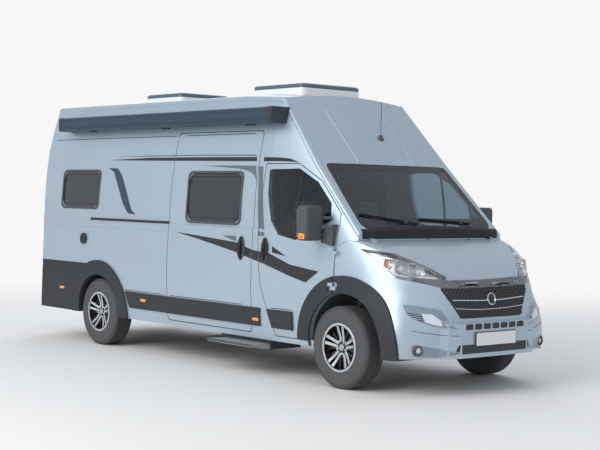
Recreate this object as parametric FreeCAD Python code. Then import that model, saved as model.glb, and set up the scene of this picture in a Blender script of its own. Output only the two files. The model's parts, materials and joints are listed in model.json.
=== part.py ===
"""A high-roof camper van: a panel van with a closed body, an awning, roof hatches and an entrance step.

The frame: X points to the front, Y to the left, Z up. The origin lies on the ground,
under the middle of the body's length and width. Every size is in millimetres.
Outlines are tables of shares: of the wheelbase ahead of the front axle, of the half width
and of the roof height, in that order of axes.
"""

import FreeCAD
import Part
import math
import os

V = FreeCAD.Vector

# Overall sizes
length = 6363.0
body_width = 2050.0
roof_height = 2764.0
wheelbase = 4035.0
front_overhang = 948.0
half_width = body_width / 2
front_end_x = length / 2
rear_end_x = -length / 2
front_axle_x = front_end_x - front_overhang
rear_axle_x = front_axle_x - wheelbase

# Wall thicknesses, gaps and the overrun of every cut
wall = 45.0
nose_wall = 26.0
seam_gap = 8.0
glass_thickness = 6.0
glass_recess = 5.0
trim_thickness = 18.0
seat_gap = 0.3
clearance = 12.0
overrun = 400.0

# Body section: half widths and heights
sill_bottom = 340.0
sill_half_width = 990.0
low_bulge_half_width = 1016.0
low_bulge_height = 650.0
belt_height = 1040.0
ledge_height = 1393.0
ledge_half_width = 1010.0
ledge_step = 9.0
ledge_drop = 11.0

# Where each cross-section of the body stands, measured from the front axle
roof_slope_setback = 1700.0
door_pillar_setback = 1178.0
forehead_setback = 1090.0
screen_top_setback = 505.0
screen_base_forward = 150.0
# Each section in shares of the half width and the roof height: crown height, crown edge, shoulder,
# bulge of the side, share of the ledge's step, share of the ledge's height
roof_shares = (1.0, (0.722, 0.978), (0.780, 0.960), 0.046, 1.0, 1.0)
pillar_shares = (0.9865, (0.735, 0.9675), (0.790, 0.949), 0.045, 1.0, 1.0)
forehead_shares = (0.9830, (0.735, 0.9640), (0.790, 0.945), 0.044, 0.5, 0.99)
screen_top_shares = (0.7540, (0.806, 0.7400), (0.866, 0.7170), 0.026, 0.3, 0.93)
screen_base_shares = (0.5200, (0.862, 0.5090), (0.921, 0.4890), 0.010, 0.2, 0.82)
corner_bulge_share = 0.30

# Rear end
rear_lean = 105.0
rear_corner_radius = 150.0
rear_door_half_width = 860.0
rear_door_bottom = 570.0
rear_door_top = 2335.0
rear_door_corner = 60.0
rear_window_low = 1490.0
rear_window_high = 2010.0
rear_window_inner = 120.0
rear_window_outer = 735.0
rear_window_corner = 70.0
rear_bumper_top = 905.0
tail_lamp_low = 915.0
tail_lamp_high = 1415.0
tail_lamp_inner = 880.0
tail_lamp_depth = 150.0

# Nose: the back of its own shell, the bonnet line and the front
nose_back_setback = 330.0
nose_front_forward = 905.0
nose_bottom = 335.0
nose_top = 1480.0
bonnet_back_height = 1338.0
bonnet_mid_height = 1212.0
bonnet_mid_forward = 500.0
bonnet_front_height = 1000.0
bonnet_front_forward = 850.0
shoulder_radius = 55.0
# Each level of the nose: share of its height, of its reach, of the half width, and of the upper plan
nose_level_shares = ((0.200, 0.965, 0.972, 0.0), (0.310, 1.000, 0.984, 0.0), (0.440, 0.998, 0.992, 0.15),
                     (0.590, 0.960, 0.999, 0.75), (0.700, 0.910, 1.0, 0.95), (0.830, 0.790, 0.990, 1.0),
                     (1.000, 0.560, 0.960, 1.0))
# The plan of a level: share of the half width, share of the way from its back to its front
low_plan_shares = ((0.0, 1.0), (0.39, 0.992), (0.56, 0.966), (0.73, 0.930), (0.86, 0.880), (0.93, 0.828),
                   (0.965, 0.765), (0.985, 0.67), (0.998, 0.40), (1.0, 0.0))
high_plan_shares = ((0.0, 1.0), (0.39, 0.987), (0.56, 0.948), (0.73, 0.866), (0.86, 0.725), (0.93, 0.575),
                    (0.965, 0.435), (0.985, 0.290), (0.998, 0.130), (1.0, 0.0))

# Seams of the nose
fender_back_setback = 78.0
fender_line_shares = (
    (-0.01933, 0.4566), (0.0104, 0.4812), (0.1735, 0.4812))
bonnet_back_forward = 160.0
bonnet_skin = 9.0
bonnet_rim = 45.0
bonnet_plan_shares = (
    (0.0397, 0.9024), (0.0669, 0.8995), (0.1537, 0.6244), (0.1983, 0.4537), (0.2069, 0.3707),
    (0.2094, 0.0000))
bumper_seam_shares = (
    (0.1314, 0.3980), (0.1314, 0.3202), (0.1090, 0.2894), (0.1090, 0.0904), (0.3470, 0.0904),
    (0.3470, 0.3980))
lamp_shares = (
    (0.4683, 0.3708), (0.4927, 0.3564), (0.5854, 0.3466), (0.8439, 0.3672), (0.9366, 0.4566),
    (0.6049, 0.4305))
grille_shares = (
    (0.5737, 0.3480), (0.3902, 0.2446))
grille_corner = 30.0
ledge_plan_shares = (
    (0.2057, 0.6244), (0.2243, 0.5463), (0.2330, 0.4195), (0.2349, 0.0000))
ledge_low = 335.0
ledge_high = 640.0
ledge_thickness = 60.0

# Front doors
door_shares = (
    (-0.2275, 0.1404), (-0.2810, 0.3075), (-0.2957, 0.4703), (-0.2865, 0.7330), (-0.1747, 0.7330),
    (-0.0979, 0.6751), (-0.0233, 0.5684), (-0.01933, 0.5402), (-0.01933, 0.4566), (-0.01933, 0.1404))
door_corner = 20.0
door_window_shares = (
    (-0.2716, 0.7113), (-0.2672, 0.6252), (-0.2501, 0.5336), (-0.2228, 0.4888), (-0.1589, 0.4729),
    (-0.0471, 0.5427), (-0.0565, 0.6002), (-0.1078, 0.6693), (-0.1715, 0.7145))
door_window_corner = 28.0

# Sliding door and the fixed side windows
sliding_shares = (
    (-0.6667, 0.1429), (-0.3152, 0.1429), (-0.3152, 0.8484), (-0.6667, 0.8484))
sliding_corner = 45.0
sliding_window_shares = (
    (-0.5898, 0.5210), (-0.3717, 0.5210), (-0.3717, 0.6983), (-0.5898, 0.6983))
rear_side_window_shares = (
    (-1.2094, 0.5572), (-1.0186, 0.5572), (-1.0186, 0.7037), (-1.2094, 0.7037))
side_window_corner = 90.0
roof_seam_height = 2360.0
roof_seam_setback = 2640.0
cab_roof_seam_height = 2045.0
cab_back_setback = 1196.0

# Windscreen and cowl
screen_shares = (
    (-0.8468, 0.5195), (0.0000, 0.5304), (0.8468, 0.5195), (0.7805, 0.7344), (-0.7805, 0.7344))
screen_corner = 60.0
cowl_low = 1346.0
cowl_half_width = 900.0
firewall_bottom = 600.0
firewall_half_width = 930.0

# Wheels
tyre_radius = 372.0
tyre_width = 225.0
tyre_shoulder = 34.0
rim_radius = 205.0
rim_lip_radius = 222.0
rim_width = 210.0
barrel_thickness = 11.0
front_track = 1810.0
rear_track = 1790.0
hub_radius = 78.0
hub_thickness = 26.0
hub_inset = 62.0
spoke_count = 5
spoke_width = 26.0
spoke_split_share = 0.30
spoke_thickness = 24.0
brake_disc_radius = 142.0
brake_disc_thickness = 26.0
brake_disc_depth = 78.0
brake_hub_radius = 60.0

# Wheel arches
front_arch_forward = 50.0
front_arch_height = 390.0
front_arch_radius = 470.0
front_house_radius = 486.0
front_house_inner = 575.0
front_clad_radius = 628.0
rear_arch_radius = 418.0
rear_house_radius = 462.0
rear_house_inner = 735.0
rear_house_low = 432.0
rear_clad_radius = 578.0
house_thickness = 12.0
door_house_half_width = 948.0

# Floor and frame
floor_low = 560.0
floor_thickness = 40.0
rail_inner = 460.0
rail_width = 80.0
rail_low = 440.0
rail_front_forward = 665.0
rail_back_setback = 5240.0
cross_member_length = 90.0
cross_member_shares = (0.1525, -0.10, -0.30, -0.55, -0.80, -1.20, -1.29)
jack_setbacks = (700.0, 3100.0)
jack_pad_length = 120.0
jack_pad_drop = 8.0
cab_floor_front_setback = 445.0
footwell_half_width = 560.0
footwell_front_forward = 100.0

# Front suspension, carried by the frame
king_pin_half_track = 860.0
king_pin_lean = 11.0
strut_radius = 25.0
strut_half_track = 745.0
strut_low = 420.0
strut_seat_height = 848.0
strut_disc_radius = 48.0
strut_disc_thickness = 16.0
tower_thickness = 14.0
upright_low = 290.0
upright_high = 455.0
upright_half_length = 42.0
ball_radius = 16.0
ball_drop = 12.0
stub_radius = 34.0
arm_low = 236.0
arm_thickness = 26.0
arm_half_length = 110.0
arm_tip_half_length = 26.0

# Rear axle
axle_tube_radius = 36.0
spring_length = 1300.0
spring_width = 70.0
spring_thickness = 22.0
spring_drop = 70.0
shackle_length = 60.0

# Engine and tanks
engine_back_forward = 200.0
engine_length = 360.0
engine_half_width = 345.0
engine_low = 420.0
engine_height = 560.0
engine_mount_length = 120.0
engine_mount_low = 455.0
engine_mount_height = 70.0
fuel_tank_setback = 1900.0
fuel_tank_length = 800.0
fuel_tank_half_width = 400.0
fuel_tank_low = 330.0
water_tank_setback = 3300.0
water_tank_length = 800.0
water_tank_low = 310.0
tank_corner = 40.0

# Side trim
strip_low = 465.0
strip_high = 638.0
strip_back_setback = 3480.0
strip_front_setback = 650.0
strip_slant = 90.0

# Mirrors
mirror_setback = 355.0
mirror_depth = 150.0
mirror_inner = 1045.0
mirror_outer = 1254.0
mirror_low = 1318.0
mirror_high = 1636.0
mirror_edge_radius = 38.0
mirror_arm_radius = 16.0
mirror_arm_setback = 175.0
mirror_arm_high = 1525.0
mirror_arm_low = 1375.0
mirror_foot_depth = 60.0

# Awning
awning_back_setback = 4900.0
awning_front_setback = 1000.0
awning_low = 2410.0
awning_high = 2562.0
awning_outer = 1046.0
awning_corner = 30.0

# Roof hatches: lid size, place and height
hatch_frame_height = 34.0
hatch_lid_height = 44.0
hatch_wall = 34.0
hatch_corner = 60.0
front_hatch_setback = 2100.0
front_hatch_length = 800.0
front_hatch_width = 800.0
rear_hatch_setback = 4150.0
rear_hatch_length = 700.0
rear_hatch_width = 700.0
hatch_sink = 60.0
hatch_hinge_stand = 9.0
hatch_hinge_radius = 7.0
hatch_barrel_length = 120.0

# Entrance step
step_back_setback = 1780.0
step_length = 700.0
step_outer = 1150.0
step_depth = 250.0
step_low = 272.0
step_thickness = 22.0
step_arm_width = 14.0
step_arm_low = 250.0
step_hanger_length = 60.0
step_hanger_outer = 800.0
step_housing_inner = 560.0
step_housing_outer = 935.0
step_housing_wall = 8.0
step_housing_top = 334.0

# Cab furniture
seat_half_track = 430.0
seat_back_setback = 1120.0
seat_width = 500.0
seat_depth = 480.0
seat_base_height = 250.0
seat_base_width = 380.0
seat_cushion_height = 130.0
seat_back_height = 660.0
seat_back_thickness = 120.0
seat_back_lean = 110.0
headrest_width = 260.0
headrest_height = 170.0
seat_corner = 40.0
dash_profile_shares = (
    (0.0248, 0.2533), (0.0248, 0.4812), (-0.0198, 0.4812), (-0.0818, 0.4595), (-0.1041, 0.4269),
    (-0.0991, 0.3618), (-0.0620, 0.3256), (-0.0496, 0.2533))
dash_half_width = 895.0
steering_radius = 190.0
steering_rim_radius = 15.0
steering_setback = 560.0
steering_height = 1300.0
steering_side = 430.0
steering_lean = 35.0
steering_hub_radius = 55.0
steering_column_radius = 26.0

# Living space
kitchen_setback = 3430.0
kitchen_length = 680.0
kitchen_depth = 480.0
kitchen_height = 860.0
closet_setback = 3430.0
closet_length = 900.0
closet_depth = 620.0
closet_height = 1700.0
bed_setback = 5240.0
bed_length = 1800.0
bed_low = 1130.0
bed_thickness = 30.0
bed_half_width = 915.0
bed_support_thickness = 30.0
mattress_height = 120.0
furniture_side_gap = 40.0

# Antenna and filler cap
antenna_setback = 700.0
antenna_side = 120.0
antenna_height = 2650.0
antenna_radius = 3.5
antenna_foot_radius = 18.0
antenna_foot_height = 40.0
filler_shares = (
    (-1.0788, 0.4276),)
filler_radius = 62.0
handle_half_width = 26.0
handle_half_height = 62.0
handle_shares = (
    (-0.2610, 0.4342), (-0.3576, 0.4342))

# Door, bonnet and rear hinges
hinge_radius = 8.0
hinge_height = 60.0
hinge_leaf_length = 52.0
hinge_leaf_depth = 44.0
door_hinge_half_width = 1045.0
door_hinge_heights = (915.0, 1232.0)
rear_hinge_stand = 10.0
rear_hinge_half_width = 863.0
rear_hinge_heights = (800.0, 1500.0, 2200.0)
rear_leaf_length = 55.0
rear_leaf_depth = 26.0
bonnet_hinge_lift = 9.0
bonnet_hinge_radius = 7.0
bonnet_hinge_half_track = 780.0
bonnet_leaf_length = 60.0
bonnet_leaf_depth = 24.0
bumper_seam_forward = 430.0

# Small parts
mirror_foot_half_width = 1035.0
mirror_foot_shares = (
    (-0.0238, 0.4613), (-0.0238, 0.5318), (-0.0620, 0.5137), (-0.0620, 0.4703))
rail_shares = (
    (-1.0421, 0.5058), (-0.6691, 0.5058), (-0.6691, 0.5152), (-1.0421, 0.5152))
tyre_tuck = 15.0
tyre_round_share = 0.30
flange_thickness = 7.0
spoke_spread = 34.0
stub_flange_gap = 14.0
cross_member_drop = 40.0
tank_strap_length = 60.0
tank_strap_inset = 160.0
tank_strap_half_width = 400.0
step_arm_end = 640.0
step_gap = 6.0
steering_column_length = 200.0
antenna_foot_top = 2330.0


def along_y(point, y):
    return V(point[0], y, point[1])


def along_x(point, x):
    return V(x, point[0], point[1])


def along_z(point, z):
    return V(point[0], point[1], z)


def spots(shares):
    """Side view points, from shares of the wheelbase ahead of the front axle and of the roof height."""
    return [(front_axle_x + a * wheelbase, b * roof_height) for a, b in shares]


def front_spots(shares):
    """Front view points, from shares of the half width and of the roof height."""
    return [(a * half_width, b * roof_height) for a, b in shares]


def plan_spots(shares):
    """Top view points, from shares of the wheelbase ahead of the front axle and of the half width."""
    return [(front_axle_x + a * wheelbase, b * half_width) for a, b in shares]


def grown(points, reach):
    """An outline with every side moved outward by reach, or inward where reach is negative."""
    count = len(points)
    area = sum(points[i][0] * points[(i + 1) % count][1] - points[(i + 1) % count][0] * points[i][1]
               for i in range(count))
    turn = 1.0 if area > 0 else -1.0
    lines = []
    for i in range(count):
        ax, ay = points[i]
        bx, by = points[(i + 1) % count]
        run = math.hypot(bx - ax, by - ay)
        nx, ny = turn * (by - ay) / run, -turn * (bx - ax) / run
        lines.append((nx, ny, nx * ax + ny * ay + reach))
    result = []
    for i in range(count):
        n1, n2 = lines[i - 1], lines[i]
        det = n1[0] * n2[1] - n1[1] * n2[0]
        if abs(det) < 1e-6:
            result.append((points[i][0] + n1[0] * reach, points[i][1] + n1[1] * reach))
            continue
        result.append(((n1[2] * n2[1] - n1[1] * n2[2]) / det, (n1[0] * n2[2] - n1[2] * n2[0]) / det))
    return result


def rounded_wire(points, radius, lift, level):
    """A closed wire through flat points, its corners rounded where the radius is not zero."""
    count = len(points)
    radii = radius if isinstance(radius, (list, tuple)) else [radius] * count
    flat = [V(p[0], p[1], 0) for p in points]
    ends = []
    for i in range(count):
        before, here, after = flat[i - 1], flat[i], flat[(i + 1) % count]
        a = (before - here).normalize()
        b = (after - here).normalize()
        half = a.getAngle(b) / 2
        if radii[i] <= 0 or abs(half - math.pi / 2) < 1e-3:
            ends.append((here, None, here))
            continue
        reach = radii[i] / math.tan(half)
        middle = (a + b).normalize()
        centre = here + middle * (radii[i] / math.sin(half))
        ends.append((here + a * reach, centre - middle * radii[i], here + b * reach))
    edges = []
    for i in range(count):
        start, mid, end = ends[i]
        if mid is not None:
            edges.append(Part.Arc(*[lift((p.x, p.y), level) for p in (start, mid, end)]).toShape())
        following = ends[(i + 1) % count][0]
        if (following - end).Length > 1e-6:
            edges.append(Part.LineSegment(lift((end.x, end.y), level),
                                          lift((following.x, following.y), level)).toShape())
    return Part.Wire(edges)


def prism(points, radius, lift, low, high):
    """A solid with a flat rounded outline, from level low to level high."""
    face = Part.Face(rounded_wire(points, radius, lift, low))
    return face.extrude(lift((0, 0), high) - lift((0, 0), low))


def prism_y(points, low, high, radius=0):
    return prism(points, radius, along_y, low, high)


def prism_x(points, low, high, radius=0):
    return prism(points, radius, along_x, low, high)


def prism_z(points, low, high, radius=0):
    return prism(points, radius, along_z, low, high)


def box(x0, x1, y0, y1, z0, z1):
    return Part.makeBox(x1 - x0, y1 - y0, z1 - z0, V(x0, y0, z0))


def rectangle(a0, a1, b0, b1):
    return [(a0, b0), (a1, b0), (a1, b1), (a0, b1)]


def tube(start, end, radius):
    """A round bar between two points."""
    axis = end - start
    return Part.makeCylinder(radius, axis.Length, start, axis)


def disc_y(x, z, radius, y0, y1):
    return tube(V(x, y0, z), V(x, y1, z), radius)


def mirrored(shape):
    """The same shape on the other side of the van."""
    return shape.mirror(V(0, 0, 0), V(0, 1, 0))


def both_sides(shape):
    return Part.makeCompound([shape, mirrored(shape)])


def fused(shapes):
    """The shapes as one solid."""
    result = shapes[0]
    if len(shapes) > 1:
        result = result.multiFuse(shapes[1:])
    return result.removeSplitter()


def solids_over(shape, least):
    """The solids of a shape that are larger than a sliver."""
    return [s for s in shape.Solids if s.Volume > least]


def largest(shape, count=1):
    """The largest solids of a shape, without the slivers that a cut leaves behind."""
    solids = sorted(shape.Solids, key=lambda s: -s.Volume)[:count]
    return solids[0] if count == 1 else Part.makeCompound(solids)


def window_glass(shell, outline, corner, lift, low, high):
    """A pane that fills a window of the shell, a little clear of the frame."""
    return largest(shell.common(prism(grown(outline, -seat_gap), corner, lift, low, high)))


# Masters: the outer form of the body and of the nose, drawn in by an inset

def section_wire(x, shares, inset):
    """One cross-section of the body at x, drawn in by inset on the sides and the top."""
    crown_share, edge, shoulder, bulge_share, step_share, ledge_share = shares
    sill = (sill_half_width - inset, sill_bottom - abs(inset))
    low_bulge = (low_bulge_half_width - inset, low_bulge_height)
    belt = (half_width - inset, belt_height)
    ledge = (ledge_half_width - inset, ledge_height * ledge_share)
    foot = (ledge[0] - ledge_step * step_share, ledge[1] + ledge_drop)
    top = (shoulder[0] * half_width - inset, shoulder[1] * roof_height - inset)
    crown_edge = (edge[0] * half_width - inset, edge[1] * roof_height - inset)
    crown = crown_share * roof_height - inset
    side_mid = ((foot[0] + top[0]) / 2 + bulge_share * half_width, (foot[1] + top[1]) / 2)
    chord = (crown_edge[0] - top[0], crown_edge[1] - top[1])
    corner = ((crown_edge[0] + top[0]) / 2 + chord[1] * corner_bulge_share,
              (crown_edge[1] + top[1]) / 2 - chord[0] * corner_bulge_share)

    def side(sign):
        at = lambda p: V(x, sign * p[0], p[1])
        return [Part.Arc(at(sill), at(low_bulge), at(belt)).toShape(),
                Part.LineSegment(at(belt), at(ledge)).toShape(),
                Part.LineSegment(at(ledge), at(foot)).toShape(),
                Part.Arc(at(foot), at(side_mid), at(top)).toShape(),
                Part.Arc(at(top), at(corner), at(crown_edge)).toShape()]

    roof = Part.Arc(V(x, -crown_edge[0], crown_edge[1]), V(x, 0, crown), V(x, crown_edge[0], crown_edge[1])).toShape()
    bottom = Part.LineSegment(V(x, sill[0], sill[1]), V(x, -sill[0], sill[1])).toShape()
    return Part.Wire(side(-1) + [roof] + side(1)[::-1] + [bottom])


def body_solid(inset):
    """The whole body from the tail to the foot of the windscreen, drawn in by inset."""
    stations = [(rear_end_x - overrun, roof_shares),
                (front_axle_x - roof_slope_setback, roof_shares),
                (front_axle_x - door_pillar_setback, pillar_shares),
                (front_axle_x - forehead_setback, forehead_shares),
                (front_axle_x - screen_top_setback, screen_top_shares),
                (front_axle_x + screen_base_forward - inset, screen_base_shares)]
    loft = Part.makeLoft([section_wire(x, shares, inset) for x, shares in stations], True, True)
    low = 0.0
    high = roof_height + wall

    def plan_wire(z):
        rear_x = rear_end_x + rear_lean * z / roof_height + inset
        near = half_width - inset
        far = half_width + overrun
        points = [(rear_x, -near), (front_end_x, -near), (front_end_x, near), (rear_x, near)]
        radius = rear_corner_radius - inset / 2
        return rounded_wire(points, [radius, 0, 0, radius], along_z, z)

    tail = Part.makeLoft([plan_wire(low), plan_wire(high)], True, True)
    return loft.common(tail)


def nose_wire(level, inset):
    """One level of the nose: a spline round the front between its two straight flanks."""
    height_share, reach_share, width_share, upper_share = level
    back = front_axle_x - nose_back_setback
    depth = nose_front_forward * reach_share + nose_back_setback - inset
    z = nose_top * height_share
    half = []
    for (a1, b1), (a2, b2) in zip(low_plan_shares, high_plan_shares):
        a = a1 + (a2 - a1) * upper_share
        b = b1 + (b2 - b1) * upper_share
        half.append(V(back + depth * b, (half_width * width_share - inset) * a, z))
    points = [V(p.x, -p.y, p.z) for p in reversed(half[1:])] + half
    middle = [(a[1] + b[1]) / 2 for a, b in zip(low_plan_shares, high_plan_shares)]
    steps = [math.hypot(low_plan_shares[i + 1][0] - low_plan_shares[i][0], middle[i + 1] - middle[i])
             for i in range(len(middle) - 1)]
    places = [0.0]
    for step in steps[::-1] + steps:
        places.append(places[-1] + step)
    spline = Part.BSplineCurve()
    spline.interpolate(Points=points, Parameters=[p / places[-1] for p in places])
    return Part.Wire([spline.toShape(), Part.LineSegment(points[-1], points[0]).toShape()])


def bonnet_line(inset):
    """The line of the bonnet from its back to its front, drawn down by inset."""
    back = V(front_axle_x + bonnet_back_forward, 0, bonnet_back_height - inset)
    mid = V(front_axle_x + bonnet_mid_forward, 0, bonnet_mid_height - inset)
    front = V(front_axle_x + bonnet_front_forward, 0, bonnet_front_height - inset)
    return back, mid, front


def nose_solid(inset):
    """The nose under the bonnet line, drawn in by inset."""
    loft = Part.makeLoft([nose_wire(level, inset) for level in nose_level_shares], True, False)
    back, mid, front = bonnet_line(inset)
    rear = V(front_axle_x - nose_back_setback - overrun, 0, back.z)
    far = V(front.x + overrun, 0, front.z)
    floor_z = nose_bottom - abs(inset)
    corners = [front, far, V(far.x, 0, floor_z), V(rear.x, 0, floor_z), rear, back]
    edges = [Part.LineSegment(a, b).toShape() for a, b in zip(corners, corners[1:])]
    edges.append(Part.Arc(back, mid, front).toShape())
    face = Part.Face(Part.Wire(edges))
    face.translate(V(0, -half_width - overrun, 0))
    solid = loft.common(face.extrude(V(0, body_width + 2 * overrun, 0)))
    rim = [e for e in solid.Edges if e.BoundBox.ZMax > front.z and e.BoundBox.XMax > mid.x
           and e.BoundBox.YLength > half_width]
    return solid.makeFillet(shoulder_radius - inset, rim)


far_out = half_width + overrun
far_front = front_end_x + overrun
far_back = rear_end_x - overrun
high_up = roof_height + overrun
mid_side = half_width / 2


def ahead(forward):
    """The place along the van that lies forward of the front axle by this much."""
    return front_axle_x + forward


class Skins:
    """The body and nose masters and their shells."""

    def __init__(self):
        self.body = body_solid(0)
        self.body_inner = body_solid(wall)
        self.body_shell = self.body.cut(self.body_inner)
        self.nose = nose_solid(0)
        self.nose_inner = nose_solid(nose_wall)
        self.nose_shell = self.nose.cut(self.nose_inner)
        self.glass_shell = body_solid(glass_recess).cut(body_solid(glass_recess + glass_thickness))
        self.body_trim = body_solid(-trim_thickness).cut(self.body)
        self.nose_trim = nose_solid(-trim_thickness).cut(self.nose)


# Cutters, all for the left side, from the middle of the half width outward

def side_cut(outline, corner=0, inner=mid_side):
    """A cutter through the left side, inside an outline in side view."""
    return prism_y(outline, inner, far_out, corner)


def front_arch_cut(grow=0):
    x = ahead(front_arch_forward)
    return disc_y(x, front_arch_height, front_arch_radius + grow, front_house_inner, far_out)


def rear_arch_cut(grow=0):
    return disc_y(rear_axle_x, tyre_radius, rear_arch_radius + grow, rear_house_inner, far_out)


def nose_zone(grow=0):
    """The room of the nose in side view, ahead of the front doors and under the fender line."""
    line = spots(fender_line_shares)
    points = [(line[0][0], 0), line[0], line[1], (far_front, line[2][1]), (far_front, 0)]
    return grown(points, grow)


def roof_zone():
    """The room of the roof in side view, above the gutter."""
    back = ahead(-cab_back_setback)
    return [(far_back, roof_seam_height), (back, roof_seam_height), (back, cab_roof_seam_height),
            (far_front, cab_roof_seam_height), (far_front, high_up), (far_back, high_up)]


def screen_cut(grow=0):
    """A cutter along the van through the windscreen."""
    points = grown(front_spots(screen_shares), grow)
    radii = [screen_corner, 0, screen_corner, screen_corner, screen_corner]
    return prism_x(points, ahead(-cab_back_setback), far_front, radii)


def cowl_cut(grow=0):
    """A cutter along the van through the cowl, from the bonnet up to the windscreen."""
    left, mid, right = front_spots(screen_shares)[:3]
    points = [(-cowl_half_width, cowl_low), (cowl_half_width, cowl_low), (cowl_half_width, right[1]), right,
              mid, left, (-cowl_half_width, left[1])]
    return prism_x(grown(points, grow), ahead(0), far_front)


def rear_door_cut(grow=0):
    """A cutter along the van through the opening of both rear doors."""
    points = grown(rectangle(-rear_door_half_width, rear_door_half_width, rear_door_bottom, rear_door_top), grow)
    return prism_x(points, far_back, rear_end_x + rear_lean + 2 * wall, rear_door_corner)


def rear_surface(z):
    """The place of the outer face of the tail at height z."""
    return rear_end_x + rear_lean * z / roof_height


def bumper_zone(grow=0):
    """The room of the rear bumper in side view, behind the rear wheels."""
    points = rectangle(far_back, rear_axle_x, 0, rear_bumper_top)
    return grown(points, grow)


# Doors

def door_hinge_line():
    """The axis of the left front door: its place along and across the van."""
    return ahead(-fender_back_setback - seam_gap / 2), door_hinge_half_width


def hinge_half(x, y, z, upper):
    """The upper or the lower half of a hinge barrel on an upright line."""
    low = z + seat_gap / 2 if upper else z - hinge_height / 2
    high = z + hinge_height / 2 if upper else z - seat_gap / 2
    return tube(V(x, y, low), V(x, y, high), hinge_radius), low, high


def door_hinges(upper):
    """The halves of both front door hinges that the door (upper) or the fender (lower) carries."""
    x, y = door_hinge_line()
    pieces = []
    for z in door_hinge_heights:
        barrel, low, high = hinge_half(x, y, z, upper)
        reach = -hinge_leaf_length if upper else hinge_leaf_length
        near, far = sorted((x, x + reach))
        leaf = box(near, far, y - hinge_leaf_depth, y + hinge_radius / 2, low, high)
        pieces += [barrel, leaf]
    return pieces


def front_door(skins):
    """The left front door without its window and the wheel arch."""
    outline = spots(door_shares)
    door = skins.body_shell.common(side_cut(grown(outline, -seam_gap), door_corner))
    door = door.cut(side_cut(spots(door_window_shares), door_window_corner))
    door = largest(door.cut(front_arch_cut()))
    return fused([door] + door_hinges(True))


def front_door_glass(skins):
    outline = spots(door_window_shares)
    return window_glass(skins.glass_shell, outline, door_window_corner, along_y, mid_side, far_out)


def front_door_trim(skins):
    """Arch cladding, lower strip and handle that ride on the left front door."""
    door = side_cut(grown(spots(door_shares), -seam_gap), door_corner)
    x, y = door_hinge_line()
    room = box(x - hinge_leaf_length - seam_gap, far_front, y - hinge_leaf_depth - seam_gap, far_out,
               door_hinge_heights[0] - hinge_height / 2 - seam_gap,
               door_hinge_heights[0] + hinge_height / 2 + seam_gap)
    arch = disc_y(ahead(front_arch_forward), front_arch_height, front_clad_radius, mid_side, far_out)
    arch = skins.body_trim.common(arch.common(door)).cut(front_arch_cut()).cut(room)
    strip = skins.body_trim.common(side_cut(strip_outline()).common(door)).cut(front_arch_cut())
    joined = fused(solids_over(arch, overrun) + solids_over(strip, overrun))
    return Part.makeCompound(solids_over(joined, overrun) + [handle(skins, spots(handle_shares)[0])])


def strip_outline():
    """The outline of the lower side strip, slanted at both ends."""
    back, front = ahead(-strip_back_setback), ahead(-strip_front_setback)
    return [(back + strip_slant, strip_low), (front, strip_low), (front, strip_high), (back, strip_high)]


def handle(skins, place):
    """A door handle: a low oval boss on the side."""
    x, z = place
    outline = rectangle(x - handle_half_width, x + handle_half_width, z - handle_half_height, z + handle_half_height)
    return largest(skins.body_trim.common(side_cut(outline, handle_half_width - seat_gap)))


def sliding_door(skins):
    """The sliding door, shaped on the left side, without its window."""
    outline = grown(spots(sliding_shares), -seam_gap / 2)
    door = skins.body_shell.common(side_cut(outline, sliding_corner))
    return largest(door.cut(side_cut(spots(sliding_window_shares), side_window_corner)))


def rear_hinge_line():
    """Two points on the left rear door's axis, which leans with the tail."""
    points = []
    for z in (rear_door_bottom, rear_door_top):
        points.append(V(rear_surface(z) - rear_hinge_stand, rear_hinge_half_width, z))
    return points


def rear_hinges(on_door, heights=rear_hinge_heights):
    """The barrels and leaves of the left rear door's hinges that the door or the post carries."""
    low, high = rear_hinge_line()
    axis = (high - low).normalize()
    pieces = []
    for z in heights:
        centre = low + axis * ((z - low.z) / axis.z)
        half = hinge_height / 2
        ends = (seat_gap / 2, half) if on_door else (-half, -seat_gap / 2)
        start, end = centre + axis * ends[0], centre + axis * ends[1]
        pieces.append(tube(start, end, hinge_radius))
        side = -rear_leaf_length if on_door else rear_leaf_length
        y0, y1 = sorted((centre.y, centre.y + side))
        x0 = centre.x - hinge_radius / 2
        pieces.append(box(x0, centre.x + rear_leaf_depth, y0, y1, start.z, end.z))
    return pieces


def rear_door(skins):
    """The left rear door without its window."""
    door = skins.body_shell.common(rear_door_cut(-seam_gap / 2))
    door = door.common(box(far_back, 0, seam_gap / 2, far_out, 0, high_up))
    door = largest(door.cut(prism_x(rear_window_outline(), far_back, 0, rear_window_corner)))
    return fused([door] + rear_hinges(True))


def rear_window_outline():
    return rectangle(rear_window_inner, rear_window_outer, rear_window_low, rear_window_high)


def rear_door_glass(skins):
    outline = rear_window_outline()
    return window_glass(skins.glass_shell, outline, rear_window_corner, along_x, far_back, 0)


# Body panels

def main_side(skins, sliding):
    """The left wall behind the front door; with the sliding door's opening where it has one."""
    side = skins.body_shell.common(box(far_back, ahead(-cab_back_setback), 0, far_out, 0, high_up))
    side = side.cut(prism_y(roof_zone(), -far_out, far_out))
    side = side.cut(rear_door_cut(seam_gap / 2)).cut(rear_arch_cut())
    side = side.cut(prism_y(bumper_zone(seat_gap), -far_out, far_out))
    side = side.cut(lamp_block(seat_gap))
    side = side.cut(side_cut(grown(spots(door_shares), 0), door_corner))
    side = side.cut(side_cut(spots(rear_side_window_shares), side_window_corner))
    if sliding:
        side = side.cut(side_cut(grown(spots(sliding_shares), seam_gap / 2), sliding_corner))
    else:
        side = side.cut(side_cut(spots(sliding_window_shares), side_window_corner))
    parts = [largest(side)]
    return fused(parts + rear_hinges(False, rear_hinge_heights[1:]))


def lamp_block(grow=0):
    """The room of the left tail lamp."""
    return box(far_back, rear_end_x + tail_lamp_depth + grow, tail_lamp_inner - grow, far_out,
               tail_lamp_low - grow, tail_lamp_high + grow)


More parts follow.
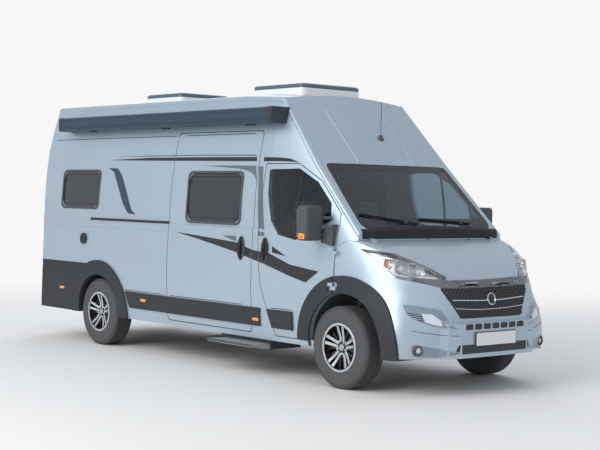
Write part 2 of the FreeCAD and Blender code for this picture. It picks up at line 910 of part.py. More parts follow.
def tail_lamp(skins):
    lamp = skins.body_shell.common(lamp_block())
    return largest(lamp)


def rear_bumper(skins):
    """The rear bumper, wrapped round both rear corners."""
    bumper = skins.body_shell.common(prism_y(bumper_zone(), -far_out, far_out))
    bumper = bumper.cut(rear_door_cut(seam_gap / 2))
    for arch in (rear_arch_cut(), mirrored(rear_arch_cut())):
        bumper = bumper.cut(arch)
    hinges = rear_hinges(False, rear_hinge_heights[:1])
    return fused([largest(bumper)] + hinges + [mirrored(h) for h in hinges])


def roof(skins):
    """The high roof in two parts, and the forehead over the windscreen with the front one."""
    top = skins.body_shell.common(prism_y(roof_zone(), -far_out, far_out))
    for setback, size in hatch_places():
        top = top.cut(hatch_hole(setback, size))
    seam = ahead(-roof_seam_setback)
    top = top.cut(box(seam - seat_gap / 2, seam + seat_gap / 2, -far_out, far_out, 0, high_up))
    return largest(top, 2)


def cab_frame(skins):
    """Pillars, sills and bulkhead of the cab, between the doors, the windscreen and the nose."""
    back = ahead(-cab_back_setback)
    frame = skins.body_shell.common(box(back, far_front, -far_out, far_out, 0, cab_roof_seam_height))
    frame = frame.cut(screen_cut()).cut(cowl_cut(seat_gap))
    cuts = [side_cut(spots(door_shares), door_corner),
            prism_y(nose_zone(), firewall_half_width, far_out),
            disc_y(ahead(front_arch_forward), front_arch_height, front_house_radius + house_thickness + seat_gap,
                   front_house_inner - house_thickness - seat_gap, far_out)]
    for cut in cuts:
        frame = frame.cut(cut).cut(mirrored(cut))
    under = box(ahead(-fender_back_setback), far_front, -far_out, far_out, 0, firewall_bottom)
    frame = frame.cut(under)
    return Part.makeCompound(solids_over(frame, overrun * overrun))


def cowl(skins):
    """The dark panel between the bonnet and the windscreen."""
    return largest(skins.body_shell.common(cowl_cut()))


def windscreen(skins):
    return largest(skins.glass_shell.common(screen_cut(-seat_gap)))


def bonnet_room(grow=0):
    """The room over the bonnet in plan."""
    half = plan_spots(bonnet_plan_shares)
    outline = half + [(x, -y) for x, y in reversed(half[:-1])]
    return prism_z(grown(outline, grow), 2 * wall + nose_top / 2, nose_top)


def lamp_room(grow=0):
    """The room of the left headlamp in front view."""
    return prism_x(grown(front_spots(lamp_shares), grow), ahead(0), far_front)


def grille_room(grow=0):
    top, low = front_spots(grille_shares)
    outline = [(-low[0], low[1]), (low[0], low[1]), (top[0], top[1]), (-top[0], top[1])]
    return prism_x(grown(outline, grow), ahead(bumper_seam_forward), far_front, grille_corner)


def bumper_room(grow=0):
    """The room of the front bumper in side view."""
    return prism_y(grown(spots(bumper_seam_shares), grow), -far_out, far_out)


def bonnet(skins):
    """The bonnet, a thin skin with a stiffer middle, and its hinge halves."""
    lid = largest(skins.nose_shell.common(bonnet_room(-seam_gap / 2)))
    under_skin = nose_solid(bonnet_skin).cut(bonnet_room(-bonnet_rim))
    lid = largest(lid.cut(under_skin))
    return fused([lid] + bonnet_hinges(True))


def bonnet_axis():
    """A point of the bonnet's axis in side view."""
    return ahead(bonnet_back_forward), bonnet_back_height + bonnet_hinge_lift


def bonnet_hinges(on_bonnet):
    """The barrels and leaves at the back of the bonnet, on both sides."""
    x, z = bonnet_axis()
    pieces = []
    for side in (-1, 1):
        middle = side * bonnet_hinge_half_track
        ends = (seat_gap / 2, hinge_height / 2) if on_bonnet else (-hinge_height / 2, -seat_gap / 2)
        y0, y1 = sorted((middle + side * ends[0], middle + side * ends[1]))
        pieces.append(tube(V(x, y0, z), V(x, y1, z), bonnet_hinge_radius))
        if on_bonnet:
            leaf = box(x, x + bonnet_leaf_length, y0, y1, z - bonnet_leaf_depth, z)
        else:
            leaf = box(ahead(screen_base_forward) - wall / 2, x, y0, y1, z, z + bonnet_hinge_radius)
        pieces.append(leaf)
    return pieces


def fender(skins):
    """The left front fender with its hinge halves."""
    panel = skins.nose_shell.common(side_cut(nose_zone(-seat_gap), 0, 0))
    panel = panel.common(box(ahead(-fender_back_setback), far_front, 0, far_out, 0, nose_top))
    panel = panel.cut(bumper_room()).cut(bonnet_room(seam_gap / 2)).cut(front_arch_cut())
    panel = panel.cut(box(ahead(-nose_back_setback), ahead(bonnet_back_forward), 0,
                          firewall_half_width + seat_gap, 0, nose_top))
    panel = largest(panel.cut(lamp_room()))
    return fused([panel] + door_hinges(False))


def headlamp(skins):
    """The left headlamp: a swept-back unit between fender, bonnet and bumper."""
    lamp = skins.nose_shell.common(lamp_room(-seat_gap)).cut(bonnet_room(seam_gap / 2))
    return largest(lamp)


def grille(skins):
    return largest(skins.nose_shell.common(grille_room(-seat_gap)).cut(bonnet_room(seam_gap / 2)))


def front_bumper(skins):
    """The front bumper with its centre ledge."""
    half = plan_spots(ledge_plan_shares)
    outline = half + [(x, -y) for x, y in reversed(half[:-1])]
    back = [(x - ledge_thickness, y) for x, y in reversed(outline)]
    ledge = prism_z(outline + back, ledge_low, ledge_high)
    panel = skins.nose_shell.common(bumper_room(-seat_gap)).fuse(ledge.cut(skins.nose_inner))
    panel = panel.cut(grille_room()).cut(bonnet_room(seam_gap / 2))
    for lamp in (lamp_room(), mirrored(lamp_room())):
        panel = panel.cut(lamp)
    for arch in (front_arch_cut(), mirrored(front_arch_cut())):
        panel = panel.cut(arch)
    return largest(panel)


# Trim that stays on the body

def side_trim(skins):
    """Arch cladding, strips, handle of the sliding door, filler cap and door rail of the body."""
    pieces = []
    x, y = door_hinge_line()
    room = box(x - hinge_leaf_length - seam_gap, x + hinge_leaf_length + seam_gap,
               y - hinge_leaf_depth - seam_gap, far_out,
               door_hinge_heights[0] - hinge_height / 2 - seam_gap,
               door_hinge_heights[0] + hinge_height / 2 + seam_gap)
    clad = disc_y(ahead(front_arch_forward), front_arch_height, front_clad_radius, mid_side, far_out)
    clad = clad.common(side_cut(nose_zone(-seat_gap), 0))
    front = skins.nose_trim.common(clad).cut(front_arch_cut()).cut(room)
    pieces += solids_over(front, overrun)
    ring = disc_y(rear_axle_x, tyre_radius, rear_clad_radius, mid_side, far_out)
    ring = ring.common(box(far_back, far_front, 0, far_out, sill_bottom, high_up))
    pieces += solids_over(skins.body_trim.common(ring).cut(rear_arch_cut()), overrun)
    strip = side_cut(strip_outline()).cut(side_cut(spots(door_shares), door_corner)).cut(ring)
    strip = strip.common(box(far_back, ahead(-door_pillar_setback + wall), 0, far_out, 0, high_up))
    strips = solids_over(skins.body_trim.common(strip), overrun)
    pieces += strips
    return Part.makeCompound(pieces)


def right_extras(skins):
    """What only the right side has: the filler cap, the door rail and the sliding door's handle."""
    cap_x, cap_z = spots(filler_shares)[0]
    cap = skins.body_trim.common(disc_y(cap_x, cap_z, filler_radius, mid_side, far_out))
    rail = skins.body_trim.common(side_cut(spots(rail_shares)))
    parts = [largest(cap), largest(rail), handle(skins, spots(handle_shares)[1])]
    return Part.makeCompound([mirrored(p) for p in parts])


def mirror(skins):
    """The left mirror: a rounded housing on two arms and a foot on the door."""
    head = box(ahead(-mirror_setback), ahead(mirror_depth - mirror_setback),
               mirror_inner, mirror_outer, mirror_low, mirror_high)
    head = head.makeFillet(mirror_edge_radius, head.Edges)
    parts = [head]
    for z in (mirror_arm_high, mirror_arm_low):
        start = V(ahead(-mirror_arm_setback), mirror_foot_half_width - mirror_foot_depth, z)
        end = V(ahead(-mirror_setback + mirror_depth / 2), mirror_inner + mirror_edge_radius, z)
        parts.append(tube(start, end, mirror_arm_radius).cut(skins.body))
    foot = prism_y(spots(mirror_foot_shares), mid_side, mirror_foot_half_width, seat_gap)
    parts.append(foot.cut(skins.body))
    return fused([largest(p) for p in parts])


def awning(skins):
    """The awning case on the right side, under the roof."""
    inner = mid_side
    case = prism_x(rectangle(inner, awning_outer, awning_low, awning_high), ahead(-awning_back_setback),
                   ahead(-awning_front_setback), awning_corner)
    return mirrored(largest(case.cut(skins.body)))


# Roof hatches

def hatch_places():
    """Setback of the back edge, and length and width, of both hatches."""
    return ((front_hatch_setback, (front_hatch_length, front_hatch_width)),
            (rear_hatch_setback, (rear_hatch_length, rear_hatch_width)))


def hatch_outline(setback, size, grow=0):
    x = ahead(-setback)
    return grown(rectangle(x, x + size[0], -size[1] / 2, size[1] / 2), grow)


def hatch_hole(setback, size):
    """The hole through the roof under a hatch."""
    outline = hatch_outline(setback, size, -hatch_wall)
    return prism_z(outline, roof_height - hatch_sink - wall, high_up, hatch_corner - hatch_wall)


def hatch_frame(skins, setback, size):
    """A hatch's frame: a ring on the roof."""
    top = roof_height + hatch_frame_height
    ring = prism_z(hatch_outline(setback, size), roof_height - hatch_sink, top, hatch_corner)
    ring = largest(ring.cut(skins.body).cut(hatch_hole(setback, size)))
    return fused([ring] + hatch_hinges(setback, False))


def hatch_lid(setback, size):
    """A hatch's domed lid, a thin gap above its frame."""
    low = roof_height + hatch_frame_height + seat_gap
    lid = prism_z(hatch_outline(setback, size), low, low + hatch_lid_height, hatch_corner)
    top_edges = [e for e in lid.Edges if e.BoundBox.ZMin > low + hatch_lid_height - seat_gap]
    return fused([lid.makeFillet(hatch_lid_height / 2, top_edges)] + hatch_hinges(setback, True))


def hatch_hinges(setback, on_lid):
    """The barrels behind a hatch, on the line that its lid turns about: one of the lid's, two of the frame's."""
    x = ahead(-setback) - hatch_hinge_stand
    z = roof_height + hatch_frame_height + seat_gap / 2
    reach = ahead(-setback) + hatch_hinge_stand
    if on_lid:
        spans = [(-hatch_barrel_length / 2, hatch_barrel_length / 2)]
        low, high = z + seat_gap / 2, z + hatch_hinge_radius
    else:
        near = hatch_barrel_length / 2 + seat_gap
        spans = [(near, near + hatch_barrel_length), (-near - hatch_barrel_length, -near)]
        low, high = z - hatch_hinge_radius, z - seat_gap / 2
    parts = []
    for y0, y1 in spans:
        parts.append(disc_y(x, z, hatch_hinge_radius, y0, y1))
        parts.append(box(x, reach, y0, y1, low, high))
    return parts


# Wheels

def turned(profile, x, y, z):
    """A ring turned about the wheel's axle from an outline in (out from the axle, along the axle)."""
    points = [V(x, y + b, z + a) for a, b in profile]
    wire = Part.makePolygon(points + [points[0]])
    return Part.Face(wire).revolve(V(x, y, z), V(0, 1, 0), 360)


def tyre(x, y):
    """A tyre with rounded shoulders about a wheel centre."""
    half = tyre_width / 2
    bead = rim_radius + seat_gap
    z = tyre_radius
    at = lambda a, b: V(x, y + b, z + a)
    side = tyre_radius - tyre_shoulder
    bulge = (bead + side) / 2
    tuck = half - tyre_tuck
    edges = [Part.LineSegment(at(bead, -tuck), at(bead, tuck)).toShape(),
             Part.Arc(at(bead, tuck), at(bulge, half), at(side, half - tyre_tuck / 2)).toShape(),
             Part.Arc(at(side, half - tyre_tuck / 2), at(tyre_radius - tyre_shoulder * tyre_round_share,
                      half - tyre_shoulder * tyre_round_share), at(tyre_radius, half - tyre_shoulder)).toShape(),
             Part.LineSegment(at(tyre_radius, half - tyre_shoulder), at(tyre_radius, tyre_shoulder - half)).toShape(),
             Part.Arc(at(tyre_radius, tyre_shoulder - half), at(tyre_radius - tyre_shoulder * tyre_round_share,
                      tyre_shoulder * tyre_round_share - half), at(side, tyre_tuck / 2 - half)).toShape(),
             Part.Arc(at(side, tyre_tuck / 2 - half), at(bulge, -half), at(bead, -tuck)).toShape()]
    return Part.Face(Part.Wire(edges)).revolve(V(x, y, z), V(0, 1, 0), 360)


def rim(x, y, outward):
    """A five-spoke wheel disc and barrel; outward is 1 on the left side and -1 on the right."""
    z = tyre_radius
    half = rim_width / 2
    lip = [(rim_radius - barrel_thickness, -half), (rim_radius, -half), (rim_radius, half),
           (rim_radius - barrel_thickness, half)]
    parts = [turned(lip, x, y, z)]
    flange = [(rim_radius - barrel_thickness, half), (rim_lip_radius, half), (rim_lip_radius, half + flange_thickness),
              (rim_radius - barrel_thickness, half + flange_thickness)]
    for side in (1, -1):
        parts.append(turned([(a, side * b) for a, b in flange], x, y, z))
    face = half - hub_inset + hub_thickness
    hub_low, hub_high = face - hub_thickness, face
    parts.append(disc_y(x, z, hub_radius, y + outward * hub_low, y + outward * hub_high))
    spoke_back = face - spoke_thickness
    reach = rim_radius - barrel_thickness / 2
    for i in range(spoke_count):
        turn = 360.0 * i / spoke_count + 90
        for side in (-1, 1):
            near = side * spoke_width * (0.5 + spoke_split_share * 0.5)
            far = side * spoke_spread
            outline = [(hub_radius / 2, near - spoke_width / 2), (reach, far - spoke_width / 2),
                       (reach, far + spoke_width / 2), (hub_radius / 2, near + spoke_width / 2)]
            bar = prism_y(outline, outward * spoke_back, outward * face)
            bar.rotate(V(0, 0, 0), V(0, 1, 0), turn)
            bar.translate(V(x, y, z))
            parts.append(bar)
    disc_out = half - brake_disc_depth
    parts.append(disc_y(x, z, brake_disc_radius, y + outward * disc_out, y + outward * (disc_out - brake_disc_thickness)))
    parts.append(disc_y(x, z, brake_hub_radius, y + outward * (disc_out - brake_disc_thickness), y + outward * hub_low))
    return fused(parts)


def hub_back(track):
    """Where the turning part of a left wheel ends on its inner side."""
    return track / 2 + rim_width / 2 - brake_disc_depth - brake_disc_thickness


# Front suspension

def king_pin():
    """A point and the direction of the left steering axis."""
    lean = math.radians(king_pin_lean)
    return V(front_axle_x, king_pin_half_track, tyre_radius), V(0, -math.sin(lean), math.cos(lean))


def on_king_pin(z):
    point, direction = king_pin()
    return point + direction * ((z - point.z) / direction.z)


def knuckle():
    """The left steering knuckle with its strut, up to the seat in the tower."""
    point, direction = king_pin()
    top = on_king_pin(strut_seat_height)
    foot = V(front_axle_x, strut_half_track, strut_low)
    strut = tube(foot, top - direction * (strut_disc_thickness / 2), strut_radius)
    disc = tube(top - direction * strut_disc_thickness, top, strut_disc_radius)
    inner = strut_half_track - strut_radius
    outer = hub_back(front_track) - stub_flange_gap
    block = box(front_axle_x - upright_half_length, front_axle_x + upright_half_length, inner, outer,
                upright_low, upright_high)
    stub = disc_y(front_axle_x, tyre_radius, stub_radius, outer, hub_back(front_track) - seat_gap)
    ball = tube(on_king_pin(upright_low - ball_drop), on_king_pin(upright_low + ball_drop), ball_radius)
    return fused([strut, disc, block, stub, ball])


def towers():
    """The left strut tower's seat over the knuckle."""
    point, direction = king_pin()
    top = on_king_pin(strut_seat_height) + direction * seat_gap
    return tube(top, top + direction * tower_thickness, strut_disc_radius)


def lower_arm():
    """The left lower arm, from the rail to the ball under the knuckle."""
    tip = on_king_pin(arm_low + arm_thickness)
    outline = [(front_axle_x - arm_half_length, rail_inner), (front_axle_x + arm_half_length, rail_inner),
               (front_axle_x + arm_tip_half_length, tip.y), (front_axle_x - arm_tip_half_length, tip.y)]
    arm = prism_z(outline, arm_low, arm_low + arm_thickness)
    direction = king_pin()[1]
    ball_top = on_king_pin(upright_low - ball_drop) - direction * seat_gap
    ball = tube(on_king_pin(arm_low + arm_thickness / 2), ball_top, ball_radius)
    hanger = box(front_axle_x - arm_half_length, front_axle_x + arm_half_length, rail_inner, rail_inner + rail_width / 2,
                 arm_low, rail_low + wall)
    return [arm, ball, hanger]


# Underbody

def underframe():
    """Two rails with their jack pads, cross members and the lower arms."""
    back, front = ahead(-rail_back_setback), ahead(rail_front_forward)
    parts = []
    for side in (-1, 1):
        y0, y1 = sorted((side * rail_inner, side * (rail_inner + rail_width)))
        parts.append(box(back, front, y0, y1, rail_low, floor_low))
        for setback in jack_setbacks:
            x = ahead(-setback)
            parts.append(box(x - jack_pad_length / 2, x + jack_pad_length / 2, y0, y1,
                             rail_low - jack_pad_drop, rail_low))
    for share in cross_member_shares:
        middle = front_axle_x + share * wheelbase
        parts.append(box(middle - cross_member_length / 2, middle + cross_member_length / 2, -rail_inner, rail_inner,
                         rail_low + cross_member_drop, floor_low))
    arms = lower_arm()
    parts += arms + [mirrored(a) for a in arms]
    return fused(parts)


def floor(skins):
    """The floor of the cab and the living space, cut out for the wheels."""
    plate = skins.body_inner.common(box(far_back, ahead(-cab_floor_front_setback), -far_out, far_out,
                                        floor_low, floor_low + floor_thickness))
    cut = box(rear_axle_x - rear_house_radius - house_thickness, rear_axle_x + rear_house_radius + house_thickness,
              rear_house_inner - house_thickness, far_out, 0, high_up)
    plate = plate.cut(cut).cut(mirrored(cut))
    foot = box(ahead(-cab_floor_front_setback - overrun), ahead(footwell_front_forward), -footwell_half_width,
               footwell_half_width, floor_low, floor_low + floor_thickness)
    return fused([largest(plate), foot])


def house(x, z, radius, inner, outer, low):
    """A wheel house: a half ring over the wheel with its inner wall, on the left."""
    ring = disc_y(x, z, radius + house_thickness, inner - house_thickness, outer)
    ring = ring.cut(disc_y(x, z, radius, inner, outer + overrun))
    return ring.common(box(far_back, far_front, 0, far_out, low, high_up))


def wheel_houses(skins):
    """The four wheel houses, with the front strut seats."""
    front = house(ahead(front_arch_forward), front_arch_height, front_house_radius, front_house_inner,
                  far_out, front_arch_height)
    behind = box(far_back, ahead(-fender_back_setback + clearance), 0, door_house_half_width, 0, high_up)
    before = box(ahead(-fender_back_setback + clearance), far_front, 0, far_out, 0, high_up)
    front = fused([largest(front.common(behind).common(skins.body_inner)),
                   largest(front.common(before).common(skins.nose_inner)), tower_block()])
    rear = house(rear_axle_x, tyre_radius, rear_house_radius, rear_house_inner, far_out, rear_house_low)
    rear = largest(rear.common(skins.body_inner))
    return Part.makeCompound([front, mirrored(front), rear, mirrored(rear)])


def tower_block():
    """The plate that joins the strut seat to the wheel house."""
    seat = towers()
    top = on_king_pin(strut_seat_height)
    block = tube(V(top.x, top.y, top.z + tower_thickness), V(top.x, top.y, front_arch_height + front_house_radius), strut_disc_radius)
    return seat.fuse(block.cut(tube(top - V(0, 0, overrun), top + king_pin()[1] * (seat_gap + tower_thickness / 2), strut_disc_radius * 1.5)))


def rear_axle():
    """The rear beam with its drums and leaf springs."""
    outer = hub_back(rear_track) - seat_gap
    parts = [disc_y(rear_axle_x, tyre_radius, axle_tube_radius, -outer, outer)]
    for side in (-1, 1):
        middle = side * (rail_inner + rail_width / 2)
        y0, y1 = middle - spring_width / 2, middle + spring_width / 2
        top = tyre_radius - axle_tube_radius / 2
        parts.append(box(rear_axle_x - spring_length / 2, rear_axle_x + spring_length / 2, y0, y1,
                         tyre_radius - spring_drop, tyre_radius - spring_drop + spring_thickness))
        parts.append(box(rear_axle_x - axle_tube_radius, rear_axle_x + axle_tube_radius, y0, y1,
                         tyre_radius - spring_drop, top))
        for end in (-1, 1):
            x = rear_axle_x + end * (spring_length - shackle_length) / 2
            parts.append(box(x - shackle_length / 2, x + shackle_length / 2, y0, y1,
                             tyre_radius - spring_drop, rail_low - seat_gap))
    return fused(parts)


def engine_block():
    """The engine as one plain block on two mounts between the rails."""
    back = ahead(engine_back_forward)
    block = box(back, back + engine_length, -engine_half_width, engine_half_width, engine_low, engine_low + engine_height)
    mount = box(back, back + engine_mount_length, -rail_inner + seat_gap, rail_inner - seat_gap,
                engine_mount_low, engine_mount_low + engine_mount_height)
    return fused([block, mount])


def tanks():
    """Fuel tank and waste water tank under the floor."""
    result = []
    for setback, size, low in ((fuel_tank_setback, fuel_tank_length, fuel_tank_low),
                               (water_tank_setback, water_tank_length, water_tank_low)):
        x = ahead(-setback)
        outline = rectangle(-fuel_tank_half_width, fuel_tank_half_width, low, rail_low + cross_member_drop - seat_gap)
        shape = prism_x(outline, x, x + size, tank_corner)
        start = x + tank_strap_inset
        straps = box(start, start + tank_strap_length, -tank_strap_half_width, tank_strap_half_width,
                     rail_low, floor_low - seat_gap)
        result.append(fused([shape, straps]))
    return Part.makeCompound(result)


# Entrance step on the right side

def step_span():
    """Both ends of the step along the van."""
    return ahead(-step_back_setback), ahead(step_length - step_back_setback)


def entrance_step():
    """The step's tread, drawn out, between its two side arms."""
    x0, x1 = step_span()
    parts = [box(x0, x1, -step_outer, -step_outer + step_depth, step_low, step_low + step_thickness)]
    for x in (x0 - step_arm_width, x1):
        outline = [(-step_outer, step_low + step_thickness / 2), (-step_outer + step_depth / 2, step_arm_low),
                   (-step_arm_end, step_arm_low), (-step_arm_end, step_low + step_thickness),
                   (-step_outer, step_low + step_thickness)]
        parts.append(prism_x(outline, x, x + step_arm_width))
    return fused(parts)


def step_housing():
    """The housing of the step under the sill: a top plate and a rail with a lip under each arm."""
    x0, x1 = step_span()
    outer, inner = -step_housing_outer, -step_housing_inner
    top_low = step_low + step_thickness + step_gap
    edge = step_arm_width + seat_gap + step_housing_wall
    parts = [box(x0 - edge, x1 + edge, outer, inner, top_low, step_housing_top)]
    for start, side in ((x0 - edge, 0), (x1 + step_arm_width + seat_gap, 1)):
        parts.append(box(start, start + step_housing_wall, outer, inner, step_arm_low - seat_gap - step_housing_wall,
                         top_low))
        lip = x0 - edge if side == 0 else x1 + step_arm_width / 2
        parts.append(box(lip, lip + edge - step_arm_width / 2, outer, inner,
                         step_arm_low - seat_gap - step_housing_wall, step_arm_low - seat_gap))
    for x in (x0, x1 - step_hanger_length):
        parts.append(box(x, x + step_hanger_length, -step_hanger_outer, -step_hanger_outer + step_hanger_length,
                         step_housing_top, floor_low - seat_gap))
    return fused(parts)


# Cab and living space

def front_seats():
    """Both cab seats, each on its pedestal."""
    seats = []
    x = ahead(-seat_back_setback)
    floor_top = floor_low + floor_thickness
    for side in (-1, 1):
        y = side * seat_half_track
        base = box(x + seat_corner, x + seat_depth - seat_corner, y - seat_base_width / 2, y + seat_base_width / 2,
                   floor_top, floor_top + seat_base_height)
        low = floor_top + seat_base_height
        cushion = box(x, x + seat_depth, y - seat_width / 2, y + seat_width / 2, low, low + seat_cushion_height)
        top = low + seat_back_height
        back = prism_y([(x, low), (x + seat_back_thickness, low), (x + seat_back_thickness - seat_back_lean, top),
                        (x - seat_back_lean, top)], y - seat_width / 2, y + seat_width / 2, seat_corner)
        head = box(x - seat_back_lean, x - seat_back_lean + seat_back_thickness * 0.8, y - headrest_width / 2,
                   y + headrest_width / 2, top - seat_corner, top + headrest_height)
        seats.append(fused([base, cushion, back, head]))
    return Part.makeCompound(seats)


def dashboard(skins):
    """The dashboard across the cab."""
    body = prism_y(spots(dash_profile_shares), -dash_half_width, dash_half_width)
    body = body.common(skins.body_inner)
    houses = disc_y(ahead(front_arch_forward), front_arch_height, front_house_radius + house_thickness + seat_gap,
                    front_house_inner - house_thickness - seat_gap, far_out)
    return largest(body.cut(houses).cut(mirrored(houses)))


def steering_axis():
    """The centre of the steering wheel and the direction of its column, down and ahead."""
    lean = math.radians(steering_lean)
    return V(ahead(-steering_setback), steering_side, steering_height), V(math.cos(lean), 0, -math.sin(lean))


def steering_wheel():
    """The steering wheel with three spokes and its hub."""
    centre, axis = steering_axis()
    ring = Part.makeTorus(steering_radius, steering_rim_radius, centre, axis)
    hub = tube(centre - axis * steering_rim_radius, centre + axis * 2 * steering_rim_radius, steering_hub_radius)
    parts = [ring, hub]
    up = axis.cross(V(0, 1, 0)).normalize()
    for turn in (0, 120, 240):
        angle = math.radians(turn - 90)
        out = V(0, 1, 0) * math.cos(angle) + up * math.sin(angle)
        parts.append(tube(centre, centre + out * steering_radius, steering_rim_radius * 0.7))
    return fused(parts)


def steering_column(skins):
    """The column from the dashboard to just behind the steering wheel."""
    centre, axis = steering_axis()
    start = centre + axis * (2 * steering_rim_radius + seat_gap)
    return tube(start, start + axis * steering_column_length, steering_column_radius)


def furniture(skins):
    """Kitchen block, closet and bed platform of the living space."""
    floor_top = floor_low + floor_thickness
    side = half_width - wall - furniture_side_gap
    k = ahead(-kitchen_setback)
    kitchen = box(k, k + kitchen_length, -side, -side + kitchen_depth, floor_top, floor_top + kitchen_height)
    c = ahead(-closet_setback)
    closet = box(c, c + closet_length, side - closet_depth, far_out, floor_top, floor_top + closet_height)
    b = ahead(-bed_setback)
    bed = box(b, b + bed_length - seat_gap, -bed_half_width, bed_half_width, bed_low, bed_low + bed_thickness)
    foot = box(b + bed_length - bed_support_thickness, b + bed_length - seat_gap, -bed_half_width, bed_half_width, floor_top, bed_low)
    rest = box(b + rear_lean, b + rear_lean + bed_support_thickness, -bed_half_width, bed_half_width, floor_top, bed_low)
    inside = skins.body_inner
    pieces = [kitchen, closet.common(inside), fused([bed.common(inside), foot.common(inside), rest.common(inside)])]
    return Part.makeCompound([largest(p) for p in pieces])


def mattress(skins):
    b = ahead(-bed_setback)
    low = bed_low + bed_thickness + seat_gap
    pad = box(b + rear_lean + seam_gap, b + bed_length - bed_support_thickness, -bed_half_width + bed_support_thickness,
              bed_half_width - bed_support_thickness, low, low + mattress_height)
    return largest(pad)


def antenna(skins):
    """The roof antenna: a rod on a small foot."""
    x, y = ahead(-antenna_setback), antenna_side
    foot = tube(V(x, y, cab_roof_seam_height), V(x, y, antenna_foot_top), antenna_foot_radius).cut(skins.body)
    rod = tube(V(x, y, antenna_foot_top), V(x, y, antenna_height), antenna_radius)
    return fused([largest(foot), rod])


def build():
    """Every node of the van by name."""
    skins = Skins()
    nodes = {}
    door = front_door(skins)
    door_glass = front_door_glass(skins)
    door_trim = front_door_trim(skins)
    wing = mirror(skins)
    back_door = rear_door(skins)
    back_glass = rear_door_glass(skins)
    nodes["door_front_left"], nodes["door_front_right"] = door, mirrored(door)
    nodes["door_glass_left"], nodes["door_glass_right"] = door_glass, mirrored(door_glass)
    nodes["door_trim_left"], nodes["door_trim_right"] = door_trim, mirrored(door_trim)
    nodes["mirror_left"], nodes["mirror_right"] = wing, mirrored(wing)
    nodes["door_rear_left"], nodes["door_rear_right"] = back_door, mirrored(back_door)
    nodes["rear_glass_left"], nodes["rear_glass_right"] = back_glass, mirrored(back_glass)
    nodes["side_left"] = main_side(skins, False)
    nodes["side_right"] = mirrored(main_side(skins, True))
    nodes["sliding_door"] = mirrored(sliding_door(skins))
    nodes["rear_bumper"] = rear_bumper(skins)
    nodes["tail_lamps"] = both_sides(tail_lamp(skins))
    nodes["roof"] = roof(skins)
    nodes["cab_frame"] = fused([s for s in cab_frame(skins).Solids])
    nodes["cowl"] = fused([cowl(skins)] + bonnet_hinges(False))
    nodes["windscreen"] = windscreen(skins)
    nodes["bonnet"] = bonnet(skins)
    nodes["fenders"] = both_sides(fender(skins))
    nodes["headlamps"] = both_sides(headlamp(skins))
    nodes["grille"] = grille(skins)
    nodes["front_bumper"] = front_bumper(skins)
    trim = side_trim(skins)
    nodes["side_trim"] = Part.makeCompound([trim, mirrored(trim), right_extras(skins)])
    panes = []
    for outline in (sliding_window_shares, rear_side_window_shares):
        pane = window_glass(skins.glass_shell, spots(outline), side_window_corner, along_y, mid_side, far_out)
        panes += [pane, mirrored(pane)]
    nodes["side_windows"] = Part.makeCompound(panes)
    nodes["awning"] = awning(skins)
    nodes["hatch_frames"] = Part.makeCompound([hatch_frame(skins, s, size) for s, size in hatch_places()])
    for name, (setback, size) in zip(("hatch_lid_front", "hatch_lid_rear"), hatch_places()):
        nodes[name] = hatch_lid(setback, size)
    for name, x, y, outward in (("front_left", front_axle_x, front_track / 2, 1),
                                ("front_right", front_axle_x, -front_track / 2, -1),
                                ("rear_left", rear_axle_x, rear_track / 2, 1),
                                ("rear_right", rear_axle_x, -rear_track / 2, -1)):
        nodes["tyre_" + name] = tyre(x, y)
        nodes["rim_" + name] = rim(x, y, outward)
    upright = knuckle()
    nodes["knuckle_left"], nodes["knuckle_right"] = upright, mirrored(upright)
    nodes["underframe"] = underframe()
    nodes["floor"] = floor(skins)
    nodes["wheel_houses"] = wheel_houses(skins)
    nodes["rear_axle"] = rear_axle()
    nodes["engine_block"] = engine_block()
    nodes["tanks"] = tanks()
    nodes["entrance_step"] = entrance_step()
    nodes["step_housing"] = step_housing()
    nodes["front_seats"] = front_seats()
    nodes["dashboard"] = fused([dashboard(skins), steering_column(skins)])
    nodes["steering_wheel"] = steering_wheel()
    nodes["furniture"] = furniture(skins)
    nodes["mattress"] = mattress(skins)
    nodes["antenna"] = antenna(skins)
    return nodes


def main():
    os.makedirs("parts", exist_ok=True)
    for name, shape in build().items():
        if not shape.isValid() or not shape.Solids:
            print("check", name)
        shape.exportStep("parts/" + name + ".step")


main()
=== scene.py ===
"""Dresses the camper van's solids: paint, decals, lamps, wheels, trim, cab and living space.

The frame is that of the solids, in metres: X to the front, Y to the left, Z up, with the ground at
z = 0. A length along the van is given ahead of the front axle, and ahead() turns it into an X.
"""

import json
import logging
import math
from dataclasses import dataclass, field
from enum import Enum

import bmesh
import bpy
from mathutils import Matrix, Vector
from mathutils.bvhtree import BVHTree

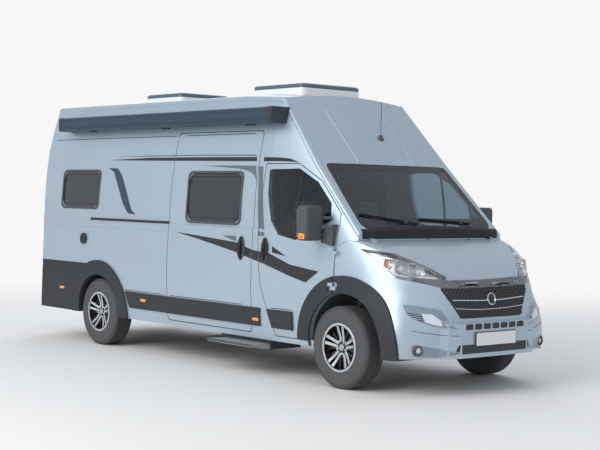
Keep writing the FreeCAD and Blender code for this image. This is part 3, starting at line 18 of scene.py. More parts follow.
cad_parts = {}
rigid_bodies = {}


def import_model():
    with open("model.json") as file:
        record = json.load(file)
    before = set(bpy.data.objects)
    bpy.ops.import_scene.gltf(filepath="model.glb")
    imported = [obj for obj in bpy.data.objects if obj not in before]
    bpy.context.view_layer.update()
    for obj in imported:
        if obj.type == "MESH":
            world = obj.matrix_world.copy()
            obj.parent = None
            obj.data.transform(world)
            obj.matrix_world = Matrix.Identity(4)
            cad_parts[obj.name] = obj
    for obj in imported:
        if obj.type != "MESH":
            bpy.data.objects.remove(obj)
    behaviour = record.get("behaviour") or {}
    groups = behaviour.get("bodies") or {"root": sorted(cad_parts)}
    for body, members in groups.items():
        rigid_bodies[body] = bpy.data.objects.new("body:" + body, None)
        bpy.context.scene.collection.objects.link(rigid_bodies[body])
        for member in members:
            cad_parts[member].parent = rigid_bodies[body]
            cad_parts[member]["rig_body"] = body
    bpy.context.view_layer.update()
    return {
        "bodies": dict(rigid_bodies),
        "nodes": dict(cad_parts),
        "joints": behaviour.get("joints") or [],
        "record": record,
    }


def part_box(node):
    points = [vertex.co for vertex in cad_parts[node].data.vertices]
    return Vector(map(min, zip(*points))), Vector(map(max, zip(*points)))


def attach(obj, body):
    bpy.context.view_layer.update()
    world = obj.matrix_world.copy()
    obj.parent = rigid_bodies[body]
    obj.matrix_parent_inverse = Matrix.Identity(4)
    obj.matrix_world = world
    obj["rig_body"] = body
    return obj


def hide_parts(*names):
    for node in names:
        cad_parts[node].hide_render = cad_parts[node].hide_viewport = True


logging.basicConfig(level=logging.INFO, format="%(message)s")
LOG = logging.getLogger("camper")

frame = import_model()
NODES = frame["nodes"]
JOINTS = {joint["name"]: joint for joint in frame["joints"]}

Point = tuple[float, float]
Colour = tuple[int, int, int]

FRONT_AXLE = Vector(JOINTS["spin_front_right"]["pos_m"])
REAR_AXLE = Vector(JOINTS["spin_rear_right"]["pos_m"])
FAR = 4.0
ROUNDING_STEPS = 2
ORIGIN = Vector((0, 0, 0))
AXLE = Vector((0, 1, 0))


def ahead(forward: float) -> float:
    """The X of a place that lies forward of the front axle by this much."""
    return FRONT_AXLE.x + forward


def linear(colour: Colour) -> tuple[float, ...]:
    """Turns a colour, as a screen shows it, into linear values with full alpha."""
    shares = [value / 255 for value in colour]
    return (*(s / 12.92 if s <= 0.04045 else ((s + 0.055) / 1.055) ** 2.4 for s in shares), 1)


# ---------------------------------------------------------------------------------------------
# Finishes


class Pattern(Enum):
    """What a finish's fine relief and shading look like."""

    FLAKE = "flake"
    GRAIN = "grain"
    BRUSHED = "brushed"
    WEAVE = "weave"
    WOOD = "wood"
    RIBBED = "ribbed"


class Tree:
    """A node tree under construction."""

    def __init__(self, tree: bpy.types.NodeTree) -> None:
        """Takes up the tree."""
        self.tree = tree

    def feed(self, node: bpy.types.Node, inputs: dict) -> None:
        """Sets or links a node's inputs, by their names or places.

        Args:
            node: the node.
            inputs: the socket or the value for each input, by its name or place.
        """
        for key, value in inputs.items():
            if isinstance(value, bpy.types.NodeSocket):
                self.tree.links.new(value, node.inputs[key])
            else:
                node.inputs[key].default_value = value

    def node(self, kind: str, inputs: dict | None = None, **settings: object) -> bpy.types.Node:
        """Adds a node.

        Args:
            kind: its type.
            inputs: the socket or the value that feeds each input, by its name or place.
            settings: its own settings.

        Returns:
            The node.
        """
        made = self.tree.nodes.new(kind)
        for key, value in settings.items():
            setattr(made, key, value)
        self.feed(made, inputs or {})
        return made

    def math(self, operation: str, *values: object) -> bpy.types.NodeSocket:
        """Adds a sum of numbers."""
        return self.node("ShaderNodeMath", dict(enumerate(values)), operation=operation).outputs[0]

    def noise(self, place: bpy.types.NodeSocket, scale: float,
              detail: float) -> bpy.types.NodeSocket:
        """Adds a noise of this scale and detail."""
        return self.node("ShaderNodeTexNoise",
                         {"Scale": scale, "Detail": detail, "Vector": place}).outputs["Fac"]


@dataclass(frozen=True)
class Finish:
    """A procedural finish. scale is its pattern's count per metre, relief its depth in metres."""

    name: str
    colour: Colour
    second: Colour
    metallic: float = 0.0
    roughness: float = 0.5
    spread: float = 0.08
    pattern: Pattern = Pattern.GRAIN
    scale: float = 900.0
    relief: float = 0.0002
    stretch: tuple[float, float, float] = (1.0, 1.0, 1.0)
    coat: float = 0.0
    transmission: float = 0.0
    ior: float = 1.45
    alpha: float = 1.0
    glow: float = 0.0
    dust: float = 0.0
    sheen: float = 0.0

    def material(self) -> bpy.types.Material:
        """The material of this finish, made once.

        Returns:
            The material, with its pattern on Object coordinates.
        """
        known = bpy.data.materials.get(self.name)
        if known is not None:
            return known
        material = bpy.data.materials.new(self.name)
        material.use_nodes = True
        self._wire(Tree(material.node_tree))
        return material

    def _wire(self, tree: Tree) -> None:
        """Builds the nodes: colour and roughness vary over the surface, and a pattern raises it.

        Args:
            tree: the material's tree.
        """
        shader = tree.tree.nodes["Principled BSDF"]
        tree.feed(shader, {
            "Metallic": self.metallic, "Coat Weight": self.coat, "Coat Roughness": 0.10,
            "Transmission Weight": self.transmission, "IOR": self.ior, "Alpha": self.alpha,
            "Sheen Weight": self.sheen})
        if self.glow:
            tree.feed(shader, {"Emission Color": linear(self.colour),
                               "Emission Strength": self.glow})
        place = tree.node("ShaderNodeTexCoord").outputs["Object"]
        mapped = tree.node("ShaderNodeMapping", {"Scale": self.stretch, "Vector": place}).outputs[0]
        broad, fine = tree.noise(mapped, 2.4, 3.0), self._relief(tree, mapped)
        blend = tree.node("ShaderNodeMix", {
            "A": linear(self.colour), "B": linear(self.second),
            "Factor": tree.math("MULTIPLY_ADD", fine, 0.55, tree.math("MULTIPLY", broad, 0.45))},
            data_type="RGBA")
        colour = blend.outputs["Result"]
        if self.dust:
            colour = self._dusted(tree, place, broad, colour)
        rough = tree.node("ShaderNodeMapRange", {
            "To Min": max(0.0, self.roughness * (1 - self.spread)),
            "To Max": min(1.0, self.roughness * (1 + self.spread)), "Value": broad})
        bump = tree.node("ShaderNodeBump", {
            "Strength": 0.6, "Distance": self.relief, "Height": fine})
        tree.feed(shader, {"Base Color": colour, "Roughness": rough.outputs["Result"],
                           "Normal": bump.outputs["Normal"]})

    def _relief(self, tree: Tree, place: bpy.types.NodeSocket) -> bpy.types.NodeSocket:
        """The pattern's height, from 0 to 1.

        Args:
            tree: the material's tree.
            place: the place that the pattern follows.

        Returns:
            The height's socket.
        """
        waves = {Pattern.WEAVE: ("X", "Z"), Pattern.WOOD: ("Z",), Pattern.RIBBED: ("X",)}
        if self.pattern not in waves:
            return tree.noise(place, self.scale, 4.0 if self.pattern == Pattern.BRUSHED else 2.0)
        result = None
        for direction in waves[self.pattern]:
            wave = tree.node("ShaderNodeTexWave", {
                "Scale": self.scale, "Distortion": 6.0 if self.pattern == Pattern.WOOD else 0.4,
                "Detail": 2.0, "Vector": place}, bands_direction=direction).outputs["Fac"]
            result = wave if result is None else tree.math("MAXIMUM", result, wave)
        return result

    def _dusted(self, tree: Tree, place: bpy.types.NodeSocket, broad: bpy.types.NodeSocket,
                colour: bpy.types.NodeSocket) -> bpy.types.NodeSocket:
        """The colour with road dust that thins out upwards from the ground.

        Args:
            tree: the material's tree.
            place: the place on the object.
            broad: the noise that breaks up the dust.
            colour: the clean colour.

        Returns:
            The dusty colour's socket.
        """
        height = tree.node("ShaderNodeSeparateXYZ", {"Vector": place}).outputs["Z"]
        fade = tree.node("ShaderNodeMapRange", {
            "From Max": 0.9, "To Min": self.dust, "To Max": 0.0, "Value": height})
        mix = tree.node("ShaderNodeMix", {
            "A": colour, "B": linear(DUST),
            "Factor": tree.math("MULTIPLY", fade.outputs["Result"], broad)}, data_type="RGBA")
        return mix.outputs["Result"]


DUST = (128, 118, 104)
PAINT = Finish("silver_blue_paint", (172, 189, 204), (180, 197, 211), metallic=0.55,
               roughness=0.38, pattern=Pattern.FLAKE, scale=1400, relief=0.00003, coat=0.30,
               dust=0.08)
CLADDING = Finish("dark_cladding", (38, 42, 48), (46, 50, 56), roughness=0.62,
                  scale=1100, relief=0.0003, dust=0.10)
DARK_PLASTIC = Finish("dark_plastic", (46, 49, 54), (56, 59, 64), roughness=0.55,
                      scale=1200, relief=0.0002)
STRIP_BLACK = Finish("strip_black", (20, 19, 25), (25, 24, 30), roughness=0.45,
                     scale=1000, relief=0.0002, dust=0.10)
BLACK_GLOSS = Finish("black_gloss", (22, 23, 25), (27, 28, 31), roughness=0.18,
                     scale=600, relief=0.00002, coat=0.5)
GUNMETAL = Finish("gunmetal_gloss", (112, 112, 118), (122, 122, 128), metallic=0.6,
                  roughness=0.28, scale=900, relief=0.00003, coat=0.3)
CHROME = Finish("chrome", (205, 208, 212), (214, 217, 220), metallic=1.0, roughness=0.10,
                scale=500, relief=0.00001)
MACHINED = Finish("machined_alloy", (203, 207, 212), (214, 218, 222), metallic=0.85,
                  roughness=0.27, pattern=Pattern.BRUSHED, scale=900, relief=0.00004,
                  stretch=(1.0, 0.1, 1.0))
WHEEL_BLACK = Finish("wheel_black", (26, 27, 30), (34, 35, 38), metallic=0.2,
                     roughness=0.35, scale=800, relief=0.00004, coat=0.3, dust=0.10)
ALUMINIUM = Finish("anodised_aluminium", (190, 194, 198), (203, 206, 209), metallic=0.8,
                   roughness=0.36, pattern=Pattern.BRUSHED, scale=700, relief=0.00005,
                   stretch=(0.05, 1.0, 1.0))
STEEL = Finish("coated_steel", (52, 54, 57), (64, 66, 69), metallic=0.3, roughness=0.6,
               scale=300, relief=0.0004, dust=0.5)
CAST = Finish("cast_metal", (88, 88, 88), (70, 70, 71), metallic=0.5, roughness=0.7,
              scale=260, relief=0.0008, dust=0.3)
RUBBER = Finish("tyre_rubber", (70, 72, 75), (82, 84, 87), roughness=0.78, scale=420,
                relief=0.0003, dust=0.12)
SEAL = Finish("seal_rubber", (17, 18, 19), (24, 25, 26), roughness=0.7, scale=700,
              relief=0.0002)
GLASS = Finish("tinted_glass", (150, 170, 182), (158, 178, 190), roughness=0.02,
               scale=3, relief=0.0, transmission=1.0, ior=1.2, coat=0.6)
DARK_GLASS = Finish("dark_acrylic", (30, 35, 41), (36, 41, 47), roughness=0.10, scale=4,
                    relief=0.00005, coat=0.7)
CLEAR = Finish("clear_lens", (238, 241, 244), (243, 246, 248), roughness=0.02, scale=4,
               relief=0.0, transmission=1.0, ior=1.12, coat=0.6, alpha=0.45)
REFLECTOR = Finish("reflector", (224, 227, 231), (235, 238, 241), metallic=0.9,
                   roughness=0.16, scale=220, relief=0.0002)
LAMP_GREY = Finish("lamp_housing", (168, 172, 178), (182, 186, 192), metallic=0.6,
                   roughness=0.25, scale=500, relief=0.0001)
# Darker paint for the bumper's body-coloured scoops: painted shade in their hollows.
SCOOP_PAINTED_SHADE = Finish("paint_in_scoops", (128, 144, 160), (138, 154, 169), metallic=0.35,
                     roughness=0.36, pattern=Pattern.FLAKE, scale=1400, relief=0.00003, coat=0.55)
RED_LENS = Finish("red_lens", (172, 22, 26), (196, 34, 36), roughness=0.14,
                  pattern=Pattern.RIBBED, scale=40, relief=0.0004, coat=0.6, stretch=(0.0, 1.0,
                                                                                      1.0))
AMBER = Finish("amber_lens", (240, 134, 22), (250, 158, 42), roughness=0.2,
               pattern=Pattern.RIBBED, scale=50, relief=0.0004, coat=0.5, glow=0.15)
WHITE_LENS = Finish("white_lens", (226, 230, 232), (238, 240, 242), roughness=0.16,
                    scale=160, relief=0.0003, coat=0.5)
AWNING_GREY = Finish("awning_anthracite", (50, 70, 88), (57, 77, 95), metallic=0.35,
                     roughness=0.42, scale=1000, relief=0.0001)
AWNING_DARK = Finish("awning_cap", (42, 50, 60), (50, 58, 68), roughness=0.5, scale=900,
                     relief=0.0002)
WHITE_PLASTIC = Finish("white_plastic", (214, 219, 224), (224, 228, 232), roughness=0.4,
                       scale=600, relief=0.0001)
HATCH_GREY = Finish("hatch_dome", (66, 90, 108), (78, 102, 120), roughness=0.2, scale=6,
                    relief=0.0001, coat=0.5)
PLATE_WHITE = Finish("plate_white", (222, 224, 226), (230, 232, 233), roughness=0.35,
                     scale=300, relief=0.0001)
SEAT_CLOTH = Finish("seat_cloth", (150, 156, 160), (126, 132, 137), roughness=0.9,
                    pattern=Pattern.WEAVE, scale=260, relief=0.0006, sheen=0.3)
SEAT_SIDE = Finish("seat_side_cloth", (78, 84, 90), (66, 72, 78), roughness=0.9,
                   pattern=Pattern.WEAVE, scale=300, relief=0.0006, sheen=0.3)
DASH = Finish("dash_plastic", (50, 55, 60), (60, 65, 70), roughness=0.6, scale=700,
              relief=0.0004)
WOOD = Finish("light_wood", (186, 158, 126), (158, 128, 98), roughness=0.5,
              pattern=Pattern.WOOD, scale=9, relief=0.0002, stretch=(1.0, 1.0, 0.15))
CREAM = Finish("cream_panel", (222, 218, 208), (231, 227, 218), roughness=0.55, scale=500,
               relief=0.0001)
MATTRESS = Finish("mattress_cloth", (214, 210, 202), (196, 191, 182), roughness=0.92,
                  pattern=Pattern.WEAVE, scale=220, relief=0.0008, sheen=0.3)
FLOOR_BOARD = Finish("floor_board", (110, 100, 90), (92, 83, 74), roughness=0.6,
                     pattern=Pattern.WOOD, scale=7, relief=0.0002, stretch=(0.15, 1.0,
                                                                            1.0), dust=0.3)
DECAL_DARK = Finish("decal_dark", (26, 29, 36), (31, 34, 41), roughness=0.35, scale=900,
                    relief=0.00002, coat=0.3)
DECAL_GREY = Finish("decal_grey", (97, 108, 118), (104, 115, 125), metallic=0.3,
                    roughness=0.38, scale=900, relief=0.00002, coat=0.3)
DECAL_BLUE = Finish("decal_blue", (36, 58, 84), (42, 64, 90), metallic=0.2,
                    roughness=0.38, scale=900, relief=0.00002, coat=0.3)

NODE_FINISHES = {
    name: finish for finish, names in (
        (DARK_PLASTIC, "antenna mirror_left mirror_right steering_wheel wheel_houses"),
        (AWNING_GREY, "awning"),
        (PAINT, "bonnet cab_frame door_front_left door_front_right door_rear_left "
                "door_rear_right fenders front_bumper roof side_left side_right sliding_door"),
        (STRIP_BLACK, "cowl"),
        (DASH, "dashboard"),
        (GLASS, "door_glass_left door_glass_right windscreen"),
        (CLADDING, "door_trim_left door_trim_right rear_bumper side_trim"),
        (CAST, "engine_block knuckle_left knuckle_right"),
        (ALUMINIUM, "entrance_step"),
        (FLOOR_BOARD, "floor"),
        (SEAT_CLOTH, "front_seats"),
        (WOOD, "furniture"),
        (BLACK_GLOSS, "grille"),
        (WHITE_PLASTIC, "hatch_frames"),
        (HATCH_GREY, "hatch_lid_front hatch_lid_rear"),
        (LAMP_GREY, "headlamps"),
        (MATTRESS, "mattress"),
        (STEEL, "rear_axle step_housing tanks underframe"),
        (DARK_GLASS, "rear_glass_left rear_glass_right side_windows"),
        (WHEEL_BLACK, "rim_front_left rim_front_right rim_rear_left rim_rear_right"),
        (RED_LENS, "tail_lamps"),
        (RUBBER, "tyre_front_left tyre_front_right tyre_rear_left tyre_rear_right"))
    for name in names.split()}


def dress_nodes() -> None:
    """Gives every node of the solids its procedural finish."""
    for name, node in NODES.items():
        finish: Finish = NODE_FINISHES[name]
        for place in node.material_slots:
            place.material = finish.material()
        LOG.info("node %s: %s", name, finish.name)


# ---------------------------------------------------------------------------------------------
# The photograph's camera, and the skin that its rays meet


@dataclass(frozen=True)
class PhotoCamera:
    """The camera that the photograph was taken with, fitted to the van's known places."""

    place: Vector = Vector((10.9955, -8.973, 1.737))
    yaw: float = 139.54
    pitch: float = -1.34
    roll: float = 1.15
    focal_pixels: float = 1328.6
    width: int = 600
    height: int = 450
    sensor: float = 36.0

    def axes(self) -> tuple[Vector, Vector, Vector]:
        """The directions to the right of the picture, to its top and into it.

        Returns:
            The three directions, in that order.
        """
        yaw, pitch, roll = (math.radians(a) for a in (self.yaw, self.pitch, self.roll))
        ahead_of = Vector((math.cos(yaw) * math.cos(pitch), math.sin(yaw) * math.cos(pitch),
                           math.sin(pitch)))
        right = ahead_of.cross(Vector((0, 0, 1))).normalized()
        top = right.cross(ahead_of)
        return (right * math.cos(roll) + top * math.sin(roll),
                top * math.cos(roll) - right * math.sin(roll), ahead_of)

    def ray(self, pixel: Point) -> tuple[Vector, Vector]:
        """The camera's place, and the direction from it through a pixel of the photograph.

        Args:
            pixel: the pixel, from the picture's upper left corner.

        Returns:
            The start and the direction.
        """
        right, top, into = self.axes()
        across = (pixel[0] - self.width / 2) / self.focal_pixels
        down = (pixel[1] - self.height / 2) / self.focal_pixels
        return self.place, (into + right * across - top * down).normalized()

    def build(self) -> bpy.types.Object:
        """Makes the scene's camera.

        Returns:
            The camera object, set as the scene's camera.
        """
        right, top, into = self.axes()
        data = bpy.data.cameras.new("photo_camera")
        data.sensor_width = self.sensor
        data.lens = self.focal_pixels * self.sensor / self.width
        data.clip_end = 200.0
        camera = bpy.data.objects.new("photo_camera", data)
        turn = Matrix((right, top, -into)).transposed().to_4x4()
        camera.matrix_world = Matrix.Translation(self.place) @ turn
        bpy.context.scene.collection.objects.link(camera)
        bpy.context.scene.camera = camera
        return camera


CAMERA = PhotoCamera()


class Skin:
    """The surface of some nodes, that rays are cast onto."""

    def __init__(self, *names: str) -> None:
        """Joins the meshes of the named nodes.

        Args:
            names: the names of the nodes whose faces the skin has.
        """
        points: list[Vector] = []
        faces: list[tuple[int, ...]] = []
        self.owners: list[str] = []
        for name in names:
            mesh = NODES[name].data
            start = len(points)
            points += [v.co.copy() for v in mesh.vertices]
            for polygon in mesh.polygons:
                faces.append(tuple(start + i for i in polygon.vertices))
                self.owners.append(name)
        self.tree = BVHTree.FromPolygons(points, faces)

    def hit(self, start: Vector, way: Vector) -> tuple[Vector, Vector, str] | None:
        """Casts a ray.

        Args:
            start: where the ray starts.
            way: its direction.

        Returns:
            The place met, the outward normal there and the node's name, or None.
        """
        place, normal, index, _ = self.tree.ray_cast(start, way)
        if place is None:
            return None
        if normal.dot(way) > 0:
            normal = -normal
        return place, normal, self.owners[index]

    def seen(self, pixel: Point) -> Vector:
        """The place on the skin that a pixel of the photograph shows.

        Args:
            pixel: the pixel, from the picture's upper left corner.

        Returns:
            The place.
        """
        met = self.hit(*CAMERA.ray(pixel))
        if met is None:
            raise ValueError(f"the ray through pixel {pixel} misses the skin")
        return met[0]


class Facing(Enum):
    """The way in which a ray is cast onto the skin, and the two axes of an outline."""

    RIGHT = ("y", 1.0)
    LEFT = ("y", -1.0)
    FRONT = ("x", -1.0)
    REAR = ("x", 1.0)
    TOP = ("z", -1.0)

    def start(self, place: Point) -> Vector:
        """Where a ray for this place of the outline starts.

        Args:
            place: the place, along the two axes of the outline.

        Returns:
            The start.
        """
        axis, sign = self.value
        if axis == "y":
            return Vector((place[0], -sign * FAR, place[1]))
        if axis == "x":
            return Vector((-sign * FAR, place[0], place[1]))
        return Vector((place[0], place[1], -sign * FAR))

    def way(self) -> Vector:
        """The direction of the rays."""
        axis, sign = self.value
        return Vector([sign if axis == a else 0.0 for a in "xyz"])

    def ray(self, place: Point) -> tuple[Vector, Vector]:
        """The start and the direction of the ray for a place of the outline."""
        return self.start(place), self.way()


# ---------------------------------------------------------------------------------------------
# Mesh building


def body_of_node(name: str) -> str:
    """The body that a node rides on."""
    return NODES[name]["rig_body"]


class Shape:
    """A mesh under construction."""

    def __init__(self) -> None:
        """Starts an empty mesh."""
        self.mesh = bmesh.new()

    def loft(self, rings: list[list[Vector]], caps: bool = True, closed: bool = False) -> "Shape":
        """Joins rings of equally many points, one after the other.

        Args:
            rings: the rings, each a closed loop of points.
            caps: whether the first and last rings are filled.
            closed: whether the last ring joins the first.

        Returns:
            This shape.
        """
        made = [[self.mesh.verts.new(p) for p in ring] for ring in rings]
        pairs = list(zip(made, made[1:])) + ([(made[-1], made[0])] if closed else [])
        for low, high in pairs:
            for i in range(len(low)):
                j = (i + 1) % len(low)
                self.mesh.faces.new((low[i], low[j], high[j], high[i]))
        if caps and not closed:
            self.mesh.faces.new(list(reversed(made[0])))
            self.mesh.faces.new(made[-1])
        return self

    def slab(self, outline: list[Vector], depth: Vector) -> "Shape":
        """A plate: an outline drawn along a vector."""
        return self.loft([outline, [p + depth for p in outline]])

    def box(self, low: tuple[float, float, float], high: tuple[float, float, float]) -> "Shape":
        """A box between two corners.

        Args:
            low: its lowest corner.
            high: its highest corner.

        Returns:
            This shape.
        """
        x0, y0, z0 = low
        x1, y1, z1 = high
        return self.slab([Vector((x0, y0, z0)), Vector((x1, y0, z0)), Vector((x1, y1, z0)),
                          Vector((x0, y1, z0))], Vector((0, 0, z1 - z0)))

    def pipe(self, path: list[Vector], radius: float, sides: int = 12,
             closed: bool = False, flat: float = 1.0) -> "Shape":
        """A round bar along a path.

        Args:
            path: the places on its middle line.
            radius: its radius.
            sides: how many sides the bar has.
            closed: whether the path is a loop.
            flat: the share of the radius across the path's first normal.

        Returns:
            This shape.
        """
        rings = []
        count = len(path)
        normal = None
        for i, place in enumerate(path):
            after = path[(i + 1) % count] if closed or i + 1 < count else path[i]
            before = path[i - 1] if closed or i else path[i]
            along = (after - before).normalized()
            if normal is None:
                up = Vector((0, 0, 1)) if abs(along.z) < 0.9 else Vector((1, 0, 0))
                normal = (up - along * up.dot(along)).normalized()
            else:
                normal = (normal - along * normal.dot(along)).normalized()
            across = along.cross(normal)
            rings.append([place + normal * (radius * flat * math.cos(2 * math.pi * k / sides))
                          + across * (radius * math.sin(2 * math.pi * k / sides))
                          for k in range(sides)])
        return self.loft(rings, caps=not closed, closed=closed)

    def turned(self, profile: list[Point], centre: Vector, axis: Vector,
               steps: int = 48) -> "Shape":
        """A turned form.

        Args:
            profile: a closed outline of (radius, place along the axis).
            centre: the origin of the axis.
            axis: its direction.
            steps: how many steps go round.

        Returns:
            This shape.
        """
        axis = axis.normalized()
        side = axis.orthogonal().normalized()
        other = axis.cross(side)
        rings = []
        for k in range(steps):
            angle = 2 * math.pi * k / steps
            out = side * math.cos(angle) + other * math.sin(angle)
            rings.append([centre + out * r + axis * a for r, a in profile])
        return self.loft(rings, caps=False, closed=True)

    def join(self, other: "Shape") -> "Shape":
        """Adds a copy of another shape.

        Args:
            other: the shape to copy.

        Returns:
            This shape.
        """
        mesh = bpy.data.meshes.new("joined")
        other.mesh.to_mesh(mesh)
        self.mesh.from_mesh(mesh)
        bpy.data.meshes.remove(mesh)
        return self

    def mirrored(self) -> "Shape":
        """This shape on the van's other side.

        Returns:
            A shape of its own.
        """
        other = Shape()
        other.mesh = self.mesh.copy()
        bmesh.ops.scale(other.mesh, vec=(1, -1, 1), verts=other.mesh.verts)
        bmesh.ops.reverse_faces(other.mesh, faces=other.mesh.faces)
        return other

    def plain(self, name: str) -> bpy.types.Mesh:
        """The shape as a plain mesh, merged and turned outwards. This uses the shape up.

        Args:
            name: the mesh's name.

        Returns:
            The mesh.
        """
        bmesh.ops.remove_doubles(self.mesh, verts=self.mesh.verts, dist=1e-6)
        bmesh.ops.recalc_face_normals(self.mesh, faces=self.mesh.faces)
        mesh = bpy.data.meshes.new(name)
        self.mesh.to_mesh(mesh)
        self.mesh.free()
        return mesh

    def piece(self, name: str, finish: Finish, body: str, bevel: float = 0.0,
              crease: float = 35.0) -> bpy.types.Object:
        """Turns the shape into a piece of the van.

        Args:
            name: the piece's name.
            finish: its finish.
            body: the body that it rides on.
            bevel: the radius of its rounded edges, or 0.
            crease: the angle in degrees from which an edge stays sharp.

        Returns:
            The piece.
        """
        return ride_mesh(name, self.plain(name), finish, body, bevel, crease)


def ride_mesh(name: str, mesh: bpy.types.Mesh, finish: Finish, body: str, bevel: float = 0.0,
              crease: float = 35.0) -> bpy.types.Object:
    """Makes a piece of a finished mesh, which rides on a body.

    Args:
        name: the piece's name.
        mesh: the finished mesh.
        finish: the finish.
        body: the body that the piece rides on.
        bevel: how far its edges are rounded.
        crease: the angle in degrees from which an edge stays sharp.

    Returns:
        The piece.
    """
    piece = bpy.data.objects.new(name, mesh)
    bpy.context.scene.collection.objects.link(piece)
    mesh.materials.clear()
    mesh.materials.append(finish.material())
    mesh.shade_smooth()
    mesh.set_sharp_from_angle(angle=math.radians(crease))
    if bevel:
        rounding = piece.modifiers.new("rounding", "BEVEL")
        rounding.width = bevel
        rounding.segments = ROUNDING_STEPS
        rounding.limit_method = "ANGLE"
        rounding.angle_limit = math.radians(crease)
        rounding.harden_normals = False
    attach(piece, body)
    LOG.info("piece %s on %s: %s, %d faces", name, body, finish.name, len(mesh.polygons))
    return piece


def evaluated(item: bpy.types.Object) -> bpy.types.Mesh:
    """The plain mesh that an object's modifiers give."""
    graph = bpy.context.evaluated_depsgraph_get()
    return bpy.data.meshes.new_from_object(item.evaluated_get(graph), depsgraph=graph)


# ---------------------------------------------------------------------------------------------
# Sheets that lie on the skin


@dataclass
class Sheet:
    """A face set on the skin: its places, the skin's normals there and its loops."""

    places: list[Vector] = field(default_factory=list)
    normals: list[Vector] = field(default_factory=list)
    loops: list[list[int]] = field(default_factory=list)

    def rim(self) -> list[tuple[int, int]]:
        """The edges that only one loop has, in that loop's order."""
        edges = {(a, b) for loop in self.loops for a, b in zip(loop, loop[1:] + loop[:1])}
        return [(a, b) for a, b in edges if (b, a) not in edges]

    def solid(self, lift: float, thick: float) -> Shape:
        """A thin closed solid on the skin.

        Args:
            lift: how far its outer face stands off the skin.
            thick: its thickness.

        Returns:
            The solid.
        """
        high = [p + n * lift for p, n in zip(self.places, self.normals)]
        low = [p + n * (lift - thick) for p, n in zip(self.places, self.normals)]
        shape = Shape()
        tops, feet = ([shape.mesh.verts.new(p) for p in layer] for layer in (high, low))
        for loop in self.loops:
            shape.mesh.faces.new([tops[i] for i in loop])
            shape.mesh.faces.new([feet[i] for i in reversed(loop)])
        for a, b in self.rim():
            shape.mesh.faces.new((tops[b], tops[a], feet[a], feet[b]))
        return shape

    def bowl(self, drop: float, depth: Vector, wall: float) -> Shape:
        """A housing that opens to the skin.

        Args:
            drop: how far its rim lies under the skin.
            depth: from the rim to its floor.
            wall: the thickness of its wall.

        Returns:
            The housing as a closed solid.
        """
        inward = [Vector((0, 0, 0)) for _ in self.places]
        for a, b in self.rim():
            along = self.places[b] - self.places[a]
            side = self.normals[a].cross(along)
            if side.length > 1e-9:
                inward[a] += side.normalized()
                inward[b] += side.normalized()
        inward = [v.normalized() * wall if v.length > 1e-6 else v for v in inward]
        rim = [p - n * drop for p, n in zip(self.places, self.normals)]
        tops = [p + w for p, w in zip(rim, inward)]
        floor = [p + depth + w * 3 for p, w in zip(rim, inward)]
        under = [p + depth.normalized() * wall - w for p, w in zip(floor, inward)]
        shape = Shape()
        made = [[shape.mesh.verts.new(p) for p in ring] for ring in (rim, tops, floor, under)]
        for loop in self.loops:
            shape.mesh.faces.new([made[2][i] for i in loop])
            shape.mesh.faces.new([made[3][i] for i in reversed(loop)])
        for a, b in self.rim():
            for first, second in ((0, 1), (1, 2), (3, 0)):
                shape.mesh.faces.new((made[first][a], made[first][b], made[second][b],
                                      made[second][a]))
        loose = [v for v in shape.mesh.verts if not v.link_faces]
        bmesh.ops.delete(shape.mesh, geom=loose, context="VERTS")
        return shape


def outer_sheet(name: str, way: Vector, limit: float) -> Sheet:
    """The outer faces of a node, as a sheet.

    Args:
        name: the node.
        way: the direction that the outer faces look in.
        limit: the least cosine between a face's normal and way.

    Returns:
        The sheet.
    """
    mesh = bmesh.new()
    mesh.from_mesh(NODES[name].data)
    bmesh.ops.remove_doubles(mesh, verts=mesh.verts, dist=1e-5)
    mesh.normal_update()
    wrong = [f for f in mesh.faces if f.normal.dot(way) < limit]
    bmesh.ops.delete(mesh, geom=wrong, context="FACES")
    mesh.verts.index_update()
    sheet = Sheet([v.co.copy() for v in mesh.verts], [v.normal.copy() for v in mesh.verts],
                  [[v.index for v in f.verts] for f in mesh.faces])
    mesh.free()
    return sheet


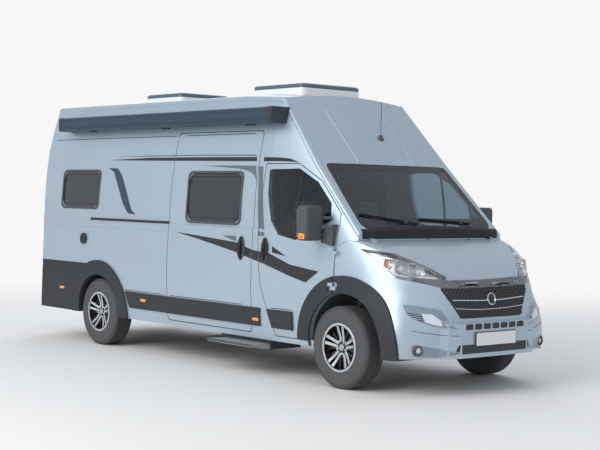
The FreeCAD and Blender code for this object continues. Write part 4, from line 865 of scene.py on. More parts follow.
class Flat:
    """A flat outline, cut into cells, that is laid onto the skin."""

    def __init__(self, outline: list[Point], cell: float,
                 seams: list[tuple[Point, Point]] = ()) -> None:
        """Cuts the outline into cells.

        Args:
            outline: its corners, in the two axes of the facing.
            cell: the size of a cell.
            seams: pairs of points, along whose lines the outline is also cut, a gap apart.
        """
        self.mesh = bmesh.new()
        face = self.mesh.faces.new([self.mesh.verts.new((a, b, 0)) for a, b in outline])
        bmesh.ops.triangulate(self.mesh, faces=[face])
        for axis in (0, 1):
            values = [p[axis] for p in outline]
            normal = Vector((1, 0, 0)) if axis == 0 else Vector((0, 1, 0))
            for k in range(math.ceil(min(values) / cell), math.floor(max(values) / cell) + 1):
                self._cut(normal * (k * cell), normal)
        for start, end in seams:
            along = Vector((end[0] - start[0], end[1] - start[1], 0)).normalized()
            normal = Vector((-along.y, along.x, 0))
            for side in (-1, 1):
                self._cut(Vector((*start, 0)) + normal * (side * SEAM_HALF), normal)

    def _cut(self, place: Vector, normal: Vector) -> None:
        """Cuts the whole sheet along a line."""
        geometry = self.mesh.verts[:] + self.mesh.edges[:] + self.mesh.faces[:]
        bmesh.ops.bisect_plane(self.mesh, geom=geometry, dist=1e-6, plane_co=place, plane_no=normal)

    def lay(self, skin: Skin, view: "Facing | PhotoCamera | Inner", lift: float = 0.0008,
            thick: float = 0.0004, step: float = 0.006) -> dict[str, Shape]:
        """Lays the sheet onto the skin as thin closed solids.

        Args:
            skin: the skin.
            view: the way in which it is cast.
            lift: how far the sheet's outer face stands off the skin.
            thick: its thickness.
            step: a cell with a corner that lies deeper than this beside its middle is left out.

        Returns:
            One shape for each body.
        """
        self.mesh.verts.index_update()
        cast = {v.index: skin.hit(*view.ray((v.co.x, v.co.y))) for v in self.mesh.verts}
        groups: dict[str, list] = {}
        for face in self.mesh.faces:
            middle = face.calc_center_median()
            start, way = view.ray((middle.x, middle.y))
            met = skin.hit(start, way)
            corners = [cast[v.index] for v in face.verts]
            if met is None or any(c is None for c in corners):
                continue
            depth = met[0].dot(way)
            if all(abs(c[0].dot(way) - depth) <= step for c in corners):
                groups.setdefault(body_of_node(met[2]), []).append(face)
        return {body: self._sheet(faces, cast).solid(lift, thick)
                for body, faces in groups.items()}

    def _sheet(self, faces: list, cast: dict) -> Sheet:
        """The sheet of one body's faces, with its loops turned to the outside.

        Args:
            faces: the flat faces that lie on the body.
            cast: where each vertex of the outline met the skin.

        Returns:
            The sheet.
        """
        sheet = Sheet()
        known: dict[int, int] = {}
        for face in faces:
            loop = []
            for vert in face.verts:
                if vert.index not in known:
                    known[vert.index] = len(sheet.places)
                    sheet.places.append(cast[vert.index][0])
                    sheet.normals.append(cast[vert.index][1])
                loop.append(known[vert.index])
            a, b, c = (sheet.places[i] for i in loop[:3])
            if (b - a).cross(c - a).dot(sheet.normals[loop[0]]) < 0:
                loop.reverse()
            sheet.loops.append(loop)
        return sheet


def patch(name: str, finish: Finish, flat: Flat, skin: Skin, view: "Facing | PhotoCamera | Inner",
          lift: float = 0.0008, thick: float = 0.0004, step: float = 0.006,
          bevel: float = 0.0) -> None:
    """Makes a piece of a sheet that lies on one body.

    Args:
        name: the piece's name.
        finish: the finish.
        flat: the sheet's outline, cut into cells.
        skin: the skin.
        view: the way in which it is cast.
        lift: how far the sheet's outer face stands off the skin.
        thick: its thickness.
        step: a cell with a corner that lies deeper than this beside its middle is left out.
        bevel: how far the piece's edges are rounded.
    """
    for body, shape in flat.lay(skin, view, lift, thick, step).items():
        shape.piece(name, finish, body, bevel)


SEAM_HALF = 0.0052
RIGHT_NODES = ("side_right", "sliding_door", "cab_frame", "door_front_right", "fenders", "roof")
LEFT_NODES = ("side_left", "cab_frame", "door_front_left", "fenders", "roof")
NOSE_NODES = ("bonnet", "fenders", "headlamps", "grille", "front_bumper")


def shares_to_side(shares: tuple[Point, ...]) -> list[Point]:
    """Turns shares of (wheelbase ahead of the front axle, roof height) into places on the side."""
    wheelbase = FRONT_AXLE.x - REAR_AXLE.x
    return [(ahead(a * wheelbase), b * ROOF_HEIGHT) for a, b in shares]


ROOF_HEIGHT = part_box("roof")[1].z
SLIDING_SHARES = ((-0.6667, 0.1429), (-0.3152, 0.1429), (-0.3152, 0.8484), (-0.6667, 0.8484))
DOOR_SHARES = ((-0.2275, 0.1404), (-0.2810, 0.3075), (-0.2957, 0.4703), (-0.2865, 0.7330),
               (-0.1747, 0.7330), (-0.0979, 0.6751), (-0.0233, 0.5684), (-0.01933, 0.5402),
               (-0.01933, 0.4566), (-0.01933, 0.1404))
DOOR_GAP = 0.004


def grown(points: list[Point], reach: float) -> list[Point]:
    """Moves every side of a closed outline outwards.

    Args:
        points: the outline's corners, in either turn.
        reach: how far each side moves; a negative value draws the outline in.

    Returns:
        The moved corners.
    """
    count = len(points)
    area = sum(points[i][0] * points[(i + 1) % count][1] - points[(i + 1) % count][0] * points[i][1]
               for i in range(count))
    turn = 1.0 if area > 0 else -1.0
    result = []
    for i, here in enumerate(points):
        before, after = points[i - 1], points[(i + 1) % count]
        first = Vector((here[0] - before[0], here[1] - before[1])).normalized()
        second = Vector((after[0] - here[0], after[1] - here[1])).normalized()
        n1 = Vector((first.y, -first.x)) * turn
        n2 = Vector((second.y, -second.x)) * turn
        between = (n1 + n2).normalized()
        far = reach / max(0.3, between.dot(n1))
        result.append((here[0] + between.x * far, here[1] + between.y * far))
    return result


def rounded(points: list[Point], radius: float, steps: int = 6) -> list[Point]:
    """Rounds the corners of a closed outline.

    Args:
        points: its corners.
        radius: the radius of each corner.
        steps: how many steps a corner has.

    Returns:
        The outline with its arcs as points.
    """
    result = []
    count = len(points)
    for i, here in enumerate(points):
        corner = Vector(here)
        back = (Vector(points[i - 1]) - corner)
        on = (Vector(points[(i + 1) % count]) - corner)
        half = back.angle(on) / 2
        if half > math.radians(88):
            result.append(here)
            continue
        reach = min(radius / math.tan(half), back.length * 0.48, on.length * 0.48)
        start, end = corner + back.normalized() * reach, corner + on.normalized() * reach
        for k in range(steps + 1):
            t = k / steps
            p = start * (1 - t) ** 2 + corner * (2 * t * (1 - t)) + end * t ** 2
            result.append((p.x, p.y))
    return result


def rectangle(a0: float, a1: float, b0: float, b1: float) -> list[Point]:
    """The corners of a rectangle."""
    return [(a0, b0), (a1, b0), (a1, b1), (a0, b1)]


def smooth_line(points: list[Point], steps: int = 6) -> list[Point]:
    """An open line through the points, rounded between them (Catmull-Rom).

    Args:
        points: the points, the ends too.
        steps: how many pieces each stretch between two of them is cut into.

    Returns:
        The places on the line.
    """
    result = []
    padded = [points[0], *points, points[-1]]
    for p0, p1, p2, p3 in zip(padded, padded[1:], padded[2:], padded[3:]):
        for k in range(steps):
            t = k / steps
            result.append(tuple(
                0.5 * (2 * b + (c - a) * t + (2 * a - 5 * b + 4 * c - d) * t * t
                       + (3 * b - a - 3 * c + d) * t ** 3)
                for a, b, c, d in zip(p0, p1, p2, p3)))
    return result + [points[-1]]


RIGHT_SKIN = Skin(*RIGHT_NODES)
LEFT_SKIN = Skin(*LEFT_NODES)
NOSE_SKIN = Skin(*NOSE_NODES)
PHOTO_SKIN = Skin(*RIGHT_NODES, "door_glass_right", "side_windows", "side_trim", "door_trim_right",
                  "bonnet", "headlamps", "grille", "front_bumper", "windscreen", "cowl",
                  "rear_bumper", "tail_lamps")


def side_outline(pixels: list[Point]) -> list[Point]:
    """Turns an outline in the photograph's pixels into places on the van's side."""
    return [(place.x, place.z) for place in map(PHOTO_SKIN.seen, pixels)]


def outermost(skin: Skin, facing: Facing, place: Point, reach: float = 0.014) -> Vector:
    """The place on the skin that stands furthest out near a place, past the gap of a seam.

    Args:
        skin: the skin.
        facing: the way in which it is cast.
        place: the place, along the two axes of an outline.
        reach: how far around the place it looks.

    Returns:
        The place that stands out.
    """
    best = None
    for da, db in ((0, 0), (reach, 0), (-reach, 0), (0, reach), (0, -reach)):
        met = skin.hit(facing.start((place[0] + da, place[1] + db)), facing.way())
        if met is not None and (best is None or met[0].dot(facing.way()) < best):
            best = met[0].dot(facing.way())
    if best is None:
        raise ValueError(f"nothing lies near {place}")
    point = facing.start(place)
    return point + facing.way() * (best - point.dot(facing.way()))


@dataclass(frozen=True)
class Decal:
    """A coloured sheet on both sides, drawn by its outline in the photograph."""

    name: str
    finish: Finish
    pixels: tuple[Point, ...]


@dataclass
class SideDecals:
    """The stripes of the sides."""

    cell: float = 0.04
    decals: tuple[Decal, ...] = (
        Decal("upper_stripe", DECAL_DARK, (
            (109.3, 160.2), (150, 157.8), (200, 157.2), (257, 157.0), (257, 161.2), (200, 160.9),
            (150, 160.7))),
        Decal("upper_stripe_cab", DECAL_DARK, (
            (264, 157.1), (280, 157.4), (291, 158.6), (299.5, 162.2), (290, 161.6), (280, 161.2),
            (264, 161.4))),
        Decal("thin_stripe", DECAL_GREY, (
            (114.6, 157.2), (150, 155.6), (200, 154.6), (257, 154.5), (257, 155.9), (200, 155.8),
            (150, 156.6))),
        Decal("curved_stripe", DECAL_BLUE, (
            (108.6, 167.9), (118.1, 168.4), (122.1, 175.1), (126.1, 189.4), (129.3, 202.2),
            (131.7, 210.2), (135.7, 214.6), (127.7, 213.3), (122.9, 203.8), (118.1, 186.2),
            (114.1, 171.9))),
        Decal("sweep", DECAL_GREY, (
            (204.6, 165.9), (222, 165.4), (240, 165.4), (256.4, 165.8), (256.6, 181), (254, 174.6),
            (248.6, 170.8), (240, 168.8), (224, 167.2))),
        Decal("pillar_band", DECAL_GREY, (
            (259.0, 166.4), (263.4, 166.6), (263.0, 186), (263.4, 210), (264.2, 236), (258.2, 236),
            (257.8, 210), (258.4, 186))),
        Decal("swoosh", DECAL_DARK, (
            (175.5, 231.7), (199.4, 235.7), (236, 242.2), (252, 249.6), (269.6, 253.6),
            (290, 264.6), (318.5, 271.6), (305.5, 282.6), (290, 276.3), (263.2, 263.6),
            (231.3, 250.4), (199.4, 239.3))),
        Decal("swoosh_triangle", DECAL_GREY, (
            (222.6, 235.3), (236.2, 235.9), (236.2, 241.2), (231.3, 239.7))),
        Decal("door_triangle", DECAL_DARK, (
            (272.0, 246.0), (286.0, 256.2), (272.0, 252.6))))

    def build(self) -> None:
        """Lays every decal on the right side, and its mirror image on the left."""
        sliding = shares_to_side(SLIDING_SHARES)
        door = grown(shares_to_side(DOOR_SHARES), -DOOR_GAP)
        seams = list(zip(sliding, sliding[1:] + sliding[:1])) + list(zip(door, door[1:] + door[:1]))
        for decal in self.decals:
            outline = side_outline(list(decal.pixels))
            for side, skin, facing in (("right", RIGHT_SKIN, Facing.RIGHT),
                                       ("left", LEFT_SKIN, Facing.LEFT)):
                flat = Flat(outline, self.cell, seams)
                for body, shape in flat.lay(skin, facing, step=0.03).items():
                    shape.piece(f"{decal.name}_{side}_{body}", decal.finish, body)


@dataclass
class Seals:
    """The dark rubber behind the gaps of the side doors."""

    half_width: float = 0.0036
    near: float = 0.007
    far: float = 0.030

    def build(self) -> None:
        """Makes a seal for every door of the sides."""
        door = grown(shares_to_side(DOOR_SHARES), -DOOR_GAP)
        self._ring("sliding_seal", shares_to_side(SLIDING_SHARES), 0.045, RIGHT_SKIN, Facing.RIGHT)
        self._ring("door_seal_right", door[:-2], 0.02, RIGHT_SKIN, Facing.RIGHT, closed=False)
        self._ring("door_seal_left", door[:-2], 0.02, LEFT_SKIN, Facing.LEFT, closed=False)

    def _ring(self, name: str, outline: list[Point], corner: float, skin: Skin, facing: Facing,
              closed: bool = True) -> None:
        """One seal along an outline.

        Args:
            name: its name.
            outline: the middle line of the gap.
            corner: the radius of its corners.
            skin: the skin beside the gap.
            facing: the side of the van.
            closed: whether the seal is a ring.
        """
        line = []
        path = rounded(outline, corner)
        for a, b in zip(path, path[1:] + (path[:1] if closed else [])):
            count = max(1, math.ceil(math.dist(a, b) / 0.12))
            line += [(a[0] + (b[0] - a[0]) * k / count, a[1] + (b[1] - a[1]) * k / count)
                     for k in range(count)]
        rings = []
        way = facing.way()
        for i, here in enumerate(line):
            before, after = line[i - 1], line[(i + 1) % len(line)]
            if not closed:
                before, after = line[max(i - 1, 0)], line[min(i + 1, len(line) - 1)]
            along = Vector((after[0] - before[0], after[1] - before[1])).normalized()
            out = Vector((-along.y, 0, along.x)) * self.half_width
            skin_place = outermost(skin, facing, here)
            rings.append([skin_place + way * self.near + out, skin_place + way * self.near - out,
                          skin_place + way * self.far - out, skin_place + way * self.far + out])
        Shape().loft(rings, caps=not closed, closed=closed).piece(name, SEAL, "body")


# ---------------------------------------------------------------------------------------------
# Geometry Nodes


class Rule(Tree):
    """A Geometry Nodes tree under construction, with named inputs."""

    def __init__(self, name: str, inputs: dict[str, str]) -> None:
        """Starts the tree.

        Args:
            name: the tree's name.
            inputs: the name of every input, but the item and its material, with its socket type.
        """
        super().__init__(bpy.data.node_groups.new(name, "GeometryNodeTree"))
        sockets = self.tree.interface
        kinds = {"Item": "Object", **inputs, "Material": "Material"}
        self.ids = {label: sockets.new_socket(
            label, in_out="INPUT", socket_type=f"NodeSocket{kind}").identifier
            for label, kind in kinds.items()}
        sockets.new_socket("Geometry", in_out="OUTPUT", socket_type="NodeSocketGeometry")
        self.source = self.tree.nodes.new("NodeGroupInput")
        self.sink = self.tree.nodes.new("NodeGroupOutput")

    def given(self, label: str) -> bpy.types.NodeSocket:
        """The socket of a named input."""
        return self.source.outputs[label]

    def vector(self, x: object, y: object, z: object) -> bpy.types.NodeSocket:
        """Adds a vector of three values."""
        return self.node("ShaderNodeCombineXYZ", {"X": x, "Y": y, "Z": z}).outputs[0]

    def plus(self, first: bpy.types.NodeSocket,
             second: bpy.types.NodeSocket) -> bpy.types.NodeSocket:
        """Adds a sum of two vectors."""
        return self.node("ShaderNodeVectorMath", {0: first, 1: second}, operation="ADD").outputs[0]

    def times(self, vector: bpy.types.NodeSocket,
              share: bpy.types.NodeSocket) -> bpy.types.NodeSocket:
        """Adds a vector times a number."""
        return self.node("ShaderNodeVectorMath", {0: vector, "Scale": share},
                         operation="SCALE").outputs[0]

    def grid(self) -> tuple[bpy.types.NodeSocket, ...]:
        """Adds a point for every row and column.

        Returns:
            The points, and the row and the column of each.
        """
        columns = self.given("Columns")
        count = self.math("MULTIPLY", columns, self.given("Rows"))
        points = self.node("GeometryNodePoints", {"Count": count}).outputs[0]
        index = self.node("GeometryNodeInputIndex").outputs[0]
        row = self.math("FLOOR", self.math("DIVIDE", self.math("ADD", index, 0.5), columns))
        return points, row, self.math("SUBTRACT", index, self.math("MULTIPLY", row, columns))

    def close(self, points: bpy.types.NodeSocket, placing: dict) -> "Rule":
        """Ends the tree with a copy of the item on every point.

        Args:
            points: the points.
            placing: the other inputs of the copies.

        Returns:
            This rule.
        """
        item = self.node("GeometryNodeObjectInfo", {"Object": self.given("Item")})
        copies = self.node("GeometryNodeInstanceOnPoints", {
            "Points": points, "Instance": item.outputs["Geometry"], **placing})
        real = self.node("GeometryNodeRealizeInstances", {"Geometry": copies.outputs[0]})
        last = self.node("GeometryNodeSetMaterial",
                         {"Geometry": real.outputs[0], "Material": self.given("Material")})
        self.feed(self.sink, {0: last.outputs[0]})
        return self

    def mesh(self, name: str, finish: Finish, values: dict[str, object]) -> bpy.types.Mesh:
        """Runs the tree once.

        Args:
            name: the name of the mesh.
            finish: the finish of what it makes.
            values: the value of every other input.

        Returns:
            The plain mesh that it makes.
        """
        carrier = bpy.data.objects.new(name, bpy.data.meshes.new(name))
        bpy.context.scene.collection.objects.link(carrier)
        modifier = carrier.modifiers.new("rule", "NODES")
        modifier.node_group = self.tree
        modifier[self.ids["Material"]] = finish.material()
        for label, value in values.items():
            modifier[self.ids[label]] = value
        result = evaluated(carrier)
        bpy.data.objects.remove(carrier)
        return result


def ring_rule() -> Rule:
    """Copies of an item on a ring about the Y axis.

    Returns:
        The tree: every copy is turned on by the same angle.
    """
    rule = Rule("ring_of_items", {"Count": "Int", "Turn": "Float"})
    points = rule.node("GeometryNodePoints", {"Count": rule.given("Count")}).outputs[0]
    index = rule.node("GeometryNodeInputIndex").outputs[0]
    share = rule.math("DIVIDE", index, rule.given("Count"))
    angle = rule.math("ADD", rule.math("MULTIPLY", share, 2 * math.pi), rule.given("Turn"))
    return rule.close(points, {"Rotation": rule.vector(0.0, angle, 0.0)})


def row_rule() -> Rule:
    """Copies of an item in rows and columns.

    Returns:
        The tree: every row and column lies a step on from the one before it.
    """
    rule = Rule("rows_of_items", {"Columns": "Int", "Rows": "Int", "Start": "Vector",
                                  "Column Step": "Vector", "Row Step": "Vector"})
    points, row, column = rule.grid()
    steps = rule.plus(rule.times(rule.given("Column Step"), column),
                      rule.times(rule.given("Row Step"), row))
    placed = rule.node("GeometryNodeSetPosition", {
        "Geometry": points, "Position": rule.plus(steps, rule.given("Start"))})
    return rule.close(placed.outputs[0], {})


def mesh_rule() -> Rule:
    """Copies of a ring in staggered rows on the front of a node, where all of a copy fits.

    Returns:
        The tree.
    """
    rule = Rule("mesh_on_node", {
        "Target": "Object", "Columns": "Int", "Rows": "Int", "Corner": "Vector", "Step": "Float",
        "Row Step": "Float", "Reach": "Float", "Rise": "Float"})
    points, row, column = rule.grid()
    shift = rule.math("MULTIPLY", rule.math("MODULO", row, 2.0), 0.5)
    across = rule.math("MULTIPLY", rule.math("ADD", column, shift), rule.given("Step"))
    up = rule.math("MULTIPLY", row, rule.given("Row Step"))
    target = rule.node("GeometryNodeObjectInfo", {"Object": rule.given("Target")})
    kept, middle = None, None
    for sides in ((0, 0), (1, 0), (-1, 0), (0, 1), (0, -1)):
        reach = [rule.math("MULTIPLY", rule.given("Reach"), float(side)) for side in sides]
        offset = rule.vector(0.0, rule.math("ADD", across, reach[0]),
                             rule.math("ADD", up, reach[1]))
        cast = rule.node("GeometryNodeRaycast", {
            "Target Geometry": target.outputs["Geometry"], "Ray Direction": (-1.0, 0.0, 0.0),
            "Source Position": rule.plus(offset, rule.given("Corner")), "Ray Length": 2 * FAR})
        if middle is None:
            middle, kept = cast, cast.outputs["Is Hit"]
            continue
        kept = rule.node("FunctionNodeBooleanMath", {0: kept, 1: cast.outputs["Is Hit"]},
                         operation="AND").outputs[0]
    normal = middle.outputs["Hit Normal"]
    place = rule.plus(middle.outputs["Hit Position"], rule.times(normal, rule.given("Rise")))
    turn = rule.node("FunctionNodeAlignRotationToVector", {"Vector": normal}, axis="X",
                     pivot_axis="AUTO").outputs[0]
    placing = {}
    for name, value, kind, use in (("turn", turn, "QUATERNION", "Rotation"),
                                   ("hit", kept, "BOOLEAN", "Selection")):
        points = rule.node("GeometryNodeStoreNamedAttribute", {
            "Geometry": points, "Name": name, "Value": value}, data_type=kind,
            domain="POINT").outputs[0]
        placing[use] = rule.node("GeometryNodeInputNamedAttribute", {"Name": name},
                                 data_type=kind).outputs[0]
    placed = rule.node("GeometryNodeSetPosition", {"Geometry": points, "Position": place})
    return rule.close(placed.outputs[0], placing)


def item_of(shape: Shape) -> bpy.types.Object:
    """An object that a rule copies; the caller removes it.

    Args:
        shape: the item's shape.

    Returns:
        The object.
    """
    made = bpy.data.objects.new("item", shape.plain("item"))
    bpy.context.scene.collection.objects.link(made)
    return made


def copies_of(rule: Rule, name: str, item: Shape, finish: Finish, values: dict) -> bpy.types.Mesh:
    """Runs a rule on an item, and removes the item.

    Args:
        rule: the rule.
        name: the name of the new mesh.
        item: the item's shape.
        finish: the finish of the copies.
        values: the values of the rule's other inputs.

    Returns:
        The copies, as one mesh.
    """
    made = item_of(item)
    mesh = rule.mesh(name, finish, {"Item": made, **values})
    bpy.data.objects.remove(made)
    return mesh


# ---------------------------------------------------------------------------------------------
# Wheels


@dataclass
class Wheel:
    """What dresses a wheel: the tyre's tread, the machined spokes, the bolts and the brake disc."""

    tyre_radius: float = 0.372
    groove: float = 0.009
    half_width: float = 0.1125
    bead_radius: float = 0.2056
    blocks: int = 70
    spokes: int = 5
    bolts: int = 5
    bolt_circle: float = 0.058

    def build(self, rings: Rule) -> None:
        """Dresses the four wheels.

        Args:
            rings: the rule that copies an item on a ring.
        """
        for corner in ("front_left", "front_right", "rear_left", "rear_right"):
            body = f"wheel_{corner}"
            centre = Vector(JOINTS[f"spin_{corner}"]["pos_m"])
            out = 1.0 if corner.endswith("left") else -1.0
            move = Matrix.Translation(centre) @ Matrix.Diagonal((1, out, 1, 1))
            tyre = self._tyre(rings)
            piece = ride_mesh(f"tyre_{corner}_dressed", self._moved(tyre, move, out), RUBBER, body,
                              crease=40)
            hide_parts(f"tyre_{corner}")
            for name, finish, shape, bevel in (
                    ("spoke_backs", WHEEL_BLACK, self._bars(0.0), 0.0),
                    ("spoke_faces", MACHINED, self._bars(0.0022), 0.0012),
                    ("rim_edge", MACHINED, self._edge(), 0.001),
                    ("hub_plate", WHEEL_BLACK, self._hub(), 0.002),
                    ("hub_cap", LAMP_GREY, self._cap(), 0.0015),
                    ("brake_disc", STEEL, self._disc(), 0.0)):
                mesh = self._moved(shape.plain(name), move, out)
                ride_mesh(f"{name}_{corner}", mesh, finish, body, bevel)
            bolts = copies_of(rings, "bolts", self._bolt(), CHROME,
                              {"Count": self.bolts, "Turn": math.pi / self.bolts})
            ride_mesh(f"wheel_bolts_{corner}", self._moved(bolts, move, out), CHROME, body)

    def _moved(self, mesh: bpy.types.Mesh, move: Matrix, out: float) -> bpy.types.Mesh:
        """The mesh moved to its wheel.

        Args:
            mesh: the mesh, about the wheel's own axle.
            move: the turn and the way to the wheel's place.
            out: 1 where the mesh faces the left side, or else -1.

        Returns:
            The moved mesh.
        """
        mesh.transform(move)
        if out < 0:
            mesh.flip_normals()
        return mesh

    def _tyre(self, rings: Rule) -> bpy.types.Mesh:
        """The casing with its tread blocks.

        Args:
            rings: the rule that copies an item on a ring.

        Returns:
            The mesh, about the wheel's own axle.
        """
        top, base, half = self.tyre_radius, self.tyre_radius - self.groove, self.half_width
        side = [(self.bead_radius, half - 0.015), (0.214, half - 0.0125), (0.224, half - 0.0085),
                (0.226, half - 0.0075), (0.236, half - 0.0045), (0.240, half - 0.0020),
                (0.262, half - 0.0002), (0.272, half), (0.286, half - 0.0002), (0.289, half
                                                                                - 0.0018),
                (0.312, half - 0.0032), (0.315, half - 0.0022), (0.331, half - 0.0062),
                (0.345, half - 0.0135), (0.3555, half - 0.0235), (base, half - 0.036)]
        profile = side + [(r, -b) for r, b in reversed(side)]
        casing = Shape().turned(profile, ORIGIN, AXLE, 84)
        rows = [(-0.0215, 0.0215, 0.0), (0.0305, 0.0585, 0.5), (-0.0585, -0.0305, 0.5)]
        for low, high, turn in rows:
            mesh = copies_of(rings, "tread", self._block(low, high, top, base), RUBBER,
                             {"Count": self.blocks, "Turn": turn * 2 * math.pi / self.blocks})
            casing.mesh.from_mesh(mesh)
        for sign in (1, -1):
            mesh = copies_of(rings, "shoulder", self._shoulder(sign, top), RUBBER,
                             {"Count": self.blocks, "Turn": 0.0})
            casing.mesh.from_mesh(mesh)
        result = bpy.data.meshes.new("tyre")
        bmesh.ops.recalc_face_normals(casing.mesh, faces=casing.mesh.faces)
        casing.mesh.to_mesh(result)
        casing.mesh.free()
        return result

    def _block(self, low: float, high: float, top: float, base: float) -> Shape:
        """A tread block between two places across the tyre, cut by a narrow sipe.

        Args:
            low: its one side, across the tyre.
            high: its other side, across the tyre.
            top: the radius of its top.
            base: the radius of its foot.

        Returns:
            The block's shape.
        """
        pitch = 2 * math.pi * top / self.blocks
        shape = Shape()
        for start, end in ((-0.40, -0.03), (0.03, 0.40)):
            rings = []
            for radius, draw in ((base - 0.003, 0.0), (top - 0.0012, 0.0), (top, 0.0010)):
                rings.append([Vector((start * pitch + draw, low + draw, radius)),
                              Vector((end * pitch - draw, low + draw, radius)),
                              Vector((end * pitch - draw, high - draw, radius)),
                              Vector((start * pitch + draw, high - draw, radius))])
            shape.loft(rings)
        return shape

    def _shoulder(self, sign: int, top: float) -> Shape:
        """A shoulder block that runs down the side.

        Args:
            sign: 1 or -1, for the side of the tyre.
            top: the radius of its top.

        Returns:
            The block's shape.
        """
        pitch = 2 * math.pi * top / self.blocks
        line = [(0.0665, top), (self.half_width - 0.034, top),
                (self.half_width - 0.022, top - 0.0045),
                (self.half_width - 0.0125, top - 0.0165), (self.half_width - 0.0085, top - 0.0285)]
        shape = Shape()
        for start, end in ((-0.40, -0.04), (0.04, 0.40)):
            outline = [Vector((start * pitch, sign * b, r)) for b, r in line]
            outline += [Vector((start * pitch, sign * (b - 0.009), r - 0.012))
                        for b, r in reversed(line)]
            shape.slab(outline, Vector(((end - start) * pitch, 0, 0)))
        return shape

    def _bars(self, face: float) -> Shape:
        """The twin bars of every spoke: their black backs, or the machined faces on them.

        Args:
            face: how far the machined faces stand off the backs, or 0 for the backs.

        Returns:
            The shape of all bars.
        """
        shape = Shape()
        sections = [(0.045, 0.0165, 0.0125, 0.071), (0.090, 0.0195, 0.0130, 0.074),
                    (0.140, 0.0255, 0.0135, 0.087), (0.180, 0.0310, 0.0140, 0.100),
                    (0.2010, 0.0335, 0.0150, 0.1075)]
        for k in range(self.spokes):
            turn = Matrix.Rotation(2 * math.pi * k / self.spokes, 4, "Y")
            for side in (-1, 1):
                rings = []
                for reach, middle, half, high in sections:
                    low = high - 0.003 if face else 0.044
                    half = half + 0.0008 - (0.0012 if face else 0.0)
                    high = high + face
                    x0, x1 = side * middle - half, side * middle + half
                    ring = [Vector((x0, low, reach)), Vector((x1, low, reach)),
                            Vector((x1, high, reach)), Vector((x0, high, reach))]
                    rings.append([turn @ p for p in ring])
                shape.loft(rings)
        return shape

    def _edge(self) -> Shape:
        """The machined edge of the rim.

        Returns:
            The shape.
        """
        profile = [(0.1975, 0.1035), (0.1975, 0.1105), (0.2025, 0.1128), (0.2185, 0.1132),
                   (0.2232, 0.1105), (0.2232, 0.1045), (0.2205, 0.1045), (0.2205, 0.1035)]
        return Shape().turned(profile, ORIGIN, AXLE, 72)

    def _hub(self) -> Shape:
        """The hub's plate, domed and with a step.

        Returns:
            The shape.
        """
        profile = [(0.030, 0.0685), (0.030, 0.0755), (0.044, 0.0765), (0.047, 0.0742),
                   (0.070, 0.0732),
                   (0.079, 0.0710), (0.0792, 0.0450), (0.0775, 0.0450)]
        return Shape().turned(profile, ORIGIN, AXLE, 60)

    def _cap(self) -> Shape:
        """The plain centre cap.

        Returns:
            The shape.
        """
        profile = [(0.0315, 0.068), (0.0320, 0.0785), (0.0300, 0.0815), (0.0265, 0.0826),
                   (0.0255, 0.0812), (0.0140, 0.0824)]
        return Shape().loft([self._circle(r, b, 48) for r, b in profile])

    def _circle(self, radius: float, out: float, sides: int, up: float = 0.0) -> list[Vector]:
        """A circle that faces outwards, this far out and up from the wheel's middle."""
        return [Vector((radius * math.sin(2 * math.pi * k / sides), out,
                        up + radius * math.cos(2 * math.pi * k / sides))) for k in range(sides)]

    def _bolt(self) -> Shape:
        """A wheel bolt's hexagon with its rounded end, on its circle.

        Returns:
            The shape.
        """
        shape = Shape()
        for radius, low, high, sides in ((0.0125, 0.070, 0.078, 24), (0.0095, 0.077, 0.087, 6)):
            shape.loft([self._circle(radius - draw, b, sides, self.bolt_circle)
                        for b, draw in ((low, 0.0), (high - 0.0012, 0.0), (high, 0.0014))])
        return shape

    def _disc(self) -> Shape:
        """The brake disc's worn ring and its pot.

        Returns:
            The shape.
        """
        ring = [(0.080, 0.0268), (0.080, 0.0288), (0.1425, 0.0288), (0.1425, 0.0268)]
        pot = [(0.0605, 0.0272), (0.0605, 0.0425), (0.0640, 0.0425), (0.0720, 0.0272)]
        shape = Shape().turned(ring, ORIGIN, AXLE, 60)
        return shape.turned(pot, ORIGIN, AXLE, 48)


# ---------------------------------------------------------------------------------------------
# The front


def both_sides(shapes: dict[str, Shape], name: str, finish: Finish, bevel: float = 0.0,
               crease: float = 35.0) -> None:
    """Makes a piece of every body's shape, and its mirror image on the left side.

    Args:
        shapes: one shape for each body.
        name: the start of the pieces' names.
        finish: their finish.
        bevel: how far their edges are rounded.
        crease: the angle in degrees from which an edge stays sharp.
    """
    for body, shape in shapes.items():
        other = {"door_right": "door_left"}.get(body, body)
        copy = shape.mirrored()
        shape.piece(f"{name}_right_{body}", finish, body, bevel, crease)
        copy.piece(f"{name}_left_{body}", finish, other, bevel, crease)


def twins(shape: Shape, name: str, finish: Finish) -> None:
    """Makes a piece of a shape on the right, and of its mirror image on the left."""
    both_sides({"body": shape}, name, finish)


def skin_path(skin: Skin, view: "Facing | PhotoCamera", places: list[Point], off: float,
              steps: int = 4) -> list[Vector]:
    """A smooth path on the skin, lifted off it.

    Args:
        skin: the skin.
        view: the way in which the line is cast.
        places: the line's places, along the view's two axes.
        off: how far the path stands off the skin.
        steps: how many pieces each stretch between two of them is cut into.

    Returns:
        The path.
    """
    result = []
    for place in smooth_line(places, steps):
        met = skin.hit(*view.ray(place))
        if met is not None:
            result.append(met[0] + met[1] * off)
    return result


